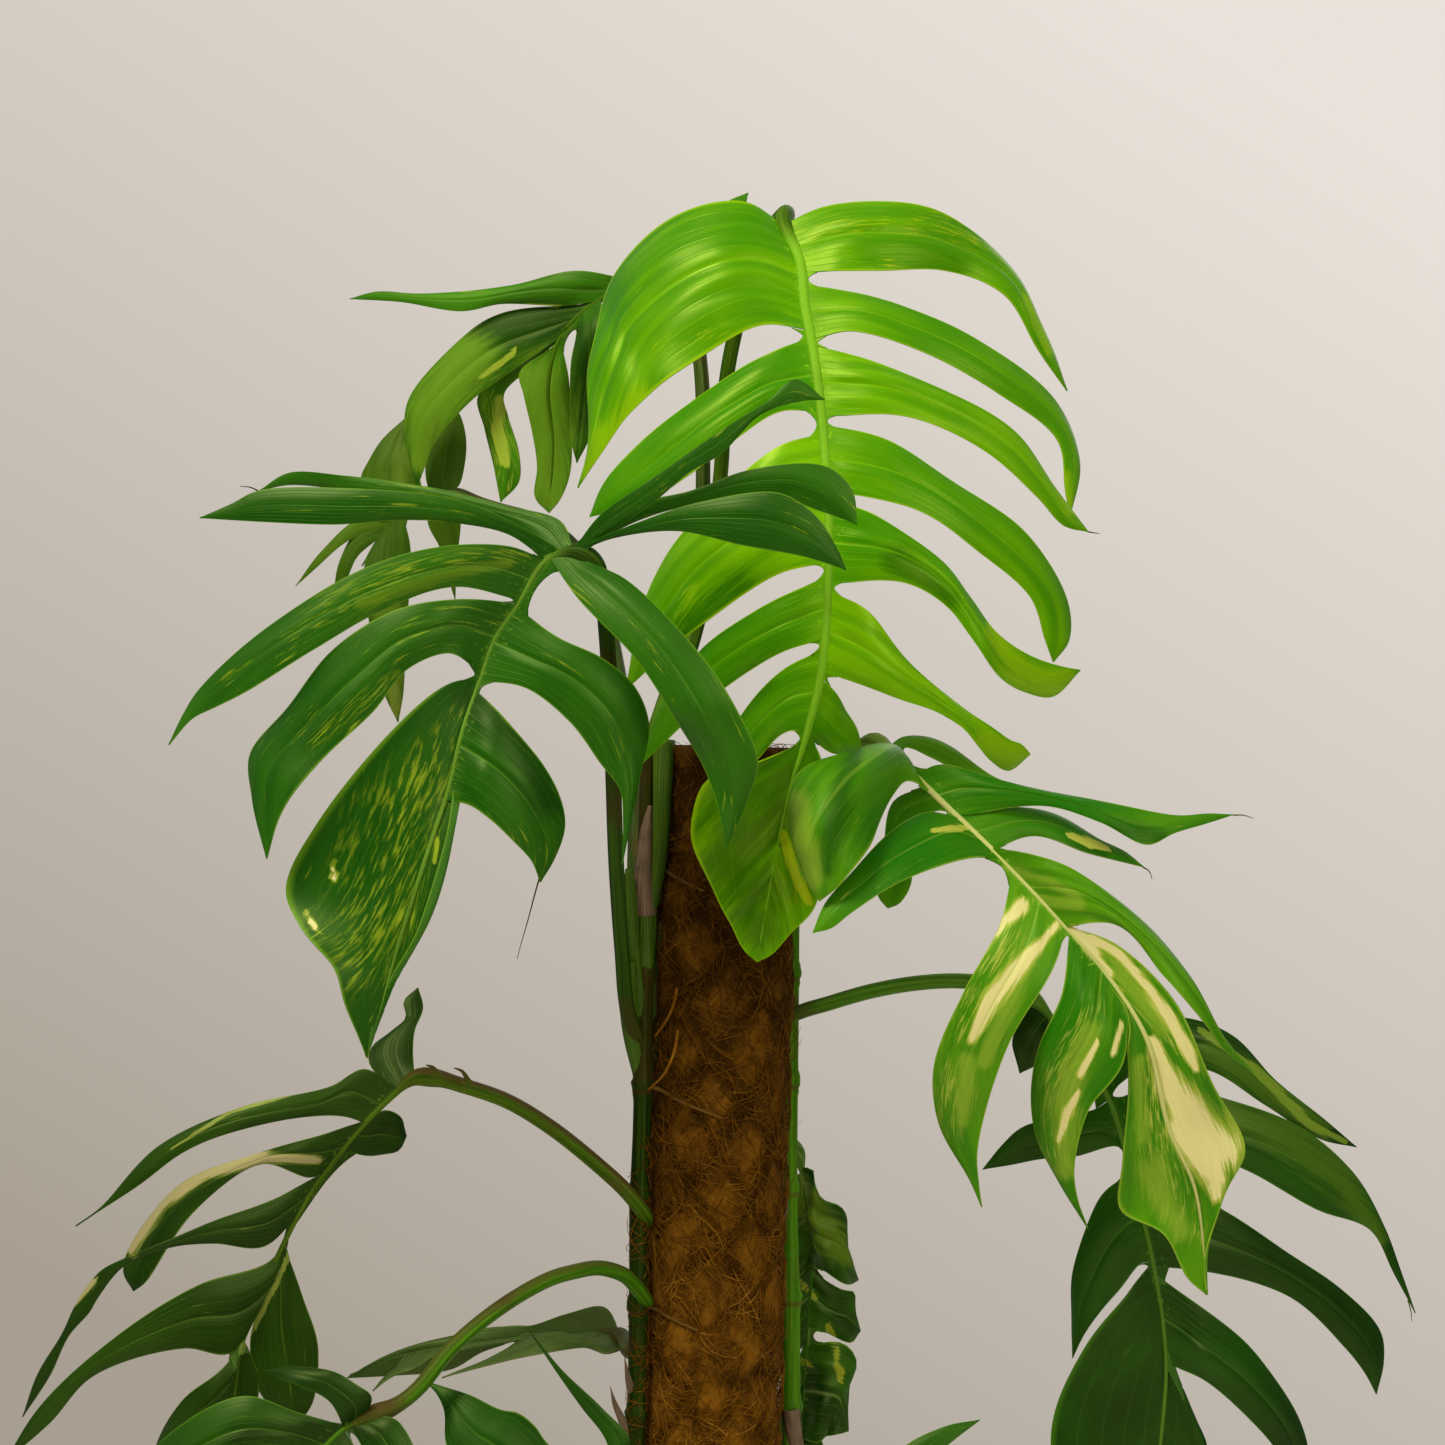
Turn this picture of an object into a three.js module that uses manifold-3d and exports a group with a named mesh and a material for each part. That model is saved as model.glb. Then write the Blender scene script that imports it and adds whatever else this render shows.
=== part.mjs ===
// A dragon tail plant with split leaves, climbing a coir pole in a plain pot.
// Millimetres, +Z up. The origin is at the middle of the pot's base, on the axis of the pole.
// The leaves' outlines are drawn by eye in the pixels of a 1445 x 1445 front view, and place() turns a
// pixel and its depth (mm, negative towards the viewer) into a point beside the pole.

import * as THREE from 'three';
import { mergeVertices } from 'three/addons/utils/BufferGeometryUtils.js';
import Module from 'manifold-3d';

const wasm = await Module();
wasm.setup();

// Driving dimensions: pot and soil

const potHeight = 190;
const potBaseRadius = 80;
const potTopRadius = 106;
const potWall = 3;
const potRimWidth = 5;
const potRimDepth = 26;
const potFloor = 4;
const potSides = 28;
const drainCount = 4;
const drainRadius = 5;
const drainCircle = 45;
const soilTop = 168;
const soilMound = 5;
const soilMoundRadius = 45;
const soilSlopeRadius = 70;
const soilEdgeRound = 6;
const rimRound = 1.5;
const potSlack = 0.5;
const stemHoleSlack = 1.1;

// Driving dimensions: pole

const poleTop = 700;
const poleFoot = 14;
const stakeRadius = 16;
const coirRadius = 29.4;
const bindingHeight = 0.8;
const bindingsAround = 6;
const bindingRise = 42;
const bindingStep = 3;
const bindingBuried = 12;
const stakeProud = 2;

// Driving dimensions: stems and leaves

const stemRadius = 3.8;
const stemSides = 6;
const stemNodeSwell = 1.1;
const stemNodePitch = 46;
const stemNodeHalf = 6.5;
const stemFirstNode = 22;
const stemTipFree = 10;
const stemTipNarrow = 1.8;
const rootRadius = 0.9;
const rootSlack = 0.2;
const rootBends = 5;
const rootSides = 4;
const petioleRadius = 3.2;
const midribBaseShare = 0.8;
const stalkSides = 5;
const midribTipRadius = 0.8;
const bladeThickness = 0.8;
const bladeArch = 0.1;
const lobeStep = 22;
const lobeStepsLeast = 3;
const lobeStepsMost = 6;
const stalkStep = 22;
const touchGap = 0.3;

// The front view that the outlines are drawn in

const viewCentre = 722.5;
const viewMmPerPixel = 0.4225;
const viewDistance = 1500;
const viewRoll = THREE.MathUtils.degToRad(1.55);
const viewAimX = -2.75;
const viewAimZ = 710;

function place([px, py, depth = 0]) {
  const right = px - viewCentre;
  const up = viewCentre - py;
  const scale = viewMmPerPixel * (1 + depth / viewDistance);
  const x = viewAimX + (right * Math.cos(viewRoll) - up * Math.sin(viewRoll)) * scale;
  const z = viewAimZ + (right * Math.sin(viewRoll) + up * Math.cos(viewRoll)) * scale;
  return new THREE.Vector3(x, depth, z);
}

// Stems: their centre lines in millimetres, from the soil up

const stemLeftPath = [
  [-38, -14, 123], [-38, -14, 176], [-37, -14, 220], [-33, -15, 300], [-31, -16.5, 405], [-31.5, -16, 465],
  [-32.5, -15, 507], [-32, -15.5, 540], [-32.5, -14.5, 592], [-33, -13, 650], [-33, -12, 706],
];
const stemRightPath = [
  [39, 10, 123], [39, 10, 176], [37, 9, 220], [34.5, 8.5, 300], [34, 8.5, 405], [31.5, 15.5, 465],
  [28.5, 20.5, 507], [26.5, 23, 592], [26.5, 23, 668],
];

// Leaves: petiole and midrib as [pixel x, pixel y, depth], each from the stem outwards.
// A lobe has two edges that start on the midrib and meet at the tip, and two reaches: how far its
// middle and its far end stand behind the midrib's own depth. A third number on an edge point
// moves just that point back. The end lobe has the midrib as its own middle line.

const lobe = (edgeA, edgeB, tip, reach) => ({ edgeA, edgeB, tip, reach, onMidrib: false });
const endLobe = (edgeA, edgeB, tip, reach) => ({ edgeA, edgeB, tip, reach, onMidrib: true });

const leafTop = {
  petiole: [
    [651, 742, -12], [666, 700, -5], [690, 650, 8], [710, 560, 20], [721, 470, 27], [727, 375, 26],
    [748, 285, 12], [774, 226, -14], [786, 213, -30],
  ],
  midrib: [
    [784, 225, -40], [800, 262, -50], [805, 306, -60], [814, 354, -70], [825, 450, -84], [829, 567, -94],
    [822, 669, -94], [805, 740, -88], [790, 790, -82], [775, 860, -72], [757, 960, -60],
  ],
  lobes: [
    lobe([[784, 225], [742, 204], [665, 220], [615, 270], [593, 360], [588, 450]],
      [[806, 331], [762, 325], [693, 363], [628, 415], [600, 455]], [578, 488], [6, 40]),
    lobe([[810, 338], [775, 353], [693, 398], [620, 465], [601, 490]],
      [[820, 412], [781, 411], [735, 440], [690, 475], [640, 505]], [590, 517], [10, 40]),
    lobe([[824, 433], [785, 445], [745, 475], [680, 532], [654, 578], [640, 620]],
      [[829, 562], [777, 575], [705, 623], [665, 655]], [626, 690], [8, 36]),
    lobe([[829, 575], [755, 612], [699, 651], [662, 700]],
      [[825, 639], [781, 653], [724, 689], [680, 728]], [642, 764], [6, 30]),
    lobe([[824, 649], [790, 666], [740, 716], [722, 750]],
      [[806, 735], [790, 730], [757, 760], [738, 782]], [722, 796], [4, 12]),
    endLobe([[804, 742], [755, 764], [705, 782], [692, 825], [704, 872], [729, 921], [744, 950]],
      [[808, 732], [823, 765], [826, 840], [818, 898], [795, 927], [772, 954]], [757, 962], [2, 10]),
    lobe([[784, 225], [825, 205], [881, 201], [944, 216], [1016, 273], [1046, 332]],
      [[802, 273], [881, 271], [946, 271], [1003, 293], [1037, 349]], [1067, 391], [4, 45]),
    lobe([[803, 285], [864, 293], [916, 311], [977, 341], [1057, 403], [1080, 462]],
      [[812, 340], [851, 332], [920, 351], [1001, 395], [1057, 440], [1065, 490]], [1070, 516], [4, 40]),
    lobe([[813, 345], [873, 360], [951, 394], [1018, 436], [1057, 490]],
      [[821, 416], [907, 417], [985, 451], [1037, 497], [1064, 526]], [1088, 532], [4, 40]),
    lobe([[822, 425], [888, 440], [955, 482], [1025, 535], [1067, 600], [1069, 640]],
      [[826, 490], [919, 511], [980, 553], [1031, 598], [1045, 640]], [1053, 662], [4, 36]),
    lobe([[827, 500], [878, 517], [943, 561], [970, 598], [990, 628], [1010, 645], [1035, 658], [1060, 666]],
      [[829, 583], [906, 583], [949, 608], [972, 638, -3], [988, 662, -4], [1003, 680], [1025, 693, 4],
      [1052, 697, 4]], [1080, 670], [2, 30]),
    lobe([[829, 590], [868, 612], [909, 661], [941, 691], [968, 713], [992, 728], [1010, 740], [1021, 744]],
      [[823, 672], [894, 697], [939, 712], [962, 727, -3], [978, 746, -3], [992, 762], [1008, 771, 3]],
      [1030, 754], [2, 26]),
    lobe([[823, 678], [847, 710], [858, 735]], [[808, 735], [826, 750], [845, 753]], [862, 750], [8, 20]),
  ],
};

const leafLeft = {
  petiole: [
    [634, 1052, -17], [628, 1012, -24], [622, 950, -36], [616, 860, -62], [612, 740, -88], [607, 640, -104],
    [603, 600, -112], [596, 566, -119],
  ],
  midrib: [
    [578, 552, -120], [546, 560, -116], [518, 604, -112], [495, 638, -110], [479, 681, -110],
    [463, 729, -112],
    [449, 788, -114], [433, 836, -116], [400, 940, -116], [367, 1056, -108],
  ],
  lobes: [
    lobe([[574, 553], [562, 523], [508, 507], [444, 490], [347, 476], [289, 473]],
      [[560, 557], [508, 522], [444, 505], [347, 490], [289, 485]], [259, 491], [22, 28]),
    lobe([[566, 555], [508, 520], [455, 500], [347, 488], [259, 491], [232, 504]],
      [[546, 560], [508, 534], [455, 523], [401, 520], [334, 524], [267, 522]], [200, 518], [-2, 10]),
    lobe([[546, 560], [508, 546], [441, 547], [361, 571], [262, 630], [200, 689], [184, 714]],
      [[520, 600], [455, 586], [382, 611], [315, 649], [246, 692], [214, 708], [192, 719]],
      [169, 745], [-10, 15]),
    lobe([[518, 603], [455, 599], [396, 611], [334, 652], [289, 705], [248, 753], [252, 799]],
      [[481, 674], [449, 653], [409, 668], [374, 711], [321, 761], [281, 815]], [267, 859], [-10, 12]),
    endLobe([[479, 678], [449, 684], [388, 735], [318, 823], [286, 890], [300, 926], [334, 967],
      [345, 1005],
      [358, 1036]],
      [[478, 690], [466, 735], [455, 785], [446, 835], [417, 930], [385, 990], [371, 1030]],
      [367, 1058], [-6, 14]),
    lobe([[572, 552], [590, 562], [625, 578], [681, 632], [729, 697], [758, 760], [749, 797]],
      [[550, 559], [577, 597], [634, 656], [675, 721], [707, 773], [722, 825]], [726, 847], [-22, -18]),
    lobe([[516, 607], [556, 636], [603, 658], [634, 686], [647, 725], [640, 772], [631, 820]],
      [[480, 680], [530, 689], [570, 721], [599, 762], [620, 790], [623, 822]], [622, 864], [-8, 0]),
    lobe([[476, 690], [500, 713], [543, 764], [563, 820], [556, 855]],
      [[446, 800], [476, 808], [514, 842], [532, 862]], [540, 882], [-4, 10]),
    lobe([[570, 552], [600, 515], [650, 480], [722, 430], [770, 400], [795, 379]],
      [[580, 552], [650, 505], [690, 472], [722, 453], [760, 415], [803, 401]], [825, 400], [-22, -26]),
    lobe([[566, 553], [614, 510], [690, 491], [750, 470], [826, 467], [852, 490]],
      [[580, 552], [640, 520], [713, 500], [777, 495], [811, 508], [846, 520]], [857, 525], [-14, -20]),
    lobe([[560, 556], [640, 522], [700, 502], [777, 493], [814, 515], [837, 549]],
      [[580, 552], [614, 538], [679, 531], [744, 545], [809, 558], [838, 567]], [846, 570], [-28, -32]),
  ],
};

const leafRight = {
  petiole: [
    [790, 848, 21], [812, 812, 8], [826, 790, -8], [842, 766, -24], [858, 749, -40], [872, 742, -50],
  ],
  midrib: [
    [884, 747, -58], [912, 773, -70], [970, 829, -84], [1019, 877, -92], [1068, 930, -98],
    [1114, 985, -100],
    [1147, 1040, -100], [1169, 1129, -94], [1195, 1189, -88], [1207, 1290, -76],
  ],
  lobes: [
    lobe([[908, 769], [884, 750], [850, 755], [798, 776], [786, 819], [807, 881]],
      [[932, 792], [905, 782], [893, 795], [869, 847], [841, 884]], [820, 901], [-42, -44]),
    lobe([[960, 820], [933, 810], [893, 832], [853, 871], [826, 902]],
      [[1000, 858], [964, 860], [902, 881], [850, 914], [832, 928]], [813, 933], [-32, -40]),
    lobe([[925, 786], [893, 802], [885, 850], [878, 895]],
      [[945, 805], [905, 830], [912, 880], [900, 903]], [888, 908], [14, 20]),
    lobe([[1012, 871], [1000, 923], [964, 991], [936, 1067], [939, 1125], [970, 1180]],
      [[1066, 928], [1055, 963], [1008, 1046], [978, 1147], [979, 1185]], [982, 1207], [-4, 22]),
    lobe([[1070, 932], [1062, 991], [1037, 1052], [1036, 1128], [1058, 1180]],
      [[1128, 1007], [1122, 1062], [1088, 1112], [1074, 1168], [1078, 1200]], [1088, 1228], [-4, 18]),
    endLobe([[1068, 934], [1102, 976], [1128, 1012], [1131, 1060], [1122, 1161], [1121, 1208], [1164, 1235],
      [1188, 1279]],
      [[1064, 925], [1117, 945], [1175, 1001], [1213, 1084], [1246, 1150], [1223, 1199], [1204, 1262]],
      [1207, 1295], [-2, 12]),
    lobe([[886, 749], [902, 738], [927, 737], [951, 746], [991, 776], [1030, 792]],
      [[892, 755], [905, 747], [930, 757], [960, 773], [1000, 793]], [1045, 802], [14, 18]),
    lobe([[915, 776], [939, 766], [994, 779], [1086, 798], [1175, 816], [1208, 814]],
      [[957, 816], [1046, 806], [1101, 822], [1147, 845], [1175, 833], [1205, 824]], [1233, 815], [4, 25]),
    lobe([[955, 814], [1046, 810], [1101, 841], [1126, 853]],
      [[992, 850], [1034, 836], [1086, 853], [1118, 861]], [1143, 867], [8, 24]),
    lobe([[990, 848], [1034, 855], [1086, 881], [1147, 923], [1190, 975], [1221, 1034]],
      [[1064, 926], [1117, 926], [1163, 975], [1205, 1024], [1226, 1052]], [1253, 1073], [-6, 14]),
  ],
};

const leafRightLower = {
  petiole: [
    [783, 1024, 23], [797, 1014, 16], [830, 1003, 8], [872, 991, 0], [918, 983, -8], [961, 981, -14],
    [1002, 986, -18],
  ],
  midrib: [
    [1035, 1000, -20], [1060, 1030, -22], [1105, 1091, -22], [1135, 1190, -18], [1154, 1268, -14],
    [1166, 1362, -8], [1160, 1450, -2], [1150, 1552, 8],
  ],
  lobes: [
    lobe([[1035, 1000], [1024, 1015], [1013, 1042]], [[1060, 1030], [1050, 1045], [1040, 1062]],
      [1020, 1073], [6, 10]),
    lobe([[1108, 1100], [1095, 1109], [1025, 1126], [1004, 1143]],
      [[1129, 1168], [1119, 1146], [1074, 1156], [1039, 1160]], [983, 1169], [6, 20]),
    lobe([[1130, 1172], [1098, 1199], [1075, 1268], [1072, 1320]],
      [[1153, 1264], [1143, 1263], [1102, 1310], [1084, 1335]], [1073, 1358], [4, 16]),
    endLobe([[1154, 1270], [1145, 1272], [1122, 1300], [1088, 1343], [1057, 1404], [1051, 1445],
      [1064, 1500]],
      [[1166, 1366], [1176, 1386], [1191, 1416], [1203, 1445], [1204, 1490], [1186, 1530]], [1146, 1560],
      [2, 10]),
    lobe([[1072, 1047], [1130, 1020], [1190, 1018], [1234, 1036], [1275, 1081], [1327, 1122]],
      [[1106, 1094], [1150, 1067], [1209, 1070], [1265, 1105], [1320, 1139]], [1356, 1147], [2, 22]),
    lobe([[1110, 1102], [1160, 1085], [1223, 1098], [1300, 1126], [1352, 1171], [1384, 1228], [1400, 1270]],
      [[1128, 1160], [1180, 1150], [1248, 1171], [1317, 1209], [1370, 1230], [1394, 1274]],
      [1415, 1313], [2, 22]),
    lobe([[1133, 1185], [1180, 1190], [1227, 1213], [1286, 1251], [1341, 1289], [1379, 1331], [1383, 1362]],
      [[1154, 1266], [1202, 1272], [1289, 1296], [1345, 1348], [1364, 1372]], [1376, 1394], [2, 20]),
    lobe([[1155, 1274], [1195, 1303], [1254, 1352], [1296, 1411], [1308, 1455]],
      [[1165, 1362], [1199, 1378], [1241, 1411], [1274, 1447], [1288, 1478]], [1303, 1505], [2, 18]),
  ],
};

const leafLeftSide = {
  petiole: [
    [648, 1226, -20], [630, 1190, -23], [599, 1166, -24], [553, 1129, -26], [507, 1101, -28],
    [461, 1085, -31],
    [436, 1078, -32],
  ],
  midrib: [
    [415, 1078, -33], [392, 1096, -34], [364, 1124, -36], [337, 1156, -38], [313, 1189, -40],
    [281, 1249, -42],
    [263, 1290, -42], [244, 1336, -40], [228, 1464, -34],
  ],
  lobes: [
    lobe([[394, 1094], [370, 1062], [373, 1046], [392, 1030], [406, 1018], [404, 1002]],
      [[415, 1078], [413, 1052], [415, 1030], [423, 1008]], [418, 988], [14, 24]),
    lobe([[400, 1090], [364, 1069], [332, 1087], [240, 1108], [157, 1147], [101, 1208]],
      [[366, 1122], [332, 1115], [230, 1133], [184, 1152], [138, 1186]], [76, 1226], [-8, 10]),
    lobe([[368, 1120], [341, 1129], [258, 1154], [180, 1184], [134, 1239], [124, 1272]],
      [[325, 1172], [309, 1177], [262, 1164], [194, 1212], [145, 1283]], [134, 1291], [-12, 4]),
    lobe([[325, 1173], [277, 1198], [214, 1221], [170, 1240], [124, 1259], [101, 1271], [78, 1300],
      [62, 1334], [38, 1374]],
      [[298, 1216], [262, 1246], [214, 1243], [168, 1248], [124, 1266], [98, 1298], [90, 1312], [69, 1336],
      [50, 1376]], [23, 1417], [-14, 4]),
    lobe([[296, 1220], [272, 1260], [198, 1285], [106, 1345], [41, 1405]],
      [[262, 1292], [230, 1350], [184, 1348], [92, 1377], [51, 1422]], [5, 1462], [-14, 4]),
    lobe([[262, 1294], [228, 1362], [184, 1400], [158, 1440]],
      [[234, 1368], [222, 1402], [192, 1442]], [150, 1480], [-10, 6]),
    lobe([[366, 1122], [387, 1110], [401, 1119]],
      [[342, 1150], [366, 1154], [397, 1152]], [406, 1136], [10, 14]),
    lobe([[274, 1264], [258, 1310], [250, 1341], [258, 1386]],
      [[285, 1243], [303, 1300], [318, 1350], [314, 1400]], [290, 1432], [8, 12]),
    endLobe([[240, 1350], [222, 1385], [214, 1415], [218, 1442]],
      [[244, 1340], [258, 1375], [254, 1412], [240, 1445]], [228, 1470], [0, 4]),
  ],
};

const leafLeftFront = {
  petiole: [
    [645, 1304, -21], [638, 1286, -26], [622, 1274, -32], [600, 1268, -38], [574, 1272, -46],
    [548, 1280, -52],
    [500, 1308, -63], [453, 1347, -72], [416, 1391, -78], [392, 1408, -81],
  ],
  midrib: [
    [366, 1417, -83], [345, 1428, -85], [316, 1456, -88], [290, 1495, -92], [262, 1545, -94],
    [242, 1605, -94],
    [226, 1724, -84],
  ],
  lobes: [
    lobe([[372, 1416], [374, 1398], [355, 1384], [334, 1372], [306, 1367], [285, 1367]],
      [[345, 1428], [330, 1402], [300, 1386], [282, 1379]], [266, 1371], [-6, 6]),
    lobe([[347, 1427], [297, 1412], [245, 1397], [184, 1424], [150, 1452]],
      [[308, 1466], [270, 1452], [220, 1472], [160, 1506]], [112, 1522], [-6, 8]),
    lobe([[306, 1470], [250, 1478], [184, 1530], [140, 1582]],
      [[283, 1508], [240, 1530], [190, 1584], [150, 1620]], [118, 1634], [-6, 8]),
    lobe([[281, 1510], [240, 1546], [198, 1612], [180, 1656]],
      [[256, 1562], [240, 1592], [215, 1642], [198, 1680]], [184, 1702], [-4, 8]),
    lobe([[372, 1412], [392, 1415], [404, 1428], [414, 1447], [424, 1480]],
      [[350, 1426], [362, 1446], [384, 1480], [404, 1512]], [430, 1540], [-6, -2]),
    lobe([[345, 1430], [366, 1462], [410, 1500], [440, 1540]],
      [[322, 1450], [350, 1490], [396, 1530], [430, 1560]], [462, 1580], [-10, -14]),
    lobe([[300, 1480], [344, 1500], [380, 1556], [388, 1610]],
      [[276, 1520], [310, 1552], [345, 1602], [366, 1640]], [378, 1662], [-4, 8]),
    endLobe([[256, 1564], [232, 1596], [212, 1645], [208, 1690]],
      [[273, 1528], [290, 1580], [276, 1650], [248, 1700]], [226, 1726], [0, 4]),
  ],
};

const leafBack = {
  petiole: [
    [644, 866, -13], [640, 854, -3], [645, 800, 7], [651, 745, 13], [668, 690, 18], [690, 620, 26],
    [701, 540, 33], [703, 440, 42],
    [701, 370, 50], [690, 308, 62], [672, 283, 68],
  ],
  midrib: [
    [650, 277, 70], [600, 300, 74], [562, 335, 78], [548, 385, 80], [553, 445, 84], [549, 510, 86],
  ],
  lobes: [
    lobe([[640, 281], [575, 272], [513, 285], [422, 294], [377, 292]],
      [[598, 301], [560, 306], [501, 304], [462, 311], [401, 302]], [350, 299], [5, 25]),
    lobe([[596, 303], [501, 315], [462, 338], [409, 397], [406, 440]],
      [[560, 338], [518, 367], [471, 401], [434, 444], [424, 470]], [417, 488], [10, 22]),
    lobe([[575, 325], [520, 366], [478, 396], [484, 430], [494, 466]],
      [[562, 336], [530, 368], [504, 394], [508, 416], [519, 452], [519, 482]], [501, 502], [18, 26]),
    endLobe([[556, 346], [520, 372], [524, 394], [533, 436], [537, 467], [535, 498]],
      [[560, 338], [568, 375], [572, 434], [570, 474], [560, 500]], [549, 513], [0, 4]),
    lobe([[580, 317], [571, 364], [570, 410], [571, 440]],
      [[601, 300], [606, 350], [595, 400], [590, 436]], [577, 463], [-8, -2]),
    lobe([[650, 277], [690, 235], [725, 203]], [[662, 279], [705, 250], [742, 215]], [748, 193], [8, 14]),
  ],
};

const leafFar = {
  petiole: [[643, 897, -13], [636, 884, -2], [635, 830, 16], [632, 760, 36], [620, 680, 62], [603, 606, 88],
      [575, 548, 100], [540, 522, 106], [500, 510, 110], [470, 501, 113]],
  midrib: [[452, 495, 114], [430, 497, 116], [404, 510, 118], [382, 534, 120], [362, 566, 120]],
  lobes: [
    lobe([[388, 528], [362, 500], [360, 476], [370, 459], [385, 438]],
      [[426, 500], [418, 470], [416, 444]], [408, 416], [2, 6]),
    lobe([[430, 498], [426, 460], [438, 430]],
      [[450, 496], [460, 484], [465, 462], [466, 440], [462, 420]], [454, 404], [2, 6]),
    lobe([[398, 516], [356, 521], [322, 551]],
      [[389, 526], [348, 541], [314, 570]], [296, 586], [2, 8]),
    lobe([[390, 524], [356, 534], [340, 560]],
      [[380, 538], [358, 556], [346, 580]], [334, 594], [2, 8]),
    lobe([[380, 536], [366, 560], [368, 610], [376, 660], [385, 695]],
      [[402, 512], [410, 545], [409, 600], [405, 650], [403, 694]], [398, 722], [0, 10]),
    lobe([[428, 498], [428, 522], [440, 546]],
      [[449, 496], [460, 518], [458, 552]], [455, 600], [4, 12]),
  ],
};

const leafLeftBack = {
  petiole: [[634, 1356, -16], [628, 1350, -6], [626, 1345, 4], [624, 1340, 14]],
  midrib: [[616, 1335, 24], [592, 1331, 30], [529, 1338, 44], [460, 1346, 52], [400, 1356, 56], [350, 1375, 58]],
  lobes: [
    endLobe([[620, 1334], [606, 1308], [568, 1314], [529, 1326], [492, 1327], [457, 1334], [422, 1343],
      [383, 1358]],
      [[612, 1336], [585, 1338], [554, 1338], [527, 1333], [505, 1344], [481, 1352], [457, 1366],
      [438, 1371], [400, 1375]], [347, 1378], [2, 8]),
    lobe([[575, 1332], [552, 1336], [528, 1338], [505, 1349], [478, 1363]],
      [[618, 1335], [625, 1348], [607, 1354], [585, 1348], [535, 1355], [479, 1368]], [442, 1378],
      [-14, -26]),
    lobe([[440, 1349], [420, 1366], [392, 1377]],
      [[409, 1354], [396, 1366], [384, 1378]], [373, 1391], [-8, -16]),
    lobe([[520, 1340], [500, 1334], [460, 1342]],
      [[592, 1331], [560, 1326], [500, 1330], [462, 1336]], [416, 1350], [14, 44]),
  ],
};

const leafLeftLow = {
  petiole: [[631, 1572, -20], [633, 1520, -32], [634, 1478, -44], [630, 1458, -51]],
  midrib: [[620, 1452, -56], [598, 1480, -66], [570, 1530, -74], [548, 1600, -76], [540, 1742, -66]],
  lobes: [
    lobe([[612, 1460], [604, 1436], [582, 1408], [546, 1356]],
      [[626, 1454], [634, 1444], [602, 1408], [560, 1368]], [529, 1330], [0, 4]),
    lobe([[606, 1470], [580, 1462], [549, 1445], [535, 1425], [518, 1412], [500, 1409], [470, 1396]],
      [[580, 1510], [520, 1506], [470, 1480], [447, 1445], [444, 1410], [437, 1394]], [425, 1381], [-4, 8]),
    lobe([[578, 1514], [520, 1540], [470, 1602]],
      [[554, 1580], [520, 1592], [480, 1642]], [450, 1672], [-4, 8]),
    lobe([[598, 1480], [644, 1512], [664, 1580], [658, 1620]],
      [[572, 1526], [604, 1566], [632, 1622]], [646, 1660], [-6, -2]),
    lobe([[568, 1534], [600, 1580], [612, 1640]],
      [[550, 1592], [570, 1630], [592, 1680]], [604, 1716], [-4, 4]),
    endLobe([[548, 1596], [520, 1646], [514, 1700]],
      [[553, 1582], [572, 1650], [566, 1708]], [539, 1746], [0, 4]),
  ],
};

const leafBackRight = {
  petiole: [[783, 1138, 24], [788, 1142, 31], [792, 1147, 38]],
  midrib: [[799, 1158, 44], [806, 1200, 50], [812, 1260, 56], [808, 1330, 60], [803, 1420, 60], [800, 1556, 52]],
  lobes: [
    lobe([[801, 1168], [811, 1170], [820, 1197], [839, 1207], [847, 1222], [849, 1245], [853, 1265]],
      [[812, 1260], [826, 1274], [840, 1281], [850, 1284]], [858, 1280], [-6, 4]),
    lobe([[812, 1268], [828, 1282], [842, 1290], [853, 1292], [856, 1312]],
      [[808, 1326], [822, 1331], [836, 1338], [850, 1342]], [860, 1331], [2, 8]),
    lobe([[808, 1346], [824, 1342], [842, 1343], [853, 1354], [849, 1389], [848, 1410]],
      [[803, 1436], [814, 1442], [828, 1437], [838, 1434]], [848, 1431], [-4, 2]),
    lobe([[800, 1172], [770, 1200], [730, 1262]],
      [[812, 1264], [790, 1286], [756, 1320]], [715, 1334], [12, 22]),
    lobe([[811, 1252], [785, 1278], [750, 1345]],
      [[807, 1340], [790, 1362], [766, 1402]], [738, 1424], [14, 24]),
    lobe([[807, 1340], [790, 1380], [770, 1440]],
      [[803, 1415], [796, 1440], [788, 1482]], [772, 1504], [6, 16]),
    endLobe([[804, 1422], [792, 1462], [790, 1512]],
      [[804, 1400], [824, 1450], [820, 1508]], [800, 1558], [0, 4]),
  ],
};

const leafRightLow = {
  petiole: [[786, 1584, 6], [804, 1552, -6], [825, 1525, -14], [846, 1507, -22]],
  midrib: [[864, 1500, -28], [900, 1510, -34], [950, 1552, -40], [990, 1622, -42], [1012, 1758, -34]],
  lobes: [
    lobe([[868, 1500], [900, 1450], [944, 1427]],
      [[888, 1506], [928, 1462], [954, 1440]], [980, 1420], [0, 6]),
    lobe([[896, 1508], [960, 1480], [1020, 1492]],
      [[926, 1530], [975, 1517], [1025, 1528]], [1062, 1532], [0, 14]),
    lobe([[934, 1538], [1000, 1540], [1052, 1584]],
      [[968, 1580], [1010, 1586], [1050, 1622]], [1082, 1652], [0, 14]),
    lobe([[880, 1504], [864, 1560], [870, 1610]],
      [[920, 1526], [905, 1580], [896, 1622]], [886, 1652], [2, 14]),
    lobe([[925, 1530], [916, 1600], [924, 1652]],
      [[966, 1578], [955, 1632], [946, 1684]], [940, 1712], [2, 14]),
    endLobe([[968, 1582], [966, 1660], [984, 1722]],
      [[974, 1592], [1030, 1640], [1036, 1706]], [1012, 1760], [0, 6]),
  ],
};

// Solids

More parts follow.
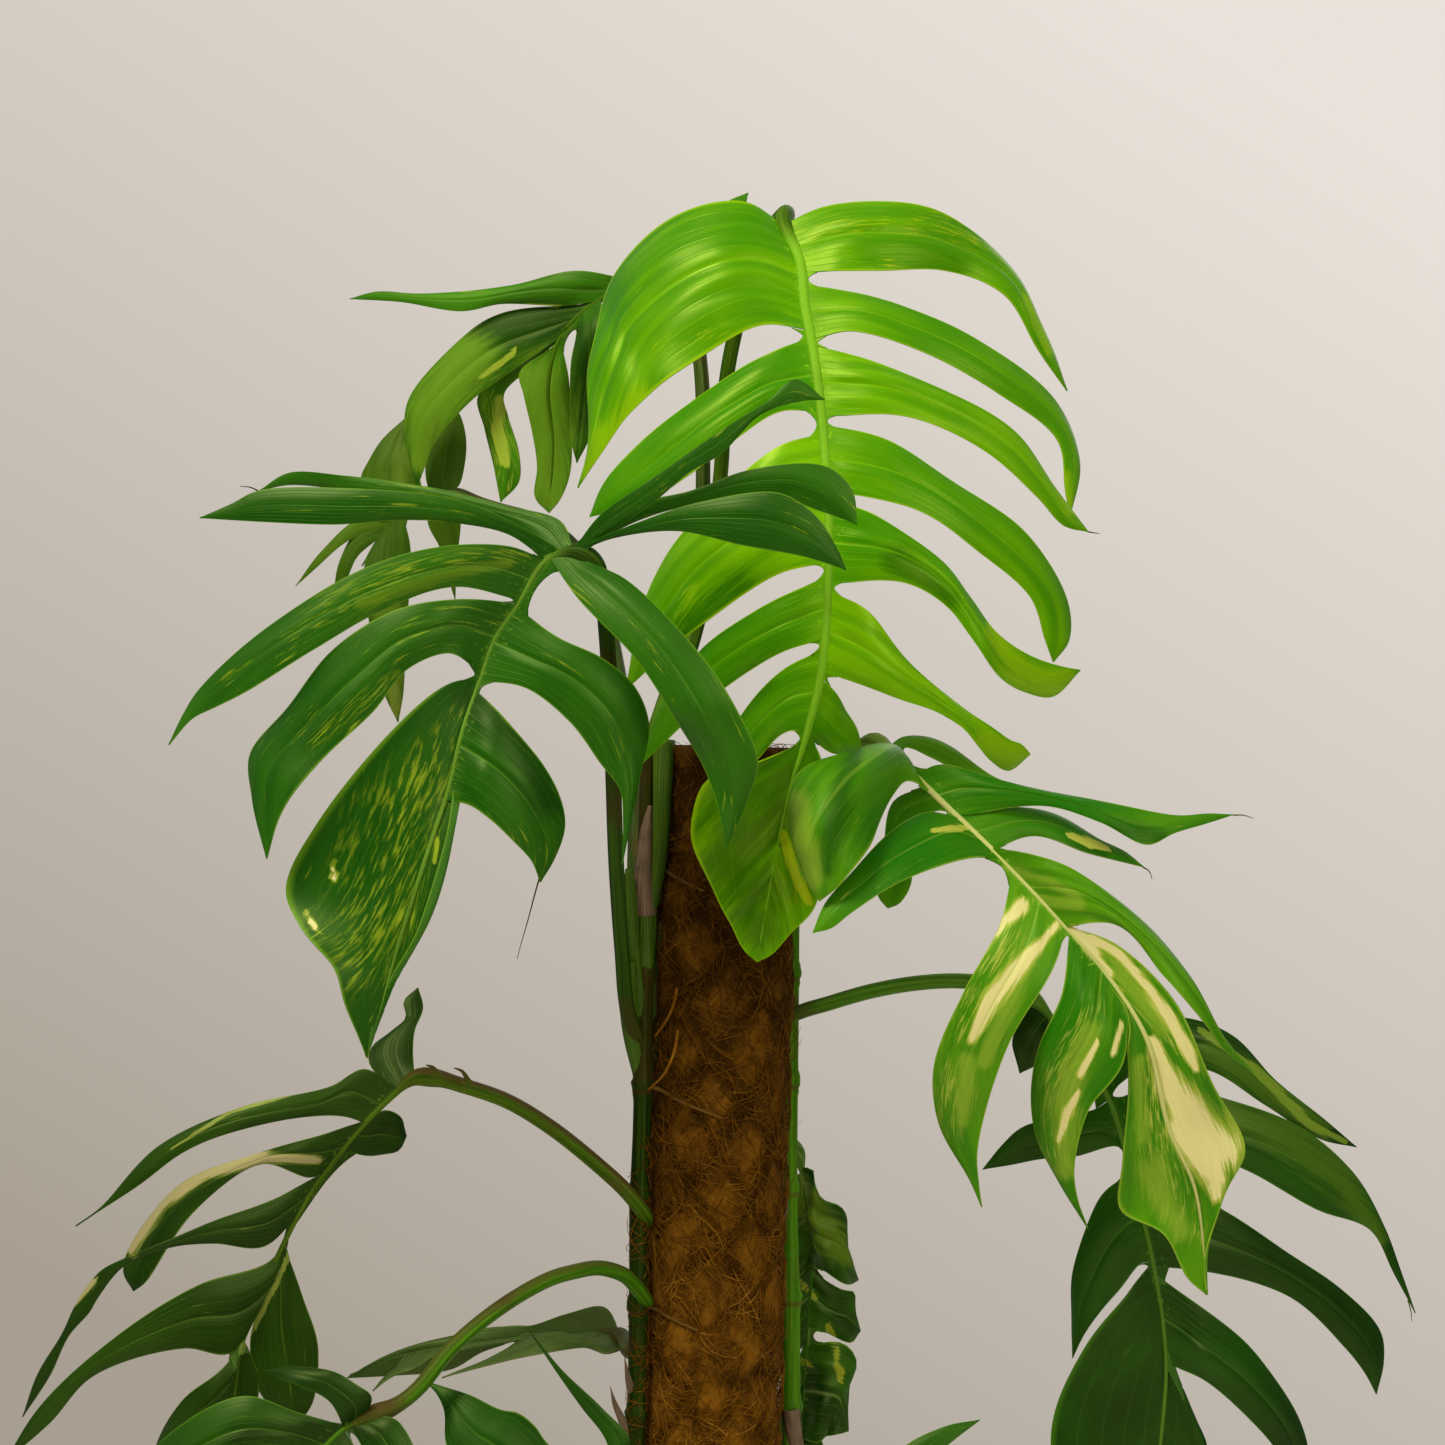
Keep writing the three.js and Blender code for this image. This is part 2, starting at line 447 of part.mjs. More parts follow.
function signedVolume(position, index) {
  const [a, b, c] = [new THREE.Vector3(), new THREE.Vector3(), new THREE.Vector3()];
  let sum = 0;
  for (let i = 0; i < index.count; i += 3) {
    a.fromBufferAttribute(position, index.getX(i));
    b.fromBufferAttribute(position, index.getX(i + 1));
    c.fromBufferAttribute(position, index.getX(i + 2));
    sum += a.dot(b.cross(c));
  }
  return sum / 6;
}

function toSolid(geometry) {
  const bare = geometry.clone();
  bare.deleteAttribute('normal');
  bare.deleteAttribute('uv');
  const merged = mergeVertices(bare, 1e-4);
  const index = Uint32Array.from(merged.index.array);
  if (signedVolume(merged.attributes.position, merged.index) < 0) index.reverse();
  return new wasm.Manifold(new wasm.Mesh({
    numProp: 3,
    vertProperties: Float32Array.from(merged.attributes.position.array),
    triVerts: index,
  }));
}

// Keeps the one body that holds the piece together: loose scraps and sealed hollows are dropped.
function toMesh(name, solid, material) {
  const bodies = solid.decompose();
  const body = bodies.reduce((best, next) => (next.volume() > best.volume() ? next : best));
  const { vertProperties, triVerts, numProp } = body.getMesh();
  const positions = new Float32Array((vertProperties.length / numProp) * 3);
  for (let i = 0; i < positions.length / 3; i += 1) {
    positions.set(vertProperties.subarray(i * numProp, i * numProp + 3), i * 3);
  }
  const geometry = new THREE.BufferGeometry();
  geometry.setAttribute('position', new THREE.BufferAttribute(positions, 3));
  geometry.setIndex(new THREE.BufferAttribute(triVerts, 1));
  geometry.computeVertexNormals();
  const mesh = new THREE.Mesh(geometry, material);
  mesh.name = name;
  return mesh;
}

function fromRings(rings) {
  const sides = rings[0].length;
  const positions = rings.flat().flatMap((point) => point.toArray());
  const index = [];
  for (let i = 0; i < rings.length - 1; i += 1) {
    for (let j = 0; j < sides; j += 1) {
      const next = (j + 1) % sides;
      const [low, high] = [i * sides, (i + 1) * sides];
      index.push(low + j, low + next, high + next, low + j, high + next, high + j);
    }
  }
  const last = (rings.length - 1) * sides;
  for (let j = 1; j < sides - 1; j += 1) {
    index.push(0, j + 1, j);
    index.push(last, last + j, last + j + 1);
  }
  const geometry = new THREE.BufferGeometry();
  geometry.setAttribute('position', new THREE.Float32BufferAttribute(positions, 3));
  geometry.setIndex(index);
  return geometry;
}

function taperedTube(points, radiusAt, sides, steps) {
  const curve = new THREE.CatmullRomCurve3(points, false, 'centripetal');
  const frames = curve.computeFrenetFrames(steps, false);
  const rings = [];
  for (let i = 0; i <= steps; i += 1) {
    const centre = curve.getPointAt(i / steps);
    const radius = radiusAt(i / steps);
    const ring = [];
    for (let j = 0; j < sides; j += 1) {
      const angle = (j / sides) * Math.PI * 2;
      ring.push(centre.clone()
        .addScaledVector(frames.normals[i], Math.cos(angle) * radius)
        .addScaledVector(frames.binormals[i], Math.sin(angle) * radius));
    }
    rings.push(ring);
  }
  return toSolid(fromRings(rings));
}

// Leaf blades

function nearestOnMidrib(samples, px, py) {
  let best = { distance: Infinity, depth: 0, at: 0 };
  samples.forEach((point, at) => {
    const distance = Math.hypot(point.x - px, point.y - py);
    if (distance < best.distance) best = { distance, depth: point.z, at };
  });
  return best;
}

function edgeSamples(points, tip, count) {
  const all = [...points, tip].map(([px, py, back = 0]) => new THREE.Vector3(px, py, back));
  const curve = new THREE.CatmullRomCurve3(all, false, 'centripetal');
  return Array.from({ length: count + 1 }, (unused, i) => curve.getPointAt(i / count));
}

// The blade's depth follows the nearest point of the midrib, plus the lobe's reach there.
function lobePoints({ edgeA, edgeB, tip, reach }, midribSamples) {
  const span = Math.hypot(tip[0] - edgeA[0][0], tip[1] - edgeA[0][1]) * viewMmPerPixel;
  const steps = THREE.MathUtils.clamp(Math.round(span / lobeStep), lobeStepsLeast, lobeStepsMost);
  const edges = [edgeA, edgeB].map((edge) => edgeSamples(edge, tip, steps));
  const near = edges.map((edge) => edge.map((point) => nearestOnMidrib(midribSamples, point.x, point.y)));
  const furthest = Math.max(...near.flat().map((item) => item.distance));
  const [middle, end] = reach;
  return edges.map((edge, e) => edge.map((point, i) => {
    const { distance, depth } = near[e][i];
    const share = distance / furthest;
    const back = 4 * middle * share * (1 - share) + end * share * (2 * share - 1);
    return place([point.x, point.y, depth + back + point.z]);
  }));
}

function midribPoint({ edgeA, edgeB }, midribSamples, share) {
  const starts = [edgeA[0], edgeB[0]].map(([px, py]) => nearestOnMidrib(midribSamples, px, py).at);
  const first = (starts[0] + starts[1]) / 2;
  const at = Math.round(THREE.MathUtils.lerp(first, midribSamples.length - 1, share));
  return place(midribSamples[at].toArray());
}

function lobeSolid(shape, midribSamples) {
  const [edgeA, edgeB] = lobePoints(shape, midribSamples);
  const steps = edgeA.length - 1;
  const rows = [];
  let normal = new THREE.Vector3(0, -1, 0);
  for (let i = 0; i < steps; i += 1) {
    const across = edgeB[i].clone().sub(edgeA[i]);
    const along = edgeA[i + 1].clone().add(edgeB[i + 1]);
    along.sub(edgeA[Math.max(i - 1, 0)]).sub(edgeB[Math.max(i - 1, 0)]);
    const crossed = along.clone().cross(across);
    if (crossed.length() > 1e-6) normal = crossed.normalize();
    const arch = across.length() * bladeArch * (normal.y < 0 ? 1 : -1);
    const middle = shape.onMidrib
      ? midribPoint(shape, midribSamples, i / steps)
      : edgeA[i].clone().add(edgeB[i]).multiplyScalar(0.5).addScaledVector(normal, arch);
    rows.push([edgeA[i], middle, edgeB[i]].map((point) => ({ point, normal: normal.clone() })));
  }
  return toSolid(bladeGeometry(rows, { point: edgeA[steps], normal }));
}

// Two faces half a thickness either side of the middle surface, split into triangles alike.
function bladeGeometry(rows, tip) {
  const positions = [];
  const add = ({ point, normal }) => {
    for (const side of [0.5, -0.5]) {
      positions.push(...point.clone().addScaledVector(normal, side * bladeThickness).toArray());
    }
    return positions.length / 3 - 2;
  };
  const grid = rows.map((row) => row.map(add));
  const end = add(tip);
  grid.push([end, end, end]);
  const index = [];
  const triangle = (a, b, c) => {
    if (a !== b && b !== c && a !== c) index.push(a, b, c);
  };
  const quad = (a, b, c, d) => {
    triangle(a, b, c);
    triangle(a, c, d);
  };
  for (let i = 0; i < grid.length - 1; i += 1) {
    for (let j = 0; j < 2; j += 1) {
      const [a, b, c, d] = [grid[i][j], grid[i + 1][j], grid[i + 1][j + 1], grid[i][j + 1]];
      quad(a, b, c, d);
      triangle(a + 1, c + 1, b + 1);
      triangle(a + 1, d + 1, c + 1);
    }
    quad(grid[i][0], grid[i][0] + 1, grid[i + 1][0] + 1, grid[i + 1][0]);
    quad(grid[i][2], grid[i + 1][2], grid[i + 1][2] + 1, grid[i][2] + 1);
  }
  for (let j = 0; j < 2; j += 1) {
    quad(grid[0][j], grid[0][j + 1], grid[0][j + 1] + 1, grid[0][j] + 1);
  }
  const geometry = new THREE.BufferGeometry();
  geometry.setAttribute('position', new THREE.Float32BufferAttribute(positions, 3));
  geometry.setIndex(index);
  return geometry;
}

function leafStalk({ petiole, midrib }) {
  const points = [...petiole, ...midrib].map(place);
  const lengths = new THREE.CatmullRomCurve3(points, false, 'centripetal').getLength();
  const stalkPart = points.slice(0, petiole.length + 1);
  const petioleLength = new THREE.CatmullRomCurve3(stalkPart, false, 'centripetal').getLength();
  const joint = petioleLength / lengths;
  const radiusAt = (t) => {
    if (t < joint) return petioleRadius;
    const past = (t - joint) / (1 - joint);
    return THREE.MathUtils.lerp(petioleRadius * midribBaseShare, midribTipRadius, Math.sqrt(past));
  };
  return taperedTube(points, radiusAt, stalkSides, Math.round(lengths / stalkStep));
}

function leafSolid(leaf, cutters) {
  const curve = new THREE.CatmullRomCurve3(
    leaf.midrib.map(([px, py, depth]) => new THREE.Vector3(px, py, depth)), false, 'centripetal');
  const samples = curve.getSpacedPoints(120);
  const parts = leaf.lobes.map((shape) => lobeSolid(shape, samples));
  const whole = wasm.Manifold.union([leafStalk(leaf), ...parts]);
  return cutters.reduce((solid, cutter) => solid.subtract(cutter), whole);
}

// Stems: level rings along the path, swollen at each node

function pathAt(path, z) {
  const points = path.map((point) => new THREE.Vector3(...point));
  const curve = new THREE.CatmullRomCurve3(points, false, 'centripetal');
  const samples = curve.getSpacedPoints(400);
  const above = samples.findIndex((point) => point.z >= z);
  if (above < 0) return samples[samples.length - 1].clone().setZ(z);
  if (above === 0) return samples[0].clone();
  const [low, high] = [samples[above - 1], samples[above]];
  return low.clone().lerp(high, (z - low.z) / (high.z - low.z));
}

function stemTube(path, extra) {
  const [bottom, top] = [path[0][2], path[path.length - 1][2]];
  const stations = [{ z: bottom, swell: 0 }, { z: soilTop - stemNodeHalf, swell: 0 }];
  for (let node = soilTop + stemFirstNode; node < top - stemTipFree; node += stemNodePitch) {
    stations.push({ z: node - stemNodeHalf, swell: 0 }, { z: node, swell: stemNodeSwell });
    if (node + stemNodeHalf < top - stemTipFree) stations.push({ z: node + stemNodeHalf, swell: 0 });
  }
  stations.push({ z: top - stemTipNarrow * 2, swell: 0 }, { z: top + extra, swell: -stemTipNarrow });
    const rings = stations.map(({ z, swell }) => {
    const centre = pathAt(path, z);
    const ring = [];
    for (let j = 0; j < stemSides; j += 1) {
      const angle = (j / stemSides) * Math.PI * 2;
      const radius = stemRadius + swell + extra;
      ring.push(new THREE.Vector3(
        centre.x + Math.cos(angle) * radius, centre.y + Math.sin(angle) * radius, z));
    }
    return ring;
  });
  return toSolid(fromRings(rings));
}

// Aerial roots leave a stem node and lie round the pole, just clear of the coir.
function aerialRoot(path, z, turn, drop) {
  const start = pathAt(path, z);
  const from = Math.atan2(start.y, start.x);
  const reach = coirRadius + bindingHeight + touchGap + rootRadius + rootSlack;
  const points = [start];
  for (let i = 1; i <= rootBends; i += 1) {
    const share = i / rootBends;
    const angle = from + turn * share;
    points.push(new THREE.Vector3(Math.cos(angle) * reach, Math.sin(angle) * reach, z - drop * share));
  }
  return taperedTube(points, (t) => rootRadius * (1.15 - 0.5 * t), rootSides, rootBends + 1);
}

function stemSolid(path, roots) {
  const held = roots.map(([z, turn, drop]) => aerialRoot(path, z, turn, drop));
  return wasm.Manifold.union([stemTube(path, 0), ...held]);
}

// Pot, soil and pole

function lathe(points, segments) {
  const profile = points.map(([r, z]) => new THREE.Vector2(r, z));
  return new THREE.LatheGeometry(profile, segments).rotateX(Math.PI / 2);
}

function uprightCylinder(radius, bottom, top, segments) {
  const geometry = new THREE.CylinderGeometry(radius, radius, top - bottom, segments);
  return geometry.rotateX(Math.PI / 2).translate(0, 0, (top + bottom) / 2);
}

function potRadiusAt(z) {
  return THREE.MathUtils.lerp(potBaseRadius, potTopRadius, z / potHeight);
}

function potSolid() {
  const rimBottom = potHeight - potRimDepth;
  const profile = [
    [0, 0], [potBaseRadius, 0],
    [potRadiusAt(rimBottom), rimBottom], [potRadiusAt(rimBottom) + potRimWidth, rimBottom + rimRound],
    [potTopRadius + potRimWidth, potHeight - rimRound], [potTopRadius + potRimWidth - rimRound, potHeight],
    [potTopRadius - potWall, potHeight], [potRadiusAt(potFloor) - potWall, potFloor], [0, potFloor],
  ];
  let pot = toSolid(lathe(profile, potSides));
  for (let i = 0; i < drainCount; i += 1) {
    const angle = ((i + 0.5) / drainCount) * Math.PI * 2;
    const drain = uprightCylinder(drainRadius, -1, potFloor + 1, 8)
      .translate(Math.cos(angle) * drainCircle, Math.sin(angle) * drainCircle, 0);
    pot = pot.subtract(toSolid(drain));
  }
  return pot;
}

function stemHole(path) {
  const [x, y, z] = path[0];
  const hole = uprightCylinder(stemRadius + stemHoleSlack, z - touchGap, potHeight, 12);
  return toSolid(hole.translate(x, y, 0));
}

function soilSolid() {
  const bottom = potFloor + touchGap;
  const side = (z) => potRadiusAt(z) - potWall - potSlack;
  const profile = [
    [0, bottom], [side(bottom), bottom], [side(soilTop - soilEdgeRound), soilTop - soilEdgeRound],
    [side(soilTop) - soilEdgeRound, soilTop], [soilSlopeRadius, soilTop + soilMound * 0.5],
    [soilMoundRadius, soilTop + soilMound], [0, soilTop + soilMound],
  ];
  const poleHoleRadius = coirRadius + bindingHeight + touchGap;
  const poleHole = uprightCylinder(poleHoleRadius, poleFoot - touchGap, potHeight, 24);
  return toSolid(lathe(profile, potSides)).subtract(toSolid(poleHole))
    .subtract(stemHole(stemLeftPath)).subtract(stemHole(stemRightPath));
}

// The coir sleeve: bindings cross it in diamonds, as ridges on a grid whose diagonals they follow.
function coirSolid() {
  const segments = bindingsAround * bindingStep;
  const bindingFoot = soilTop - bindingBuried;
  const rows = Math.round((poleTop - bindingFoot) / (bindingRise / bindingStep));
  const rowHeight = (poleTop - bindingFoot) / rows;
  const innerRadius = stakeRadius + touchGap;
  const profile = [[innerRadius, poleFoot], [coirRadius, poleFoot]];
  for (let i = 0; i <= rows; i += 1) profile.push([coirRadius, bindingFoot + i * rowHeight]);
  profile.push([innerRadius, poleTop], [innerRadius, poleFoot]);
  const sleeve = lathe(profile, segments);
  const position = sleeve.attributes.position;
  for (let i = 0; i < position.count; i += 1) {
    const [x, y, z] = [position.getX(i), position.getY(i), position.getZ(i)];
    if (Math.hypot(x, y) < coirRadius - 1 || z < bindingFoot - 1) continue;
    const column = Math.round((Math.atan2(y, x) / (Math.PI * 2)) * segments + segments);
    const row = Math.round((z - bindingFoot) / rowHeight);
    const rising = (column + row) % bindingStep === 0;
    const falling = (column - row + segments * rows) % bindingStep === 0;
    const scale = rising || falling ? (coirRadius + bindingHeight) / coirRadius : 1;
    position.setXYZ(i, x * scale, y * scale, z);
  }
  return toSolid(sleeve);
}

// Materials

const finish = (color, roughness) => new THREE.MeshStandardMaterial({ color, roughness, metalness: 0 });

const potPlastic = finish(0x4a4a48, 0.55);
const pottingMix = finish(0x2b1d14, 0.95);
const stakeWood = finish(0x8a6a45, 0.8);
const coirFibre = finish(0x5a3414, 0.95);
const stemSkin = finish(0x5b6b22, 0.5);
const brightLeaf = finish(0x4e9a14, 0.4);
const darkLeaf = finish(0x1f5a14, 0.4);
const creamLeaf = finish(0x6f9a4a, 0.4);
const dullLeaf = finish(0x55703a, 0.5);

// The plant in its pot

const stemCutters = [stemTube(stemLeftPath, touchGap), stemTube(stemRightPath, touchGap)];

// Aerial roots as [height, turn round the pole in radians, drop]
const leftRoots = [
  [328, 1.1, 14], [420, -0.7, 10], [466, 0.9, 8], [558, 1.2, 12], [604, -0.6, 12], [650, 0.9, 10],
];
const rightRoots = [[328, -1.0, 12], [420, 0.8, 10], [512, -0.9, 10], [604, 0.9, 10]];

const leaves = [
  ['leaf_top', leafTop, brightLeaf],
  ['leaf_left', leafLeft, darkLeaf],
  ['leaf_right', leafRight, creamLeaf],
  ['leaf_right_lower', leafRightLower, darkLeaf],
  ['leaf_left_side', leafLeftSide, brightLeaf],
  ['leaf_left_front', leafLeftFront, brightLeaf],
  ['leaf_back', leafBack, dullLeaf],
  ['leaf_far', leafFar, dullLeaf],
  ['leaf_left_back', leafLeftBack, dullLeaf],
  ['leaf_left_low', leafLeftLow, darkLeaf],
  ['leaf_back_right', leafBackRight, darkLeaf],
  ['leaf_right_low', leafRightLow, brightLeaf],
];

const stake = toSolid(uprightCylinder(stakeRadius, poleFoot, poleTop + stakeProud, 16));

const plant = new THREE.Group();
plant.name = 'potted_dragon_tail';
plant.add(toMesh('pot', potSolid(), potPlastic));
plant.add(toMesh('soil', soilSolid(), pottingMix));
plant.add(toMesh('pole_stake', stake, stakeWood));
plant.add(toMesh('coir_wrap', coirSolid(), coirFibre));
plant.add(toMesh('stem_left', stemSolid(stemLeftPath, leftRoots), stemSkin));
plant.add(toMesh('stem_right', stemSolid(stemRightPath, rightRoots), stemSkin));
for (const [name, leaf, skin] of leaves) {
  plant.add(toMesh(name, leafSolid(leaf, stemCutters), skin));
}

export default plant;
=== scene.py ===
# %% [markdown]
# # A dragon tail plant on a coir pole
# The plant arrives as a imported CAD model: plain solids with the right sizes in the right places. This lesson
# dresses it for a close look. The solids stay as the fixed frame, and each leaf, stem and fibre that is made
# here either stands for one of them or rests on one.

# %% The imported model
import math
import random

import bmesh
import bpy
import numpy as np
from mathutils import Matrix, Vector, noise


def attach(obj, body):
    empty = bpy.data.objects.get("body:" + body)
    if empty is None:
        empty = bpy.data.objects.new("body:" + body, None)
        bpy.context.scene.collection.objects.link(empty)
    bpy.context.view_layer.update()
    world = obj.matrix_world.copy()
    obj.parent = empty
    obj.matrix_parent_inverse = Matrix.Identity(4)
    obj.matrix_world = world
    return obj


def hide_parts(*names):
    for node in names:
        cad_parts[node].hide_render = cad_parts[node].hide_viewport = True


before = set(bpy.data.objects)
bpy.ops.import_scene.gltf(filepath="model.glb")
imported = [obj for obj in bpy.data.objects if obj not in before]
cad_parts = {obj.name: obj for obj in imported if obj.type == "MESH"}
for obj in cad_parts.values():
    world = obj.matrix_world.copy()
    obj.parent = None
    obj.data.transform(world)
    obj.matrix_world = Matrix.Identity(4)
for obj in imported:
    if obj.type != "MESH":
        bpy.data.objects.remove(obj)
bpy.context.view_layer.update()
print("nodes in the frame:", len(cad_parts))

# %% [markdown]
# ## One drawing for everything
# The leaves were drawn in a front view of 1445 by 1445 pixels. A point is a pixel and a depth in
# millimetres, negative towards the viewer. The same rule that the CAD source uses turns it into a point in
# metres, so that a fine leaf lands where its solid is.

# %% From a pixel to a point
MM = 0.001
VIEW_CENTRE = 722.5
VIEW_PIXELS = 1445
VIEW_MM_PER_PIXEL = 0.4225
VIEW_DISTANCE = 1500
VIEW_ROLL = math.radians(1.55)
VIEW_AIM_X = -2.75
VIEW_AIM_Z = 710

def place(points):
    """Turns rows of pixel x, pixel y and depth into rows of x, y and z in metres."""
    points = np.asarray(points, float)
    depth = points[..., 2]
    right, up = points[..., 0] - VIEW_CENTRE, VIEW_CENTRE - points[..., 1]
    scale = VIEW_MM_PER_PIXEL * (1 + depth / VIEW_DISTANCE)
    x = VIEW_AIM_X + (right * math.cos(VIEW_ROLL) - up * math.sin(VIEW_ROLL)) * scale
    z = VIEW_AIM_Z + (right * math.sin(VIEW_ROLL) + up * math.cos(VIEW_ROLL)) * scale
    return np.stack([x, depth, z], axis=-1) * MM

def seen(points):
    """The other way round: the pixels at which points in metres are seen."""
    x, depth, z = np.moveaxis(np.asarray(points, float) / MM, -1, 0)
    scale = VIEW_MM_PER_PIXEL * (1 + depth / VIEW_DISTANCE)
    right, up = (x - VIEW_AIM_X) / scale, (z - VIEW_AIM_Z) / scale
    across = right * math.cos(VIEW_ROLL) + up * math.sin(VIEW_ROLL)
    down = right * math.sin(VIEW_ROLL) - up * math.cos(VIEW_ROLL)
    return np.stack([VIEW_CENTRE + across, VIEW_CENTRE + down], axis=-1)


corner = place([[100.0, 1300.0, -40.0]])
print("a pixel in metres:", corner.round(4), "and back:", seen(corner).round(2))

# %% [markdown]
# ## Camera and lamps
# The photograph looks level at the top of the plant, a little rolled. A long lens at 1.5 m gives the same
# flat perspective, and large soft lamps make the broad shine that glossy leaves show.

# %% Camera and lamps
SENSOR = 36.0
LAMP_AIM = (0, 0, 0.65)
# where each lamp stands, its size in metres, its power in watts and its colour
LAMPS = {
    "key": ((-1.1, -1.2, 2.3), 0.9, 40, (1.0, 0.97, 0.9)),
    "front": ((1.1, -2.2, 1.3), 1.4, 23, (1.0, 0.98, 0.94)),
    "back": ((0.9, 1.6, 1.8), 1.6, 8, (1.0, 0.98, 0.95)),
}

def make_camera():
    data = bpy.data.cameras.new("camera")
    data.sensor_width = SENSOR
    data.lens = SENSOR * VIEW_DISTANCE / (VIEW_PIXELS * VIEW_MM_PER_PIXEL)
    made = bpy.data.objects.new("camera", data)
    bpy.context.scene.collection.objects.link(made)
    c, s = math.cos(VIEW_ROLL), math.sin(VIEW_ROLL)
    made.matrix_world = Matrix((
        (c, -s, 0, VIEW_AIM_X * MM),
        (0, 0, -1, -VIEW_DISTANCE * MM),
        (s, c, 0, VIEW_AIM_Z * MM),
        (0, 0, 0, 1),
    ))
    bpy.context.scene.camera = made
    print("lens in mm:", round(data.lens, 1))

def soft_lamp(name, at, size, power, colour):
    data = bpy.data.lights.new(name, "AREA")
    data.shape = "DISK"
    data.size = size
    data.energy = power
    data.color = colour
    made = bpy.data.objects.new(name, data)
    bpy.context.scene.collection.objects.link(made)
    made.location = at
    aim = Vector(LAMP_AIM) - Vector(at)
    made.rotation_mode = "QUATERNION"
    made.rotation_quaternion = aim.to_track_quat("-Z", "Y")


make_camera()
for lamp_name, lamp in LAMPS.items():
    soft_lamp(lamp_name, *lamp)
bpy.context.scene.view_settings.view_transform = "Standard"

# %% [markdown]
# ## Small tools for materials
# A material is a little network of nodes. A wire is one output of a node, and sums and products of wires add
# the nodes that work them out, so that each surface below reads like a recipe. Colours are given as screen
# colours from 0 to 255. Every recipe is a node group that gives a colour, a roughness and a height.

# %% Wires between nodes

class Wire:
    """One output of a node. Arithmetic with wires adds Math nodes."""

    def __init__(self, tree, socket):
        self.tree, self.socket = tree, socket

    def maths(self, operation, other=0.0):
        return add(self.tree, "Math", {0: self, 1: other}, operation=operation)

    def __add__(self, other):
        return self.maths("ADD", other)

    def __sub__(self, other):
        return self.maths("SUBTRACT", other)

    def __mul__(self, other):
        return self.maths("MULTIPLY", other)

    def __abs__(self):
        return self.maths("ABSOLUTE")

    def part(self, axis):
        """The X, Y or Z of a vector."""
        return add(self.tree, "SeparateXYZ", {"Vector": self}, axis)

    def stretched(self, *scale):
        return add(self.tree, "Mapping", {"Vector": self, "Scale": scale}, "Vector")

    def grain(self, scale, detail=2.0, rough=0.5):
        """Noise from 0 to 1 at the places that this wire gives."""
        looks = {"Scale": scale, "Detail": detail, "Roughness": rough}
        return add(self.tree, "TexNoise", {"Vector": self, **looks}, "Fac")

    def ease(self, low, high):
        """0 at low, 1 at high, and smooth between them."""
        inputs = {"Value": self, "From Min": low, "From Max": high}
        return add(self.tree, "MapRange", inputs, "Result", interpolation_type="SMOOTHSTEP")

    def towards(self, goal, share):
        """This colour, moved by a share towards another one."""
        return mix(self.tree, share, self, goal)

def feed(tree, node, values):
    """Wires up or sets the inputs of a node."""
    for key, value in values.items():
        if isinstance(value, Wire):
            tree.links.new(value.socket, node.inputs[key])
        else:
            node.inputs[key].default_value = value

def add(tree, kind, inputs, output=0, **settings):
    """Adds a node and returns one of its outputs."""
    made = tree.nodes.new("ShaderNode" + kind)
    for key, value in settings.items():
        setattr(made, key, value)
    feed(tree, made, inputs)
    return Wire(tree, made.outputs[output])

def mix(tree, share, first, second):
    return add(tree, "Mix", {0: share, 6: first, 7: second}, 2, data_type="RGBA")

def attribute(tree, name):
    return add(tree, "Attribute", {}, "Fac", attribute_name=name)

def object_place(tree):
    return add(tree, "TexCoord", {}, "Object")

def skin_place(tree):
    return add(tree, "UVMap", {}, "UV", uv_map="skin")

# %% Recipes and materials

def screen(red, green, blue):
    """A colour as it looks on screen, turned into the linear values that Blender works in."""
    parts = [value / 255 for value in (red, green, blue)]
    linear = [p / 12.92 if p <= 0.04045 else ((p + 0.055) / 1.055) ** 2.4 for p in parts]
    return (*linear, 1.0)

def new_recipe(name, colours, values=()):
    """A node group for a surface, and a wire for each of its inputs."""
    group = bpy.data.node_groups.new(name, "ShaderNodeTree")
    sockets = [(key, "INPUT", "Color") for key in colours] + [(key, "INPUT", "Float") for key in values]
    sockets += [("Color", "OUTPUT", "Color"), ("Roughness", "OUTPUT", "Float"), ("Height", "OUTPUT", "Float")]
    for key, way, kind in sockets:
        group.interface.new_socket(key, in_out=way, socket_type="NodeSocket" + kind)
    given = group.nodes.new("NodeGroupInput")
    return group, [Wire(group, given.outputs[key]) for key in (*colours, *values)]

def end_recipe(group, colour, roughness, height):
    results = {"Color": colour, "Roughness": roughness, "Height": height}
    feed(group, group.nodes.new("NodeGroupOutput"), results)
    return group

def shine(level, *tint):
    """How strong a shine is, and its colour."""
    return {"Specular IOR Level": level, "Specular Tint": (*tint, 1.0)}

def finish(name, group, values, bump, gloss=None):
    """A Principled material whose colour, roughness and height come from a recipe."""
    material = bpy.data.materials.new(name)
    material.use_nodes = True
    tree = material.node_tree
    shader = tree.nodes["Principled BSDF"]
    pattern = tree.nodes.new("ShaderNodeGroup")
    pattern.node_tree = group
    feed(tree, pattern, values)
    colour, roughness, height = (Wire(tree, pattern.outputs[key]) for key in ("Color", "Roughness", "Height"))
    relief = add(tree, "Bump", {"Height": height, "Strength": 1.0, "Distance": bump}, "Normal")
    feed(tree, shader, {"Base Color": colour, "Roughness": roughness, "Normal": relief})
    feed(tree, shader, gloss or {})
    return material

def all_screen(colours):
    """A dictionary of screen colours, turned into linear ones."""
    return {key: screen(*value) for key, value in colours.items()}


print("middle grey in linear light:", round(screen(128, 128, 128)[0], 3))

# %% [markdown]
# ## Floor and world
# The floor is a thin pale disc, small enough that it ends below the picture, with a very faint grain like a
# painted board. The camera sees the world as the photograph's wall. The plant is lit by a dimmer room.

# %% Floor and world
FLOOR_RADIUS = 1.5
FLOOR_THICKNESS = 0.01
WALL_LIGHT, WALL_SHADE = screen(233, 226, 218), screen(168, 159, 146)
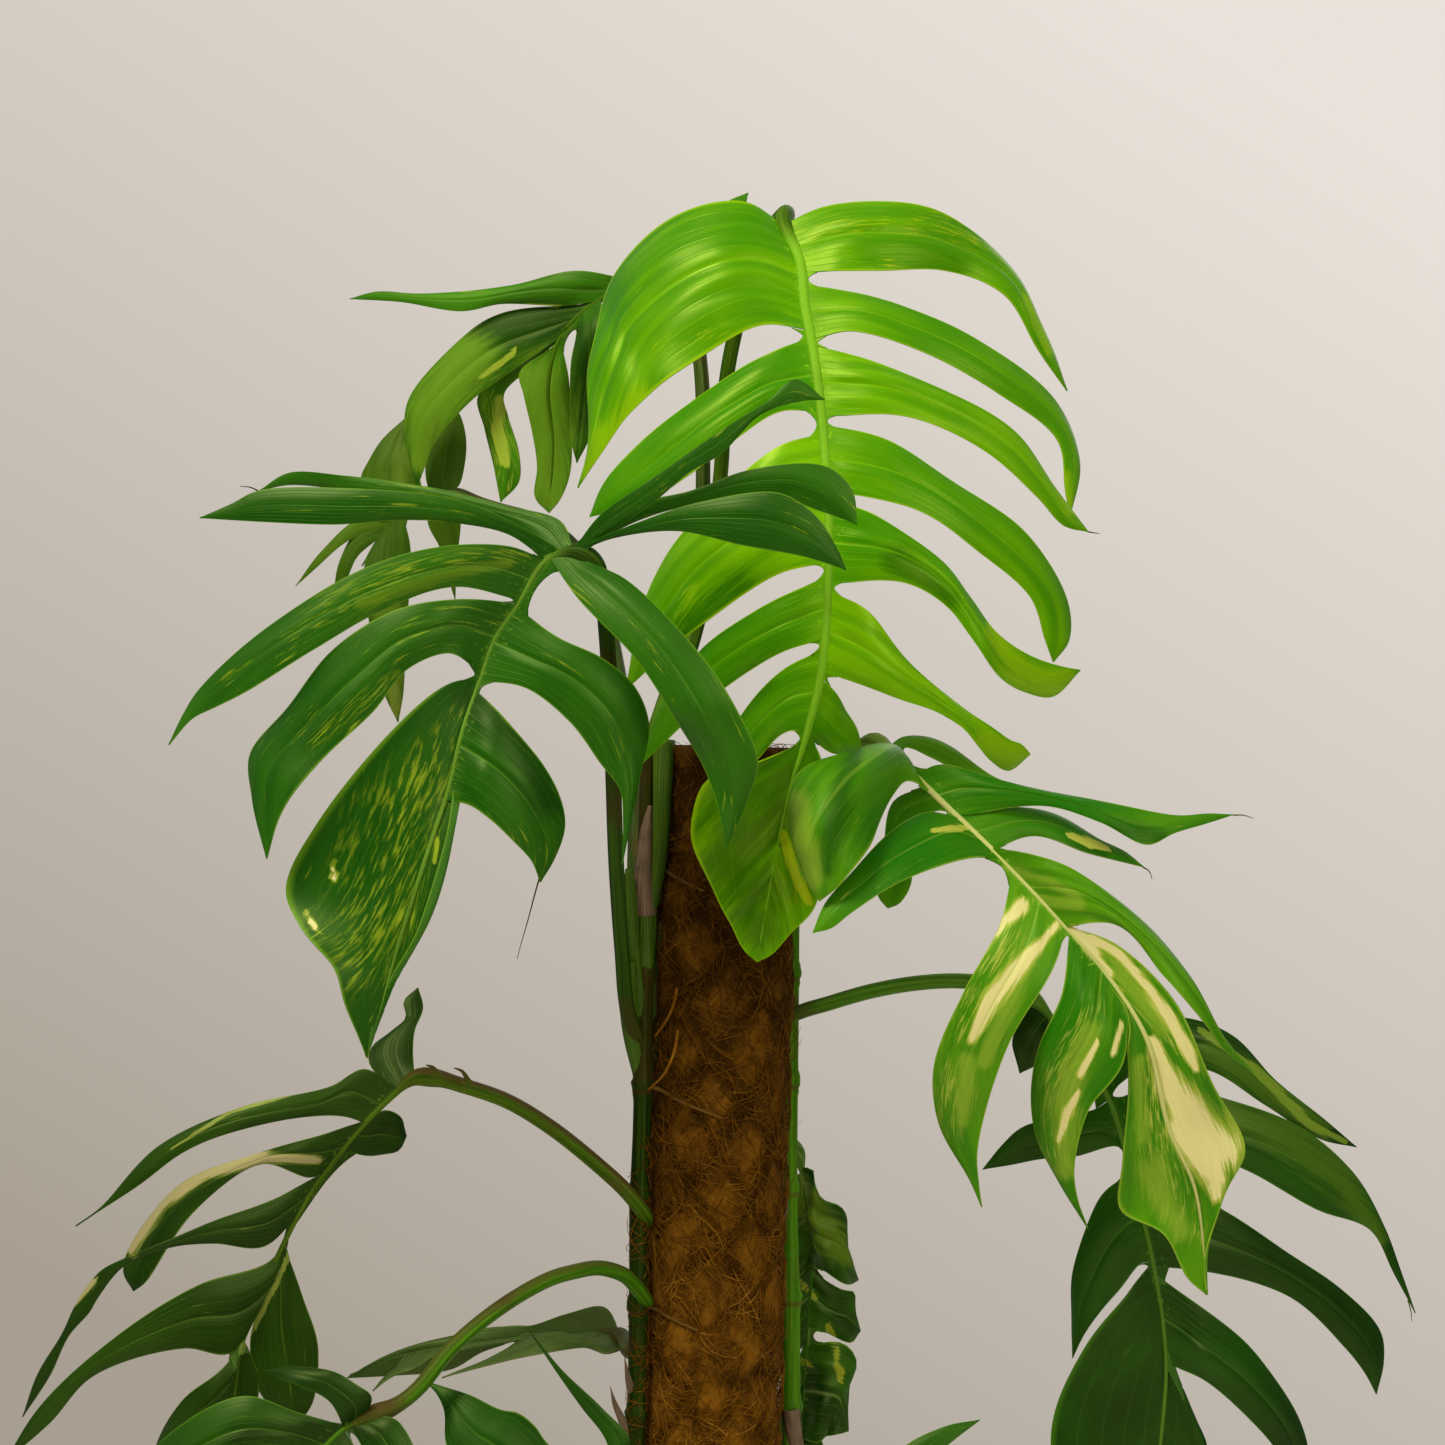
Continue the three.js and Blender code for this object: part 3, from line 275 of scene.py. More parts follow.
# how fast the wall gets lighter to the right and upwards
WALL_RIGHTWARD, WALL_UPWARD = 1.1, 1.9
ROOM_ABOVE, ROOM_BELOW = screen(158, 154, 146), screen(64, 60, 52)

def floor_recipe():
    group, (paint,) = new_recipe("painted_board", ["Paint"])
    where = object_place(group)
    colour = paint.towards(screen(190, 182, 172), where.grain(3.0, 4.0) * 0.12)
    fine = where.grain(180.0)
    return end_recipe(group, colour, fine * 0.2 + 0.65, fine)

def make_floor():
    bm = bmesh.new()
    bmesh.ops.create_circle(bm, cap_ends=True, segments=128, radius=FLOOR_RADIUS)
    skin = bmesh.ops.extrude_face_region(bm, geom=bm.faces[:])
    moved = [part for part in skin["geom"] if isinstance(part, bmesh.types.BMVert)]
    bmesh.ops.translate(bm, verts=moved, vec=(0, 0, -FLOOR_THICKNESS))
    bmesh.ops.recalc_face_normals(bm, faces=bm.faces)
    mesh = bpy.data.meshes.new("floor")
    bm.to_mesh(mesh)
    bm.free()
    made = bpy.data.objects.new("floor", mesh)
    bpy.context.scene.collection.objects.link(made)
    mesh.materials.append(finish("floor_paint", floor_recipe(), {"Paint": screen(226, 220, 212)}, 0.0002))

def make_world():
    """A pale wall to look at, lighter towards the upper right, and a dimmer room that lights the plant."""
    world = bpy.data.worlds.new("pale_room")
    bpy.context.scene.world = world
    world.use_nodes = True
    tree = world.node_tree
    way = add(tree, "TexCoord", {}, "Generated")
    lightness = way.part("X") * WALL_RIGHTWARD + way.part("Z") * WALL_UPWARD + 0.5
    wall = mix(tree, add(tree, "Clamp", {"Value": lightness}, "Result"), WALL_SHADE, WALL_LIGHT)
    room = mix(tree, way.part("Z").ease(-0.6, 0.8), ROOM_BELOW, ROOM_ABOVE)
    camera_ray = add(tree, "LightPath", {}, "Is Camera Ray")
    feed(tree, tree.nodes["Background"], {"Color": room.towards(wall, camera_ray)})


make_world()
make_floor()
print("floor and world are made")

# %% [markdown]
# ## Smooth lines
# A petiole, a midrib and the edge of a leaf are all smooth curves through a few drawn points. The centripetal
# Catmull-Rom curve passes through every point and makes no loops where two points lie close together.

# %% Smooth lines
CURVE_STEPS = 24

def unit(vectors):
    return vectors / np.maximum(np.linalg.norm(vectors, axis=-1, keepdims=True), 1e-12)

def distances(line):
    """How far each point lies from the first one along the line."""
    return np.concatenate([[0], np.cumsum(np.linalg.norm(np.diff(line, axis=0), axis=1))])

def read_line(line, at, wanted):
    """The line at the wanted places, where at says the place of each of its points."""
    return np.stack([np.interp(wanted, at, line[:, k]) for k in range(line.shape[1])], axis=-1)

def smooth_line(points, count):
    """A smooth line through the points, read at count even steps along its length."""
    given = np.asarray(points, float)
    first, last = 2 * given[0] - given[1], 2 * given[-1] - given[-2]
    all_points = np.vstack([first, given, last])
    share = np.linspace(0, 1, CURVE_STEPS, endpoint=False)[:, None]
    pieces = []
    for i in range(1, len(all_points) - 2):
        before, start, end, after = all_points[i - 1:i + 3]
        spans = ((before, start), (start, end), (end, after))
        gaps = [max(np.linalg.norm(b - a), 1e-9) ** 0.5 for a, b in spans]
        leave = (start - before) / gaps[0] - (end - before) / (gaps[0] + gaps[1]) + (end - start) / gaps[1]
        arrive = (end - start) / gaps[1] - (after - start) / (gaps[1] + gaps[2]) + (after - end) / gaps[2]
        leave, arrive = leave * gaps[1], arrive * gaps[1]
        square = (-3 * start + 3 * end - 2 * leave - arrive) * share ** 2
        cube = (2 * start - 2 * end + leave + arrive) * share ** 3
        pieces.append(start + leave * share + square + cube)
    pieces.append(given[-1:])
    line = np.vstack(pieces)
    reach = distances(line)
    return read_line(line, reach, np.linspace(0, reach[-1], count + 1))

def line_length(points):
    return float(np.linalg.norm(np.diff(points, axis=0), axis=1).sum())

def eased(value, low, high):
    t = np.clip((value - low) / (high - low), 0, 1)
    return t * t * (3 - 2 * t)


print("a line through three points:", smooth_line([[0, 0, 0], [1, 1, 0], [2, 0, 0]], 2).round(2).tolist())

# %% [markdown]
# ## The outlines of the leaves
# A dragon tail leaf is cut almost to its midrib into narrow lobes. Each lobe is drawn as two edges that start
# on the midrib and meet at the tip. Its reach says how far the middle and the far end stand behind the
# midrib, and a third number on an edge point moves that point alone, which is how a twisted tip is made.
# These are the outlines of the CAD source, so the fine leaf and the solid have the same form.

# %% Outlines
OUTLINES = {}

def lobe(edge_a, edge_b, tip, reach, on_midrib=False):
    return {"edges": (edge_a, edge_b), "tip": tip, "reach": reach, "on_midrib": on_midrib}

def end_lobe(*drawn):
    """The lobe round the end of the midrib."""
    return lobe(*drawn, on_midrib=True)

def leaf(petiole, midrib, *lobes):
    return {"petiole": petiole, "midrib": midrib, "lobes": lobes}

# %% The bright leaf that faces the camera at the top
OUTLINES["leaf_top"] = leaf(
    [(651, 742, -12), (666, 700, -5), (690, 650, 8), (710, 560, 20), (721, 470, 27), (727, 375, 26),
     (748, 285, 12), (774, 226, -14), (786, 213, -30)],
    [(784, 225, -40), (800, 262, -50), (805, 306, -60), (814, 354, -70), (825, 450, -84), (829, 567, -94),
     (822, 669, -94), (805, 740, -88), (790, 790, -82), (775, 860, -72), (757, 960, -60)],
    lobe([(784, 225), (742, 204), (665, 220), (615, 270), (593, 360), (588, 450)], [(806, 331), (762, 325),
        (693, 363), (628, 415), (600, 455)], (578, 488), (6, 40)),
    lobe([(810, 338), (775, 353), (693, 398), (620, 465), (601, 490)], [(820, 412), (781, 411), (735, 440),
        (690, 475), (640, 505)], (590, 517), (10, 40)),
    lobe([(824, 433), (785, 445), (745, 475), (680, 532), (654, 578), (640, 620)], [(829, 562), (777, 575),
        (705, 623), (665, 655)], (626, 690), (8, 36)),
    lobe([(829, 575), (755, 612), (699, 651), (662, 700)], [(825, 639), (781, 653), (724, 689), (680, 728)],
        (642, 764), (6, 30)),
    lobe([(824, 649), (790, 666), (740, 716), (722, 750)], [(806, 735), (790, 730), (757, 760), (738, 782)],
        (722, 796), (4, 12)),
    end_lobe([(804, 742), (755, 764), (705, 782), (692, 825), (704, 872), (729, 921), (744, 950)],
        [(808, 732), (823, 765), (826, 840), (818, 898), (795, 927), (772, 954)], (757, 962), (2, 10)),
    lobe([(784, 225), (825, 205), (881, 201), (944, 216), (1016, 273), (1046, 332)], [(802, 273),
        (881, 271), (946, 271), (1003, 293), (1037, 349)], (1067, 391), (4, 45)),
    lobe([(803, 285), (864, 293), (916, 311), (977, 341), (1057, 403), (1080, 462)], [(812, 340),
        (851, 332), (920, 351), (1001, 395), (1057, 440), (1065, 490)], (1070, 516), (4, 40)),
    lobe([(813, 345), (873, 360), (951, 394), (1018, 436), (1057, 490)], [(821, 416), (907, 417),
        (985, 451), (1037, 497), (1064, 526)], (1088, 532), (4, 40)),
    lobe([(822, 425), (888, 440), (955, 482), (1025, 535), (1067, 600), (1069, 640)], [(826, 490),
        (919, 511), (980, 553), (1031, 598), (1045, 640)], (1053, 662), (4, 36)),
    lobe([(827, 500), (878, 517), (943, 561), (970, 598), (990, 628), (1010, 645), (1035, 658),
        (1060, 666)], [(829, 583), (906, 583), (949, 608), (972, 638, -3), (988, 662, -4), (1003, 680),
        (1025, 693, 4), (1052, 697, 4)], (1080, 670), (2, 30)),
    lobe([(829, 590), (868, 612), (909, 661), (941, 691), (968, 713), (992, 728), (1010, 740), (1021, 744)],
        [(823, 672), (894, 697), (939, 712), (962, 727, -3), (978, 746, -3), (992, 762), (1008, 771, 3)],
        (1030, 754), (2, 26)),
    lobe([(823, 678), (847, 710), (858, 735)], [(808, 735), (826, 750), (845, 753)], (862, 750), (8, 20)),
)

# %% The dark marbled leaf at the left
OUTLINES["leaf_left"] = leaf(
    [(634, 1052, -17), (628, 1012, -24), (622, 950, -36), (616, 860, -62), (612, 740, -88),
     (607, 640, -104), (603, 600, -112), (596, 566, -119)],
    [(578, 552, -120), (546, 560, -116), (518, 604, -112), (495, 638, -110), (479, 681, -110),
     (463, 729, -112), (449, 788, -114), (433, 836, -116), (400, 940, -116), (367, 1056, -108)],
    lobe([(574, 553), (562, 523), (508, 507), (444, 490), (347, 476), (289, 473)], [(560, 557), (508, 522),
        (444, 505), (347, 490), (289, 485)], (259, 491), (22, 28)),
    lobe([(566, 555), (508, 520), (455, 500), (347, 488), (259, 491), (232, 504)], [(546, 560), (508, 534),
        (455, 523), (401, 520), (334, 524), (267, 522)], (200, 518), (-2, 10)),
    lobe([(546, 560), (508, 546), (441, 547), (361, 571), (262, 630), (200, 689), (184, 714)], [(520, 600),
        (455, 586), (382, 611), (315, 649), (246, 692), (214, 708), (192, 719)], (169, 745), (-10, 15)),
    lobe([(518, 603), (455, 599), (396, 611), (334, 652), (289, 705), (248, 753), (252, 799)], [(481, 674),
        (449, 653), (409, 668), (374, 711), (321, 761), (281, 815)], (267, 859), (-10, 12)),
    end_lobe([(479, 678), (449, 684), (388, 735), (318, 823), (286, 890), (300, 926), (334, 967),
        (345, 1005), (358, 1036)], [(478, 690), (466, 735), (455, 785), (446, 835), (417, 930), (385, 990),
        (371, 1030)], (367, 1058), (-6, 14)),
    lobe([(572, 552), (590, 562), (625, 578), (681, 632), (729, 697), (758, 760), (749, 797)], [(550, 559),
        (577, 597), (634, 656), (675, 721), (707, 773), (722, 825)], (726, 847), (-22, -18)),
    lobe([(516, 607), (556, 636), (603, 658), (634, 686), (647, 725), (640, 772), (631, 820)], [(480, 680),
        (530, 689), (570, 721), (599, 762), (620, 790), (623, 822)], (622, 864), (-8, 0)),
    lobe([(476, 690), (500, 713), (543, 764), (563, 820), (556, 855)], [(446, 800), (476, 808), (514, 842),
        (532, 862)], (540, 882), (-4, 10)),
    lobe([(570, 552), (600, 515), (650, 480), (722, 430), (770, 400), (795, 379)], [(580, 552), (650, 505),
        (690, 472), (722, 453), (760, 415), (803, 401)], (825, 400), (-22, -26)),
    lobe([(566, 553), (614, 510), (690, 491), (750, 470), (826, 467), (852, 490)], [(580, 552), (640, 520),
        (713, 500), (777, 495), (811, 508), (846, 520)], (857, 525), (-14, -20)),
    lobe([(560, 556), (640, 522), (700, 502), (777, 493), (814, 515), (837, 549)], [(580, 552), (614, 538),
        (679, 531), (744, 545), (809, 558), (838, 567)], (846, 570), (-28, -32)),
)

# %% The leaf with cream patches at the right
OUTLINES["leaf_right"] = leaf(
    [(790, 848, 21), (812, 812, 8), (826, 790, -8), (842, 766, -24), (858, 749, -40), (872, 742, -50)],
    [(884, 747, -58), (912, 773, -70), (970, 829, -84), (1019, 877, -92), (1068, 930, -98),
     (1114, 985, -100), (1147, 1040, -100), (1169, 1129, -94), (1195, 1189, -88), (1207, 1290, -76)],
    lobe([(908, 769), (884, 750), (850, 755), (798, 776), (786, 819), (807, 881)], [(932, 792), (905, 782),
        (893, 795), (869, 847), (841, 884)], (820, 901), (-42, -44)),
    lobe([(960, 820), (933, 810), (893, 832), (853, 871), (826, 902)], [(1000, 858), (964, 860), (902, 881),
        (850, 914), (832, 928)], (813, 933), (-32, -40)),
    lobe([(925, 786), (893, 802), (885, 850), (878, 895)], [(945, 805), (905, 830), (912, 880), (900, 903)],
        (888, 908), (14, 20)),
    lobe([(1012, 871), (1000, 923), (964, 991), (936, 1067), (939, 1125), (970, 1180)], [(1066, 928),
        (1055, 963), (1008, 1046), (978, 1147), (979, 1185)], (982, 1207), (-4, 22)),
    lobe([(1070, 932), (1062, 991), (1037, 1052), (1036, 1128), (1058, 1180)], [(1128, 1007), (1122, 1062),
        (1088, 1112), (1074, 1168), (1078, 1200)], (1088, 1228), (-4, 18)),
    end_lobe([(1068, 934), (1102, 976), (1128, 1012), (1131, 1060), (1122, 1161), (1121, 1208),
        (1164, 1235), (1188, 1279)], [(1064, 925), (1117, 945), (1175, 1001), (1213, 1084), (1246, 1150),
        (1223, 1199), (1204, 1262)], (1207, 1295), (-2, 12)),
    lobe([(886, 749), (902, 738), (927, 737), (951, 746), (991, 776), (1030, 792)], [(892, 755), (905, 747),
        (930, 757), (960, 773), (1000, 793)], (1045, 802), (14, 18)),
    lobe([(915, 776), (939, 766), (994, 779), (1086, 798), (1175, 816), (1208, 814)], [(957, 816),
        (1046, 806), (1101, 822), (1147, 845), (1175, 833), (1205, 824)], (1233, 815), (4, 25)),
    lobe([(955, 814), (1046, 810), (1101, 841), (1126, 853)], [(992, 850), (1034, 836), (1086, 853),
        (1118, 861)], (1143, 867), (8, 24)),
    lobe([(990, 848), (1034, 855), (1086, 881), (1147, 923), (1190, 975), (1221, 1034)], [(1064, 926),
        (1117, 926), (1163, 975), (1205, 1024), (1226, 1052)], (1253, 1073), (-6, 14)),
)

# %% The dark leaf below it
OUTLINES["leaf_right_lower"] = leaf(
    [(783, 1024, 23), (797, 1014, 16), (830, 1003, 8), (872, 991, 0), (918, 983, -8), (961, 981, -14),
     (1002, 986, -18)],
    [(1035, 1000, -20), (1060, 1030, -22), (1105, 1091, -22), (1135, 1190, -18), (1154, 1268, -14),
     (1166, 1362, -8), (1160, 1450, -2), (1150, 1552, 8)],
    lobe([(1035, 1000), (1024, 1015), (1013, 1042)], [(1060, 1030), (1050, 1045), (1040, 1062)],
        (1020, 1073), (6, 10)),
    lobe([(1108, 1100), (1095, 1109), (1025, 1126), (1004, 1143)], [(1129, 1168), (1119, 1146),
        (1074, 1156), (1039, 1160)], (983, 1169), (6, 20)),
    lobe([(1130, 1172), (1098, 1199), (1075, 1268), (1072, 1320)], [(1153, 1264), (1143, 1263),
        (1102, 1310), (1084, 1335)], (1073, 1358), (4, 16)),
    end_lobe([(1154, 1270), (1145, 1272), (1122, 1300), (1088, 1343), (1057, 1404), (1051, 1445),
        (1064, 1500)], [(1166, 1366), (1176, 1386), (1191, 1416), (1203, 1445), (1204, 1490), (1186, 1530)],
        (1146, 1560), (2, 10)),
    lobe([(1072, 1047), (1130, 1020), (1190, 1018), (1234, 1036), (1275, 1081), (1327, 1122)],
        [(1106, 1094), (1150, 1067), (1209, 1070), (1265, 1105), (1320, 1139)], (1356, 1147), (2, 22)),
    lobe([(1110, 1102), (1160, 1085), (1223, 1098), (1300, 1126), (1352, 1171), (1384, 1228), (1400, 1270)],
        [(1128, 1160), (1180, 1150), (1248, 1171), (1317, 1209), (1370, 1230), (1394, 1274)], (1415, 1313),
        (2, 22)),
    lobe([(1133, 1185), (1180, 1190), (1227, 1213), (1286, 1251), (1341, 1289), (1379, 1331), (1383, 1362)],
        [(1154, 1266), (1202, 1272), (1289, 1296), (1345, 1348), (1364, 1372)], (1376, 1394), (2, 20)),
    lobe([(1155, 1274), (1195, 1303), (1254, 1352), (1296, 1411), (1308, 1455)], [(1165, 1362),
        (1199, 1378), (1241, 1411), (1274, 1447), (1288, 1478)], (1303, 1505), (2, 18)),
)

# %% The leaf at the lower left, seen from the side
OUTLINES["leaf_left_side"] = leaf(
    [(648, 1226, -20), (630, 1190, -23), (599, 1166, -24), (553, 1129, -26), (507, 1101, -28),
     (461, 1085, -31), (436, 1078, -32)],
    [(415, 1078, -33), (392, 1096, -34), (364, 1124, -36), (337, 1156, -38), (313, 1189, -40),
     (281, 1249, -42), (263, 1290, -42), (244, 1336, -40), (228, 1464, -34)],
    lobe([(394, 1094), (370, 1062), (373, 1046), (392, 1030), (406, 1018), (404, 1002)], [(415, 1078),
        (413, 1052), (415, 1030), (423, 1008)], (418, 988), (14, 24)),
    lobe([(400, 1090), (364, 1069), (332, 1087), (240, 1108), (157, 1147), (101, 1208)], [(366, 1122),
        (332, 1115), (230, 1133), (184, 1152), (138, 1186)], (76, 1226), (-8, 10)),
    lobe([(368, 1120), (341, 1129), (258, 1154), (180, 1184), (134, 1239), (124, 1272)], [(325, 1172),
        (309, 1177), (262, 1164), (194, 1212), (145, 1283)], (134, 1291), (-12, 4)),
    lobe([(325, 1173), (277, 1198), (214, 1221), (170, 1240), (124, 1259), (101, 1271), (78, 1300),
        (62, 1334), (38, 1374)], [(298, 1216), (262, 1246), (214, 1243), (168, 1248), (124, 1266),
        (98, 1298), (90, 1312), (69, 1336), (50, 1376)], (23, 1417), (-14, 4)),
    lobe([(296, 1220), (272, 1260), (198, 1285), (106, 1345), (41, 1405)], [(262, 1292), (230, 1350),
        (184, 1348), (92, 1377), (51, 1422)], (5, 1462), (-14, 4)),
    lobe([(262, 1294), (228, 1362), (184, 1400), (158, 1440)], [(234, 1368), (222, 1402), (192, 1442)],
        (150, 1480), (-10, 6)),
    lobe([(366, 1122), (387, 1110), (401, 1119)], [(342, 1150), (366, 1154), (397, 1152)], (406, 1136),
        (10, 14)),
    lobe([(274, 1264), (258, 1310), (250, 1341), (258, 1386)], [(285, 1243), (303, 1300), (318, 1350),
        (314, 1400)], (290, 1432), (8, 12)),
    end_lobe([(240, 1350), (222, 1385), (214, 1415), (218, 1442)], [(244, 1340), (258, 1375), (254, 1412),
        (240, 1445)], (228, 1470), (0, 4)),
)

# %% The leaf at the bottom left, in front
OUTLINES["leaf_left_front"] = leaf(
    [(645, 1304, -21), (638, 1286, -26), (622, 1274, -32), (600, 1268, -38), (574, 1272, -46),
     (548, 1280, -52), (500, 1308, -63), (453, 1347, -72), (416, 1391, -78), (392, 1408, -81)],
    [(366, 1417, -83), (345, 1428, -85), (316, 1456, -88), (290, 1495, -92), (262, 1545, -94),
     (242, 1605, -94), (226, 1724, -84)],
    lobe([(372, 1416), (374, 1398), (355, 1384), (334, 1372), (306, 1367), (285, 1367)], [(345, 1428),
        (330, 1402), (300, 1386), (282, 1379)], (266, 1371), (-6, 6)),
    lobe([(347, 1427), (297, 1412), (245, 1397), (184, 1424), (150, 1452)], [(308, 1466), (270, 1452),
        (220, 1472), (160, 1506)], (112, 1522), (-6, 8)),
    lobe([(306, 1470), (250, 1478), (184, 1530), (140, 1582)], [(283, 1508), (240, 1530), (190, 1584),
        (150, 1620)], (118, 1634), (-6, 8)),
    lobe([(281, 1510), (240, 1546), (198, 1612), (180, 1656)], [(256, 1562), (240, 1592), (215, 1642),
        (198, 1680)], (184, 1702), (-4, 8)),
    lobe([(372, 1412), (392, 1415), (404, 1428), (414, 1447), (424, 1480)], [(350, 1426), (362, 1446),
        (384, 1480), (404, 1512)], (430, 1540), (-6, -2)),
    lobe([(345, 1430), (366, 1462), (410, 1500), (440, 1540)], [(322, 1450), (350, 1490), (396, 1530),
        (430, 1560)], (462, 1580), (-10, -14)),
    lobe([(300, 1480), (344, 1500), (380, 1556), (388, 1610)], [(276, 1520), (310, 1552), (345, 1602),
        (366, 1640)], (378, 1662), (-4, 8)),
    end_lobe([(256, 1564), (232, 1596), (212, 1645), (208, 1690)], [(273, 1528), (290, 1580), (276, 1650),
        (248, 1700)], (226, 1726), (0, 4)),
)

# %% The leaf behind the top one
OUTLINES["leaf_back"] = leaf(
    [(644, 866, -13), (640, 854, -3), (645, 800, 7), (651, 745, 13), (668, 690, 18), (690, 620, 26),
     (701, 540, 33), (703, 440, 42), (701, 370, 50), (690, 308, 62), (672, 283, 68)],
    [(650, 277, 70), (600, 300, 74), (562, 335, 78), (548, 385, 80), (553, 445, 84), (549, 510, 86)],
    lobe([(640, 281), (575, 272), (513, 285), (422, 294), (377, 292)], [(598, 301), (560, 306), (501, 304),
        (462, 311), (401, 302)], (350, 299), (5, 25)),
    lobe([(596, 303), (501, 315), (462, 338), (409, 397), (406, 440)], [(560, 338), (518, 367), (471, 401),
        (434, 444), (424, 470)], (417, 488), (10, 22)),
    lobe([(575, 325), (520, 366), (478, 396), (484, 430), (494, 466)], [(562, 336), (530, 368), (504, 394),
        (508, 416), (519, 452), (519, 482)], (501, 502), (18, 26)),
    end_lobe([(556, 346), (520, 372), (524, 394), (533, 436), (537, 467), (535, 498)], [(560, 338),
        (568, 375), (572, 434), (570, 474), (560, 500)], (549, 513), (0, 4)),
    lobe([(580, 317), (571, 364), (570, 410), (571, 440)], [(601, 300), (606, 350), (595, 400), (590, 436)],
        (577, 463), (-8, -2)),
    lobe([(650, 277), (690, 235), (725, 203)], [(662, 279), (705, 250), (742, 215)], (748, 193), (8, 14)),
)

# %% The dull leaf furthest back
OUTLINES["leaf_far"] = leaf(
    [(643, 897, -13), (636, 884, -2), (635, 830, 16), (632, 760, 36), (620, 680, 62), (603, 606, 88),
     (575, 548, 100), (540, 522, 106), (500, 510, 110), (470, 501, 113)],
    [(452, 495, 114), (430, 497, 116), (404, 510, 118), (382, 534, 120), (362, 566, 120)],
    lobe([(388, 528), (362, 500), (360, 476), (370, 459), (385, 438)], [(426, 500), (418, 470), (416, 444)],
        (408, 416), (2, 6)),
    lobe([(430, 498), (426, 460), (438, 430)], [(450, 496), (460, 484), (465, 462), (466, 440), (462, 420)],
        (454, 404), (2, 6)),
    lobe([(398, 516), (356, 521), (322, 551)], [(389, 526), (348, 541), (314, 570)], (296, 586), (2, 8)),
    lobe([(390, 524), (356, 534), (340, 560)], [(380, 538), (358, 556), (346, 580)], (334, 594), (2, 8)),
    lobe([(380, 536), (366, 560), (368, 610), (376, 660), (385, 695)], [(402, 512), (410, 545), (409, 600),
        (405, 650), (403, 694)], (398, 722), (0, 10)),
    lobe([(428, 498), (428, 522), (440, 546)], [(449, 496), (460, 518), (458, 552)], (455, 600), (4, 12)),
)

# %% The leaf behind at the bottom left
OUTLINES["leaf_left_back"] = leaf(
    [(634, 1356, -16), (628, 1350, -6), (626, 1345, 4), (624, 1340, 14)],
    [(616, 1335, 24), (592, 1331, 30), (529, 1338, 44), (460, 1346, 52), (400, 1356, 56), (350, 1375, 58)],
    end_lobe([(620, 1334), (606, 1308), (568, 1314), (529, 1326), (492, 1327), (457, 1334), (422, 1343),
        (383, 1358)], [(612, 1336), (585, 1338), (554, 1338), (527, 1333), (505, 1344), (481, 1352),
        (457, 1366), (438, 1371), (400, 1375)], (347, 1378), (2, 8)),
    lobe([(575, 1332), (552, 1336), (528, 1338), (505, 1349), (478, 1363)], [(618, 1335), (625, 1348),
        (607, 1354), (585, 1348), (535, 1355), (479, 1368)], (442, 1378), (-14, -26)),
    lobe([(440, 1349), (420, 1366), (392, 1377)], [(409, 1354), (396, 1366), (384, 1378)], (373, 1391),
        (-8, -16)),
    lobe([(520, 1340), (500, 1334), (460, 1342)], [(592, 1331), (560, 1326), (500, 1330), (462, 1336)],
        (416, 1350), (14, 44)),
)

# %% The leaf whose narrow lobe stands beside the stem
OUTLINES["leaf_left_low"] = leaf(
    [(631, 1572, -20), (633, 1520, -32), (634, 1478, -44), (630, 1458, -51)],
    [(620, 1452, -56), (598, 1480, -66), (570, 1530, -74), (548, 1600, -76), (540, 1742, -66)],
    lobe([(612, 1460), (604, 1436), (582, 1408), (546, 1356)], [(626, 1454), (634, 1444), (602, 1408),
        (560, 1368)], (529, 1330), (0, 4)),
    lobe([(606, 1470), (580, 1462), (549, 1445), (535, 1425), (518, 1412), (500, 1409), (470, 1396)],
        [(580, 1510), (520, 1506), (470, 1480), (447, 1445), (444, 1410), (437, 1394)], (425, 1381),
        (-4, 8)),
    lobe([(578, 1514), (520, 1540), (470, 1602)], [(554, 1580), (520, 1592), (480, 1642)], (450, 1672),
        (-4, 8)),
    lobe([(598, 1480), (644, 1512), (664, 1580), (658, 1620)], [(572, 1526), (604, 1566), (632, 1622)],
        (646, 1660), (-6, -2)),
    lobe([(568, 1534), (600, 1580), (612, 1640)], [(550, 1592), (570, 1630), (592, 1680)], (604, 1716),
        (-4, 4)),
    end_lobe([(548, 1596), (520, 1646), (514, 1700)], [(553, 1582), (572, 1650), (566, 1708)], (539, 1746),
        (0, 4)),
)

# %% The crumpled leaf behind the pole
OUTLINES["leaf_back_right"] = leaf(
    [(783, 1138, 24), (788, 1142, 31), (792, 1147, 38)],
    [(799, 1158, 44), (806, 1200, 50), (812, 1260, 56), (808, 1330, 60), (803, 1420, 60), (800, 1556, 52)],
    lobe([(801, 1168), (811, 1170), (820, 1197), (839, 1207), (847, 1222), (849, 1245), (853, 1265)],
        [(812, 1260), (826, 1274), (840, 1281), (850, 1284)], (858, 1280), (-6, 4)),
    lobe([(812, 1268), (828, 1282), (842, 1290), (853, 1292), (856, 1312)], [(808, 1326), (822, 1331),
        (836, 1338), (850, 1342)], (860, 1331), (2, 8)),
    lobe([(808, 1346), (824, 1342), (842, 1343), (853, 1354), (849, 1389), (848, 1410)], [(803, 1436),
        (814, 1442), (828, 1437), (838, 1434)], (848, 1431), (-4, 2)),
    lobe([(800, 1172), (770, 1200), (730, 1262)], [(812, 1264), (790, 1286), (756, 1320)], (715, 1334),
        (12, 22)),
    lobe([(811, 1252), (785, 1278), (750, 1345)], [(807, 1340), (790, 1362), (766, 1402)], (738, 1424),
        (14, 24)),
    lobe([(807, 1340), (790, 1380), (770, 1440)], [(803, 1415), (796, 1440), (788, 1482)], (772, 1504),
        (6, 16)),
    end_lobe([(804, 1422), (792, 1462), (790, 1512)], [(804, 1400), (824, 1450), (820, 1508)], (800, 1558),
        (0, 4)),
)

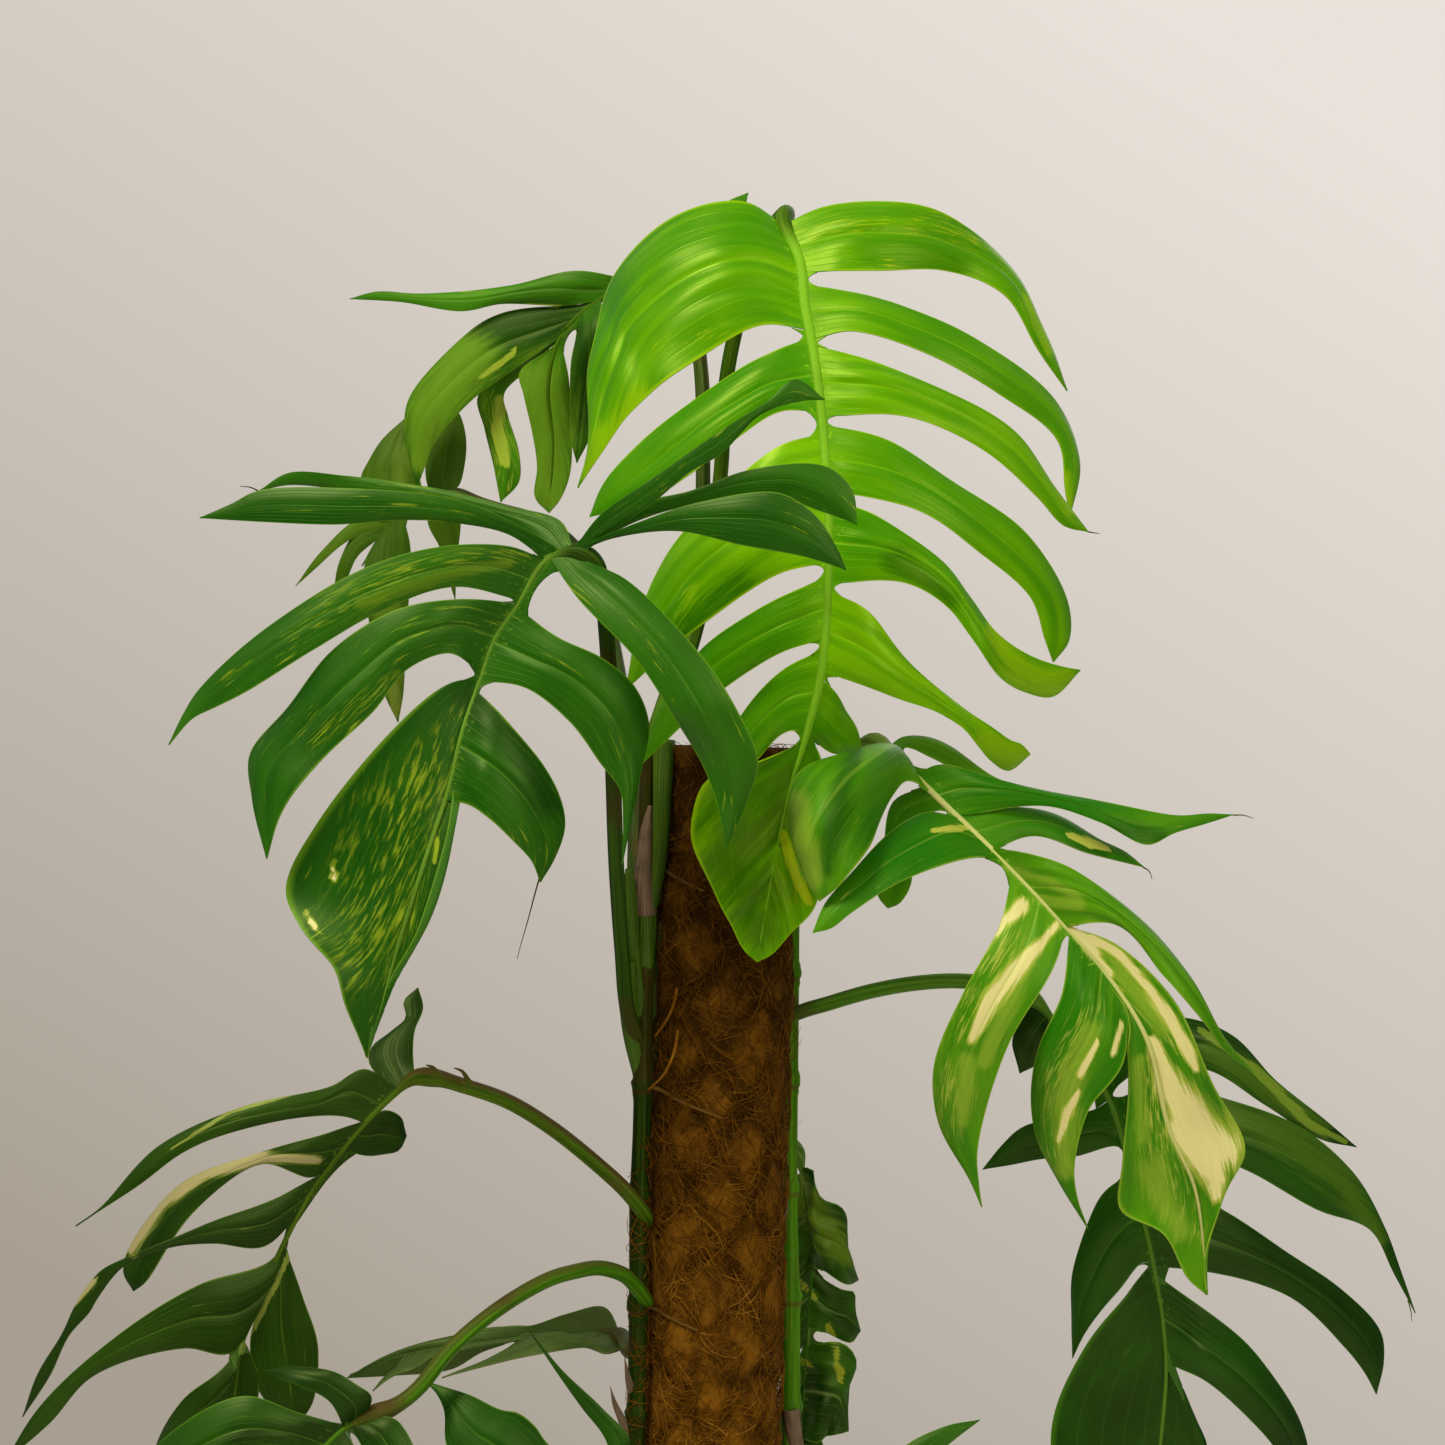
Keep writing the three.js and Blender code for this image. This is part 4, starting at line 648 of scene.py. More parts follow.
# %% The leaf whose tip shows at the bottom right
OUTLINES["leaf_right_low"] = leaf(
    [(786, 1584, 6), (804, 1552, -6), (825, 1525, -14), (846, 1507, -22)],
    [(864, 1500, -28), (900, 1510, -34), (950, 1552, -40), (990, 1622, -42), (1012, 1758, -34)],
    lobe([(868, 1500), (900, 1450), (944, 1427)], [(888, 1506), (928, 1462), (954, 1440)], (980, 1420),
        (0, 6)),
    lobe([(896, 1508), (960, 1480), (1020, 1492)], [(926, 1530), (975, 1517), (1025, 1528)], (1062, 1532),
        (0, 14)),
    lobe([(934, 1538), (1000, 1540), (1052, 1584)], [(968, 1580), (1010, 1586), (1050, 1622)], (1082, 1652),
        (0, 14)),
    lobe([(880, 1504), (864, 1560), (870, 1610)], [(920, 1526), (905, 1580), (896, 1622)], (886, 1652),
        (2, 14)),
    lobe([(925, 1530), (916, 1600), (924, 1652)], [(966, 1578), (955, 1632), (946, 1684)], (940, 1712),
        (2, 14)),
    end_lobe([(968, 1582), (966, 1660), (984, 1722)], [(974, 1592), (1030, 1640), (1036, 1706)],
        (1012, 1760), (0, 6)),
)

print("leaves:", len(OUTLINES), "lobes:", sum(len(drawn["lobes"]) for drawn in OUTLINES.values()))

# %% [markdown]
# ## Painted marks: variegation, painted sheen and painted shade
# The variegation of this plant follows its veins: long cream or yellow flecks that fray at their ends. Each
# mark is a short chain of points, pixel x, pixel y and half width, laid on the leaf. Every vertex
# stores how deep it lies in a mark, and the material frays the border with stretched noise.

# %% Marks on the leaves
# cream, yellow and flecked marks are the leaf's own variegation; shade marks are painted shade, and pale marks
# a paler tone with painted sheen
CREAM, YELLOW, PALE_AND_SHEEN, PAINTED_SHADE, FLECKED = "cream", "yellow", "pale", "shade", "flecked"
MARKS = {}
MARKS["leaf_right", CREAM] = [
    [(1021, 906, 6), (1008, 918, 5), (996, 934, 3)],
    [(1056, 925, 3), (1040, 944, 4.5), (1016, 970, 7), (992, 1000, 8), (972, 1040, 4)],
    [(1121, 1024, 2), (1113, 1053, 2.5)], [(1098, 1042, 2), (1081, 1074, 3)],
    [(1079, 1092, 2), (1068, 1112, 4.5), (1059, 1140, 2.5)],
    [(1074, 930, 4), (1092, 950, 6), (1110, 974, 3)],
    [(1090, 936, 2.5), (1117, 952, 4), (1146, 986, 4), (1168, 1018, 5), (1188, 1052, 5), (1196, 1068, 3)],
    [(1152, 1040, 4), (1160, 1064, 8), (1170, 1083, 12), (1188, 1107, 15), (1210, 1134, 17),
     (1222, 1150, 17)],
    [(1190, 1126, 14), (1204, 1156, 15), (1214, 1178, 10), (1216, 1198, 5)],
]
MARKS["leaf_right", FLECKED] = [
    [(1000, 940, 20), (960, 1020, 20), (955, 1120, 16)],
    [(1092, 1010, 14), (1062, 1080, 18), (1058, 1160, 14)],
    [(1150, 1070, 18), (1160, 1160, 22), (1190, 1230, 14)],
    [(1100, 946, 14), (1150, 1006, 16), (1190, 1070, 14)],
]
MARKS["leaf_right", YELLOW] = [
    [(932, 832, 2.5), (950, 829, 3.5), (968, 829, 2)], [(1068, 835, 2.5), (1090, 843, 4), (1108, 850, 2)],
]
# pale marks, here and below: partly a paler tone of the leaf, partly painted sheen where light falls
MARKS["leaf_right", PALE_AND_SHEEN] = [
    [(1030, 962, 6), (1006, 1010, 9), (985, 1060, 7)], [(966, 1060, 8), (962, 1120, 7)],
    [(1006, 868, 4), (1050, 880, 5), (1080, 900, 4)], [(800, 800, 9), (805, 845, 10), (816, 880, 7)],
    [(1040, 900, 5), (1080, 905, 5)], [(1138, 1060, 5), (1142, 1140, 6)],
    [(1090, 930, 9), (1130, 980, 10), (1165, 1030, 8)],
    [(1090, 1030, 10), (1064, 1100, 12), (1066, 1170, 8)], [(1150, 1170, 14), (1180, 1230, 12)],
]
MARKS["leaf_right", PAINTED_SHADE] = [
    [(1110, 830, 10), (1160, 838, 8)], [(856, 752, 6), (843, 785, 10), (834, 825, 11), (828, 870, 8)],
    [(1036, 845, 8), (1100, 856, 8)],
]
MARKS["leaf_left", CREAM] = [[(332, 862, 2.2), (335, 880, 2.0)], [(310, 912, 2.0), (314, 930, 2.0)]]
MARKS["leaf_left", YELLOW] = [[(438, 838, 2.4), (435, 862, 2.6)]]
MARKS["leaf_left", FLECKED] = [
    [(290, 634, 8), (330, 606, 14), (400, 580, 16), (470, 562, 14), (526, 552, 6)],
    [(396, 676, 5), (352, 708, 8), (312, 744, 5)],
    [(458, 714, 8), (428, 765, 25), (388, 844, 40), (372, 909, 36), (350, 974, 22)],
    [(490, 690, 8), (530, 740, 14)],
]
MARKS["leaf_left", PALE_AND_SHEEN] = [[(360, 602, 5), (440, 576, 6), (510, 562, 4)]]
MARKS["leaf_left", PAINTED_SHADE] = [[(470, 700, 14), (520, 740, 20), (545, 800, 16)]]
MARKS["leaf_top", YELLOW] = [[(784, 834, 4), (791, 862, 6), (800, 886, 6), (808, 902, 4)]]
MARKS["leaf_top", FLECKED] = [
    [(792, 230, 8), (846, 224, 11), (930, 222, 12), (990, 244, 10), (1030, 280, 6)],
    [(806, 258, 6), (858, 260, 8), (900, 262, 6)], [(722, 328, 8), (650, 350, 8)],
    [(690, 590, 8), (676, 622, 8)], [(790, 850, 12), (790, 895, 14)],
]
MARKS["leaf_top", PALE_AND_SHEEN] = [
    [(640, 400, 14), (604, 450, 9)],
    [(990, 630, 6), (1007, 656, 10), (1022, 674, 13), (1046, 684, 13), (1072, 676, 6)],
    [(985, 740, 9), (1012, 756, 13), (1026, 758, 8)], [(604, 440, 16), (592, 474, 10)],
    [(1032, 300, 9), (1050, 350, 7)], [(1062, 480, 9), (1070, 510, 5)],
]
MARKS["leaf_top", PAINTED_SHADE] = [
    [(800, 760, 26), (745, 800, 40), (730, 860, 34), (758, 930, 20)], [(740, 590, 16), (690, 630, 18)],
    [(760, 680, 16), (710, 720, 18)], [(900, 560, 14), (950, 600, 9)],
]
MARKS["leaf_left_side", PAINTED_SHADE] = [[(330, 1120, 10), (250, 1140, 12), (180, 1170, 10)]]
MARKS["leaf_left_side", CREAM] = [
    [(318, 1160, 3), (262, 1158, 5), (204, 1172, 6), (160, 1204, 7), (132, 1250, 5)],
    [(94, 1282, 3), (74, 1302, 4)],
]
MARKS["leaf_left_side", YELLOW] = [
    [(300, 1092, 1.2), (230, 1112, 2), (170, 1150, 1)], [(240, 1352, 3), (268, 1300, 3), (300, 1230, 3)],
]
MARKS["leaf_back", YELLOW] = [
    [(500, 400, 5), (498, 430, 6), (504, 462, 6)], [(500, 307, 1.5), (530, 305, 2.2), (560, 306, 1.5)],
    [(480, 378, 2), (500, 364, 3.4), (516, 350, 2.4)],
]
MARKS["leaf_back", FLECKED] = [[(500, 388, 16), (500, 430, 20), (508, 486, 14)]]
MARKS["leaf_back", PALE_AND_SHEEN] = [
    [(470, 360, 26), (430, 410, 26), (418, 460, 12)], [(540, 380, 26), (548, 440, 26), (550, 500, 14)],
]
MARKS["leaf_back", PAINTED_SHADE] = [
    [(560, 320, 24), (510, 325, 22), (480, 330, 14)], [(585, 330, 12), (580, 420, 14)],
]
MARKS["leaf_far", PALE_AND_SHEEN] = [
    [(384, 600, 16), (392, 650, 16), (396, 700, 12)], [(408, 450, 12), (400, 490, 10)],
]
MARKS["leaf_far", YELLOW] = [[(390, 668, 6), (397, 712, 6)]]
MARKS["leaf_right_lower", PALE_AND_SHEEN] = [
    [(1210, 1050, 10), (1270, 1090, 12), (1320, 1130, 10)],
    [(1225, 1112, 12), (1290, 1140, 16), (1345, 1185, 14), (1380, 1240, 6)],
]
MARKS["leaf_right_lower", YELLOW] = [[(1200, 1030, 3), (1250, 1066, 4), (1310, 1124, 4), (1345, 1142, 3)]]
MARKS["leaf_left_front", PAINTED_SHADE] = [[(240, 1436, 12), (300, 1432, 12), (380, 1430, 10)]]
MARKS["leaf_back_right", YELLOW] = [
    [(799, 1280, 3), (808, 1290, 4), (816, 1298, 2)], [(828, 1324, 3), (836, 1350, 4), (840, 1378, 3)],
    [(800, 1360, 3), (810, 1365, 2)],
]
MARKS["leaf_back_right", PALE_AND_SHEEN] = [[(800, 1180, 8), (812, 1212, 14), (828, 1236, 16), (846, 1258, 8)]]
MARKS["leaf_back_right", PAINTED_SHADE] = [
    [(810, 1270, 10), (835, 1300, 12), (850, 1330, 10)], [(815, 1380, 12), (835, 1420, 12)],
]

def depth_in_marks(chains, pixels):
    """1 in the middle of a mark, 0.5 on its border and 0 well outside it."""
    best = np.zeros(len(pixels))
    for chain in chains:
        for (ax, ay, a_half), (bx, by, b_half) in zip(chain, chain[1:]):
            start, run = np.array((ax, ay)), np.array((bx - ax, by - ay))
            share = np.clip((pixels - start) @ run / max(run @ run, 1e-9), 0, 1)
            gap = np.linalg.norm(pixels - start - share[:, None] * run, axis=1)
            half = a_half + (b_half - a_half) * share
            best = np.maximum(best, 1 - gap / (2 * half))
    return best


print("marks:", sum(len(chains) for chains in MARKS.values()))

# %% [markdown]
# ## The form of a lobe
# Between its two edges a lobe is a shallow arch with a crease along its side vein, a few ribs that run with
# the vein and edges that wave a little. A grid is laid over it: its columns go from edge to edge, and its
# rows from the midrib to the tip. Where the lobe leaves the midrib its first row lies on the midrib itself.

# %% Lobe surfaces
RIB_SAMPLES = 600
ROUGH_ROWS = 40
ROW_STEP, ROWS_LEAST, ROWS_MOST = 2.0, 8, 72
COLUMN_STEP, COLUMNS_LEAST, COLUMNS_MOST = 1.5, 6, 38
ARCH = 0.1
BASE_SHARE = 0.22
TIP_WIDTH = 0.2
CREASE_DEPTH, CREASE_WIDTH = 1.0, 0.11
RIB_PITCH = 11.0
# rib height in mm, where a leaf has more or fewer ribs than most, and the same for end lobes
RIBS = {"leaf_top": 0.24, "leaf_right": 0.22, "leaf_back_right": 0.6, "leaf_back": 0.16}
RIB_USUAL = 0.08
END_RIBS = {"leaf_top": 1.6, "leaf_right": 0.3}
# how far a lobe is folded along its side vein, in mm, by leaf and lobe
FOLDS = {("leaf_right", 0): 14.0}
WAVE_HEIGHT = 1.1
DEPTH_CALM = 0.07
# the angle between the midrib and the side veins of an end lobe, in degrees
VEIN_ANGLES = {"leaf_top": 26, "leaf_left": 5, "leaf_right_lower": 30}
VEIN_ANGLE_USUAL = 10

def on_midrib(rib, pixels):
    """The nearest place on the midrib for each pixel: its index, its distance and its depth."""
    gaps = np.linalg.norm(rib[None, :, :2] - pixels[:, None, :2], axis=2)
    nearest = gaps.argmin(axis=1)
    return nearest, gaps[np.arange(len(pixels)), nearest], rib[nearest, 2]

def rib_points(rib, index):
    """Points of the midrib at fractional indexes."""
    return read_line(rib, np.arange(len(rib)), index)

def calmed(values, reach):
    """Averages values along a line over the given share of its length, and keeps both ends."""
    half = max(1, int(len(values) * reach))
    before = 2 * values[0] - values[half:0:-1]
    after = 2 * values[-1] - values[-2:-half - 2:-1]
    weights = np.hanning(2 * half + 3)[1:-1] / (half + 1)
    return np.convolve(np.concatenate([before, values, after]), weights, mode="valid")

def edge_lines(shape, rib, rows):
    """Both edges of a lobe as pixel x, pixel y and depth, from the midrib to the tip."""
    lines = []
    for edge in shape["edges"]:
        drawn = [(*point, 0)[:3] for point in (*edge, shape["tip"])]
        lines.append(smooth_line(drawn, rows))
    near = [on_midrib(rib, line) for line in lines]
    furthest = max(gap.max() for _, gap, _ in near)
    middle, end = shape["reach"]
    for line, (_, gap, depth) in zip(lines, near):
        share = gap / furthest
        behind = depth + 4 * middle * share * (1 - share) + end * share * (2 * share - 1)
        line[:, 2] += calmed(calmed(behind, DEPTH_CALM), DEPTH_CALM)
    return lines, (near[0][0][0], near[1][0][0])

def middle_line(shape, rib, starts, first, second):
    """The line that a lobe arches up to: the midrib in an end lobe, and otherwise its own side vein."""
    if shape["on_midrib"]:
        begin = sum(starts) / 2
        return place(rib_points(rib, np.linspace(begin, len(rib) - 1, len(first))))
    across = second - first
    total = first + second
    normal = unit(np.cross(np.gradient(total, axis=0), across))
    front = 1.0 if normal[:, 1].mean() < 0 else -1.0
    width = np.linalg.norm(across, axis=1, keepdims=True)
    return total / 2 + normal * front * width * ARCH

def vein_place(shape, run, side, angle):
    """The place along and across the fine veins, which leave the midrib at an angle in an end lobe."""
    if not shape["on_midrib"]:
        return run, side
    c, s = math.cos(math.radians(angle)), math.sin(math.radians(angle))
    return run * c + np.abs(side) * s, np.abs(side) * c - run * s

def relief(side, veins, along, width, seed, ribbing):
    """Crease, ribs, waves and lumps in millimetres, for every point of the grid."""
    share = side / np.maximum(width / 2, 1e-6)
    broad = np.clip(width / 26, 0.15, 1.2)
    fade = eased(along, 0.0, 0.12) * eased(along, 1.02, 0.75)
    crease = -CREASE_DEPTH * np.exp(-(share / CREASE_WIDTH) ** 2) * (1 - 0.6 * along)
    swell = 0.55 + 0.45 * np.sin(along * 6 + seed * 3 + side / 8)
    swell = swell * (1 + 1.3 * np.exp(-(along / 0.2) ** 2))
    ribs = ribbing * swell * np.cos(2 * np.pi * veins / RIB_PITCH + seed) * (1 - share ** 4)
    wave = WAVE_HEIGHT * share ** 2 * np.sin(along * 9 + seed * 5 + np.sign(share) * 1.3)
    lumps = (0.1 + ribbing) * np.sin(along * 17 + seed) * np.cos(side / 5 + seed * 2)
    return (crease + ribs + wave + lumps) * broad * fade

def lobe_counts(shape, rib):
    """A lobe's length in mm and how many rows and columns its grid gets."""
    edges, _ = edge_lines(shape, rib, ROUGH_ROWS)
    first, second = (place(edge) for edge in edges)
    length = line_length(first + second) / 2 / MM
    widest = np.linalg.norm(first - second, axis=1).max() / MM
    rows = int(np.clip(round(length / ROW_STEP), ROWS_LEAST, ROWS_MOST))
    columns = int(np.clip(round(widest / COLUMN_STEP / 2) * 2, COLUMNS_LEAST, COLUMNS_MOST))
    return length, rows, columns

def arched_sheet(shape, rib, starts, first, second, across, along):
    """The smooth arch between both edges, which starts on the midrib and ends in a narrow tip."""
    middle = middle_line(shape, rib, starts, first, second)
    half = (second - first)[:, None] / 2
    near_tip = (second - first)[-3]
    half[-1] = near_tip[None] / 2 * TIP_WIDTH * MM / max(np.linalg.norm(near_tip), 1e-9)
    centre = (first + second)[:, None] / 2
    points = centre + half * across + (middle[:, None] - centre) * (1 - across ** 2)
    if not shape["on_midrib"]:
        index = starts[0] + (starts[1] - starts[0]) * (across[0, :, 0] + 1) / 2
        base = place(rib_points(rib, index))
        points += (base - points[0])[None] * (1 - eased(along, 0, BASE_SHARE))[..., None]
    return points

def lobe_grid(shape, rib, seed, ribbing, angle, fold):
    """Points in metres, pixels, and the place across and along the lobe, each as rows by columns."""
    length, rows, columns = lobe_counts(shape, rib)
    (edge_a, edge_b), starts = edge_lines(shape, rib, rows)
    first, second = place(edge_a), place(edge_b)
    across = np.linspace(-1, 1, columns + 1)[None, :, None]
    along = np.linspace(0, 1, rows + 1)[:, None]
    points = arched_sheet(shape, rib, starts, first, second, across, along)
    across = across[..., 0]
    normal = unit(np.cross(np.gradient(points, axis=1), np.gradient(points, axis=0)))
    facing = 1.0 if normal[..., 1].mean() < 0 else -1.0
    width = np.linalg.norm(second - first, axis=1)[:, None] / MM
    side = across * width / 2
    run, veins = vein_place(shape, along * length + 0 * side, side, angle)
    folded = fold * (1 - np.abs(across)) * eased(along, 0.0, 0.3) * eased(along, 1.0, 0.6)
    offset = relief(side, veins, along, width, seed, ribbing) + folded
    points = points + normal * facing * offset[..., None] * MM
    return {
        "points": points, "pixels": seen(points), "rows": rows, "columns": columns, "facing": facing,
        "starts": starts, "edges": (edge_a, edge_b), "on_midrib": shape["on_midrib"],
        "across": np.broadcast_to(across, run.shape), "along": np.broadcast_to(along, run.shape),
        "run": run, "veins": veins,
    }

# %% [markdown]
# ## The end of a notch
# Between two lobes the blade is cut nearly to the midrib. A small strip rounds the end of each notch.

# %% Strips between the lobes
WEB_REACH = 15.0
WEB_ROWS, WEB_COLUMNS = 5, 10
WEB_BOW = 0.62
WEB_SAMPLES = 40

def hand_at(rib, at, spot):
    """On which side of the midrib a spot lies that is near its point number at: 1 or -1."""
    lead = (rib[min(at + 5, len(rib) - 1)] - rib[max(at - 5, 0)])[:2]
    out = spot - rib[at][:2]
    return 1 if lead[0] * out[1] - lead[1] * out[0] > 0 else -1

def hand_of(edge, rib):
    """On which side of the midrib an edge sets out."""
    spot = edge[len(edge) // 6, :2]
    return hand_at(rib, int(np.linalg.norm(rib[:, :2] - spot, axis=1).argmin()), spot)

def neighbours(grids, rib):
    """Pairs of lobe edges that face each other across a notch on the same side of the midrib."""
    sides = {1: [], -1: []}
    for grid in grids:
        (start, first), (_, second) = sorted(zip(grid["starts"], grid["edges"]), key=lambda pair: pair[0])
        if not grid["on_midrib"]:
            hand = hand_at(rib, int(sum(grid["starts"]) / 2), (first + second)[4, :2] / 2)
            sides[hand].append((start, first, second))
            continue
        for hand, found in sides.items():
            near = [edge for edge in (first, second) if hand_of(edge, rib) == hand]
            found.extend((start, edge, edge) for edge in near[:1])
    pairs = []
    for hand, found in sides.items():
        found = sorted(found, key=lambda item: item[0])
        pairs.extend((upper[2], lower[1], hand) for upper, lower in zip(found, found[1:]))
    return pairs

def web_grid(upper, lower):
    """The strip of blade that rounds the end of a notch, and how far out each of its points lies."""
    wanted = np.linspace(0, WEB_REACH, WEB_SAMPLES)
    lines = [read_line(edge, distances(edge[:, :2]), wanted) for edge in (upper, lower)]
    u = np.linspace(0, 1, WEB_COLUMNS + 1)[None, :]
    v = np.linspace(0, 1, WEB_ROWS + 1)[:, None] * (1 - WEB_BOW * np.sin(np.pi * u) ** 0.7)
    first, second = (rib_points(line, v * (WEB_SAMPLES - 1)) for line in lines)
    drawn = first * (1 - u[..., None]) + second * u[..., None]
    return drawn, np.broadcast_to(v, drawn.shape[:2])


print("points in a notch strip:", (WEB_ROWS + 1) * (WEB_COLUMNS + 1))

# %% [markdown]
# ## From grids to a blade
# All lobes of a leaf go into one mesh. The grid operator makes each sheet flat, and its vertices are then
# moved to their places. The Solidify modifier gives the sheet the thickness of a real leaf and puts a second,
# paler material on the underside.

# %% Sheets and objects

def lay_grid(bm, columns, rows, points, flip=False):
    """A flat grid whose vertices are moved to the given points, row after row."""
    made = bmesh.ops.create_grid(bm, x_segments=columns, y_segments=rows, size=1.0)["verts"]
    for vert, point in zip(made, points.reshape(-1, 3)):
        vert.co = point
    if flip:
        faces = {face for vert in made for face in vert.link_faces}
        bmesh.ops.reverse_faces(bm, faces=list(faces))

def close_seams(mesh):
    """Merges the seam of a rolled sheet, closes its open ends and turns its faces outwards."""
    bm = bmesh.new()
    bm.from_mesh(mesh)
    bmesh.ops.remove_doubles(bm, verts=bm.verts, dist=1e-6)
    rim = [edge for edge in bm.edges if edge.is_boundary]
    bmesh.ops.holes_fill(bm, edges=rim, sides=0)
    bmesh.ops.recalc_face_normals(bm, faces=bm.faces)
    bm.to_mesh(mesh)
    bm.free()

def to_object(bm, name, uv=None, attributes=None, close=False):
    """Writes a bmesh to an object. uv and attributes hold one value for each vertex, in their order."""
    mesh = bpy.data.meshes.new(name)
    bm.to_mesh(mesh)
    bm.free()
    if uv is not None:
        corner = np.zeros(len(mesh.loops), dtype=np.int32)
        mesh.loops.foreach_get("vertex_index", corner)
        layer = mesh.uv_layers.new(name="skin")
        layer.uv.foreach_set("vector", np.asarray(uv, np.float32)[corner].ravel())
    for key, values in (attributes or {}).items():
        made = mesh.attributes.new(key, "FLOAT", "POINT")
        made.data.foreach_set("value", np.asarray(values, np.float32))
    if close:
        close_seams(mesh)
    mesh.shade_smooth()
    made = bpy.data.objects.new(name, mesh)
    bpy.context.scene.collection.objects.link(made)
    return made

def thicken(made, thickness, offset=0.0):
    thick = made.modifiers.new("thickness", "SOLIDIFY")
    thick.thickness, thick.offset = thickness, offset
    return thick

def dress(made, materials, nodes=()):
    """Gives a piece its materials, lets it ride on the part, and hides the solids that it stands for."""
    for material in materials:
        made.data.materials.append(material)
    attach(made, "root")
    if nodes:
        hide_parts(*nodes)
    return made

# %% Blades
BLADE_THICKNESS = 0.0007
# lifts shadow rays where light grazes the blade, so that its small faces cast no saw-toothed shadow
TERMINATOR_OFFSET = 0.6
# how far apart the skins of two lobes lie in the noise
SKIN_SHIFT = 3.7

def sheet(uv, across, along, tone, pixels):
    """What the vertices of one grid hold."""
    return {
        "uv": uv.reshape(-1, 2), "pixels": pixels.reshape(-1, 2), "across": across.ravel(),
        "along": along.ravel(), "tone": np.full(along.size, tone),
    }

def lay_lobe(bm, name, number, shape, rib):
    """Adds one lobe to the mesh. Returns its grid and its sheet."""
    seed = (number * 2.399 + len(name)) % (2 * math.pi)
    angle = VEIN_ANGLES.get(name, VEIN_ANGLE_USUAL)
    ribbing = RIBS.get(name, RIB_USUAL)
    ribbing = END_RIBS.get(name, ribbing) if shape["on_midrib"] else ribbing
    grid = lobe_grid(shape, rib, seed, ribbing, angle, FOLDS.get((name, number), 0.0))
    lay_grid(bm, grid["columns"], grid["rows"], grid["points"], flip=grid["facing"] < 0)
    uv = np.stack([grid["run"] / 100 + number * SKIN_SHIFT, grid["veins"] / 100], axis=-1)
    tone = (math.sin(seed * 7) + 1) / 2
    return grid, sheet(uv, grid["across"], grid["along"], tone, grid["pixels"])

def lay_web(bm, upper, lower, hand):
    """Adds the strip round the end of a notch, and returns its sheet."""
    drawn, out = web_grid(upper, lower)
    lay_grid(bm, WEB_COLUMNS, WEB_ROWS, place(drawn), flip=hand > 0)
    uv = np.stack([out * 0.06, drawn[..., 1] * 0.004], axis=-1)
    return sheet(uv, np.full(out.size, 0.6), out * 0.08, 0.5, drawn[..., :2])

def leaf_blade(name, outline):
    rib = smooth_line(outline["midrib"], RIB_SAMPLES)
    bm = bmesh.new()
    lobes = [lay_lobe(bm, name, number, shape, rib) for number, shape in enumerate(outline["lobes"])]
    sheets = [made for _, made in lobes]
    sheets += [lay_web(bm, *pair) for pair in neighbours([grid for grid, _ in lobes], rib)]
    for edge in bm.edges:
        edge.smooth = not edge.is_boundary
    held = {key: np.concatenate([made[key] for made in sheets]) for key in sheets[0]}
    uv, pixels = held.pop("uv"), held.pop("pixels")
    for kind in (CREAM, YELLOW, PALE_AND_SHEEN, PAINTED_SHADE, FLECKED):
        held[kind] = depth_in_marks(MARKS.get((name, kind), []), pixels)
    made = to_object(bm, name + "_blade", uv, held)
    thick = thicken(made, BLADE_THICKNESS)
    thick.material_offset = 1
    made.cycles.shadow_terminator_geometry_offset = TERMINATOR_OFFSET
    return made

# %% [markdown]
# ## Leaf skin
# A young leaf is bright and an old one dark, but the build of the surface is the same: a pale side vein, fine
# ribs beside it, a thin light edge, flecks that follow the veins and a waxy shine. One recipe holds all of
# this, and each leaf sets its own colours in it.

# %% Leaf skin
# a vertex value, the colour it brings, how strongly, where its border lies and how soft that is
MARK_LOOKS = (
    # painted shade: the leaf's deep green moved towards black
    (PAINTED_SHADE, "darker", 0.75, 0.5, 0.4),
    # a paler tone, and painted sheen where light falls on a lobe
    (PALE_AND_SHEEN, "paler", 0.75, 0.5, 0.35),
    (YELLOW, "fleck", 0.85, 0.5, 0.12),
    (CREAM, "fleck", 0.6, 0.3, 0.2),
    (CREAM, "cream", 1.0, 0.52, 0.1),
)
NEARLY_BLACK = (0.0, 0.004, 0.0, 1.0)

def marbled(group, colour, run, cloud, fleck, flecks, marbling):
    """Adds long light flecks between the veins, and fine dashes where a flecked place is painted."""
    level = run.stretched(5.0, 70.0, 1.0).grain(1.0, 4.0, 0.62) + cloud + flecks * 0.3
    colour = colour.towards(fleck, level.ease(0.7, 0.82) * marbling)
    dashes = run.stretched(9.0, 105.0, 1.0).grain(1.0, 3.0, 0.6) + cloud * 0.8
    here = attribute(group, FLECKED).ease(0.1, 0.9)
    return colour.towards(fleck, dashes.ease(0.48, 0.68) * here * 0.62)

def marked(group, colour, run, cloud, goals):
    """Adds the painted marks, frayed along the veins: variegation, painted sheen and painted shade."""
    fray = (run.stretched(3.0, 44.0, 1.0).grain(1.0, 4.0, 0.65) - 0.5) * 1.5 + cloud
    for key, goal, strength, border, soft in MARK_LOOKS:
        depth = attribute(group, key)
        shown = (depth + fray).ease(border - soft, border + soft) * strength
        colour = colour.towards(goals[goal], shown * depth.ease(0.02, 0.25))
    return colour

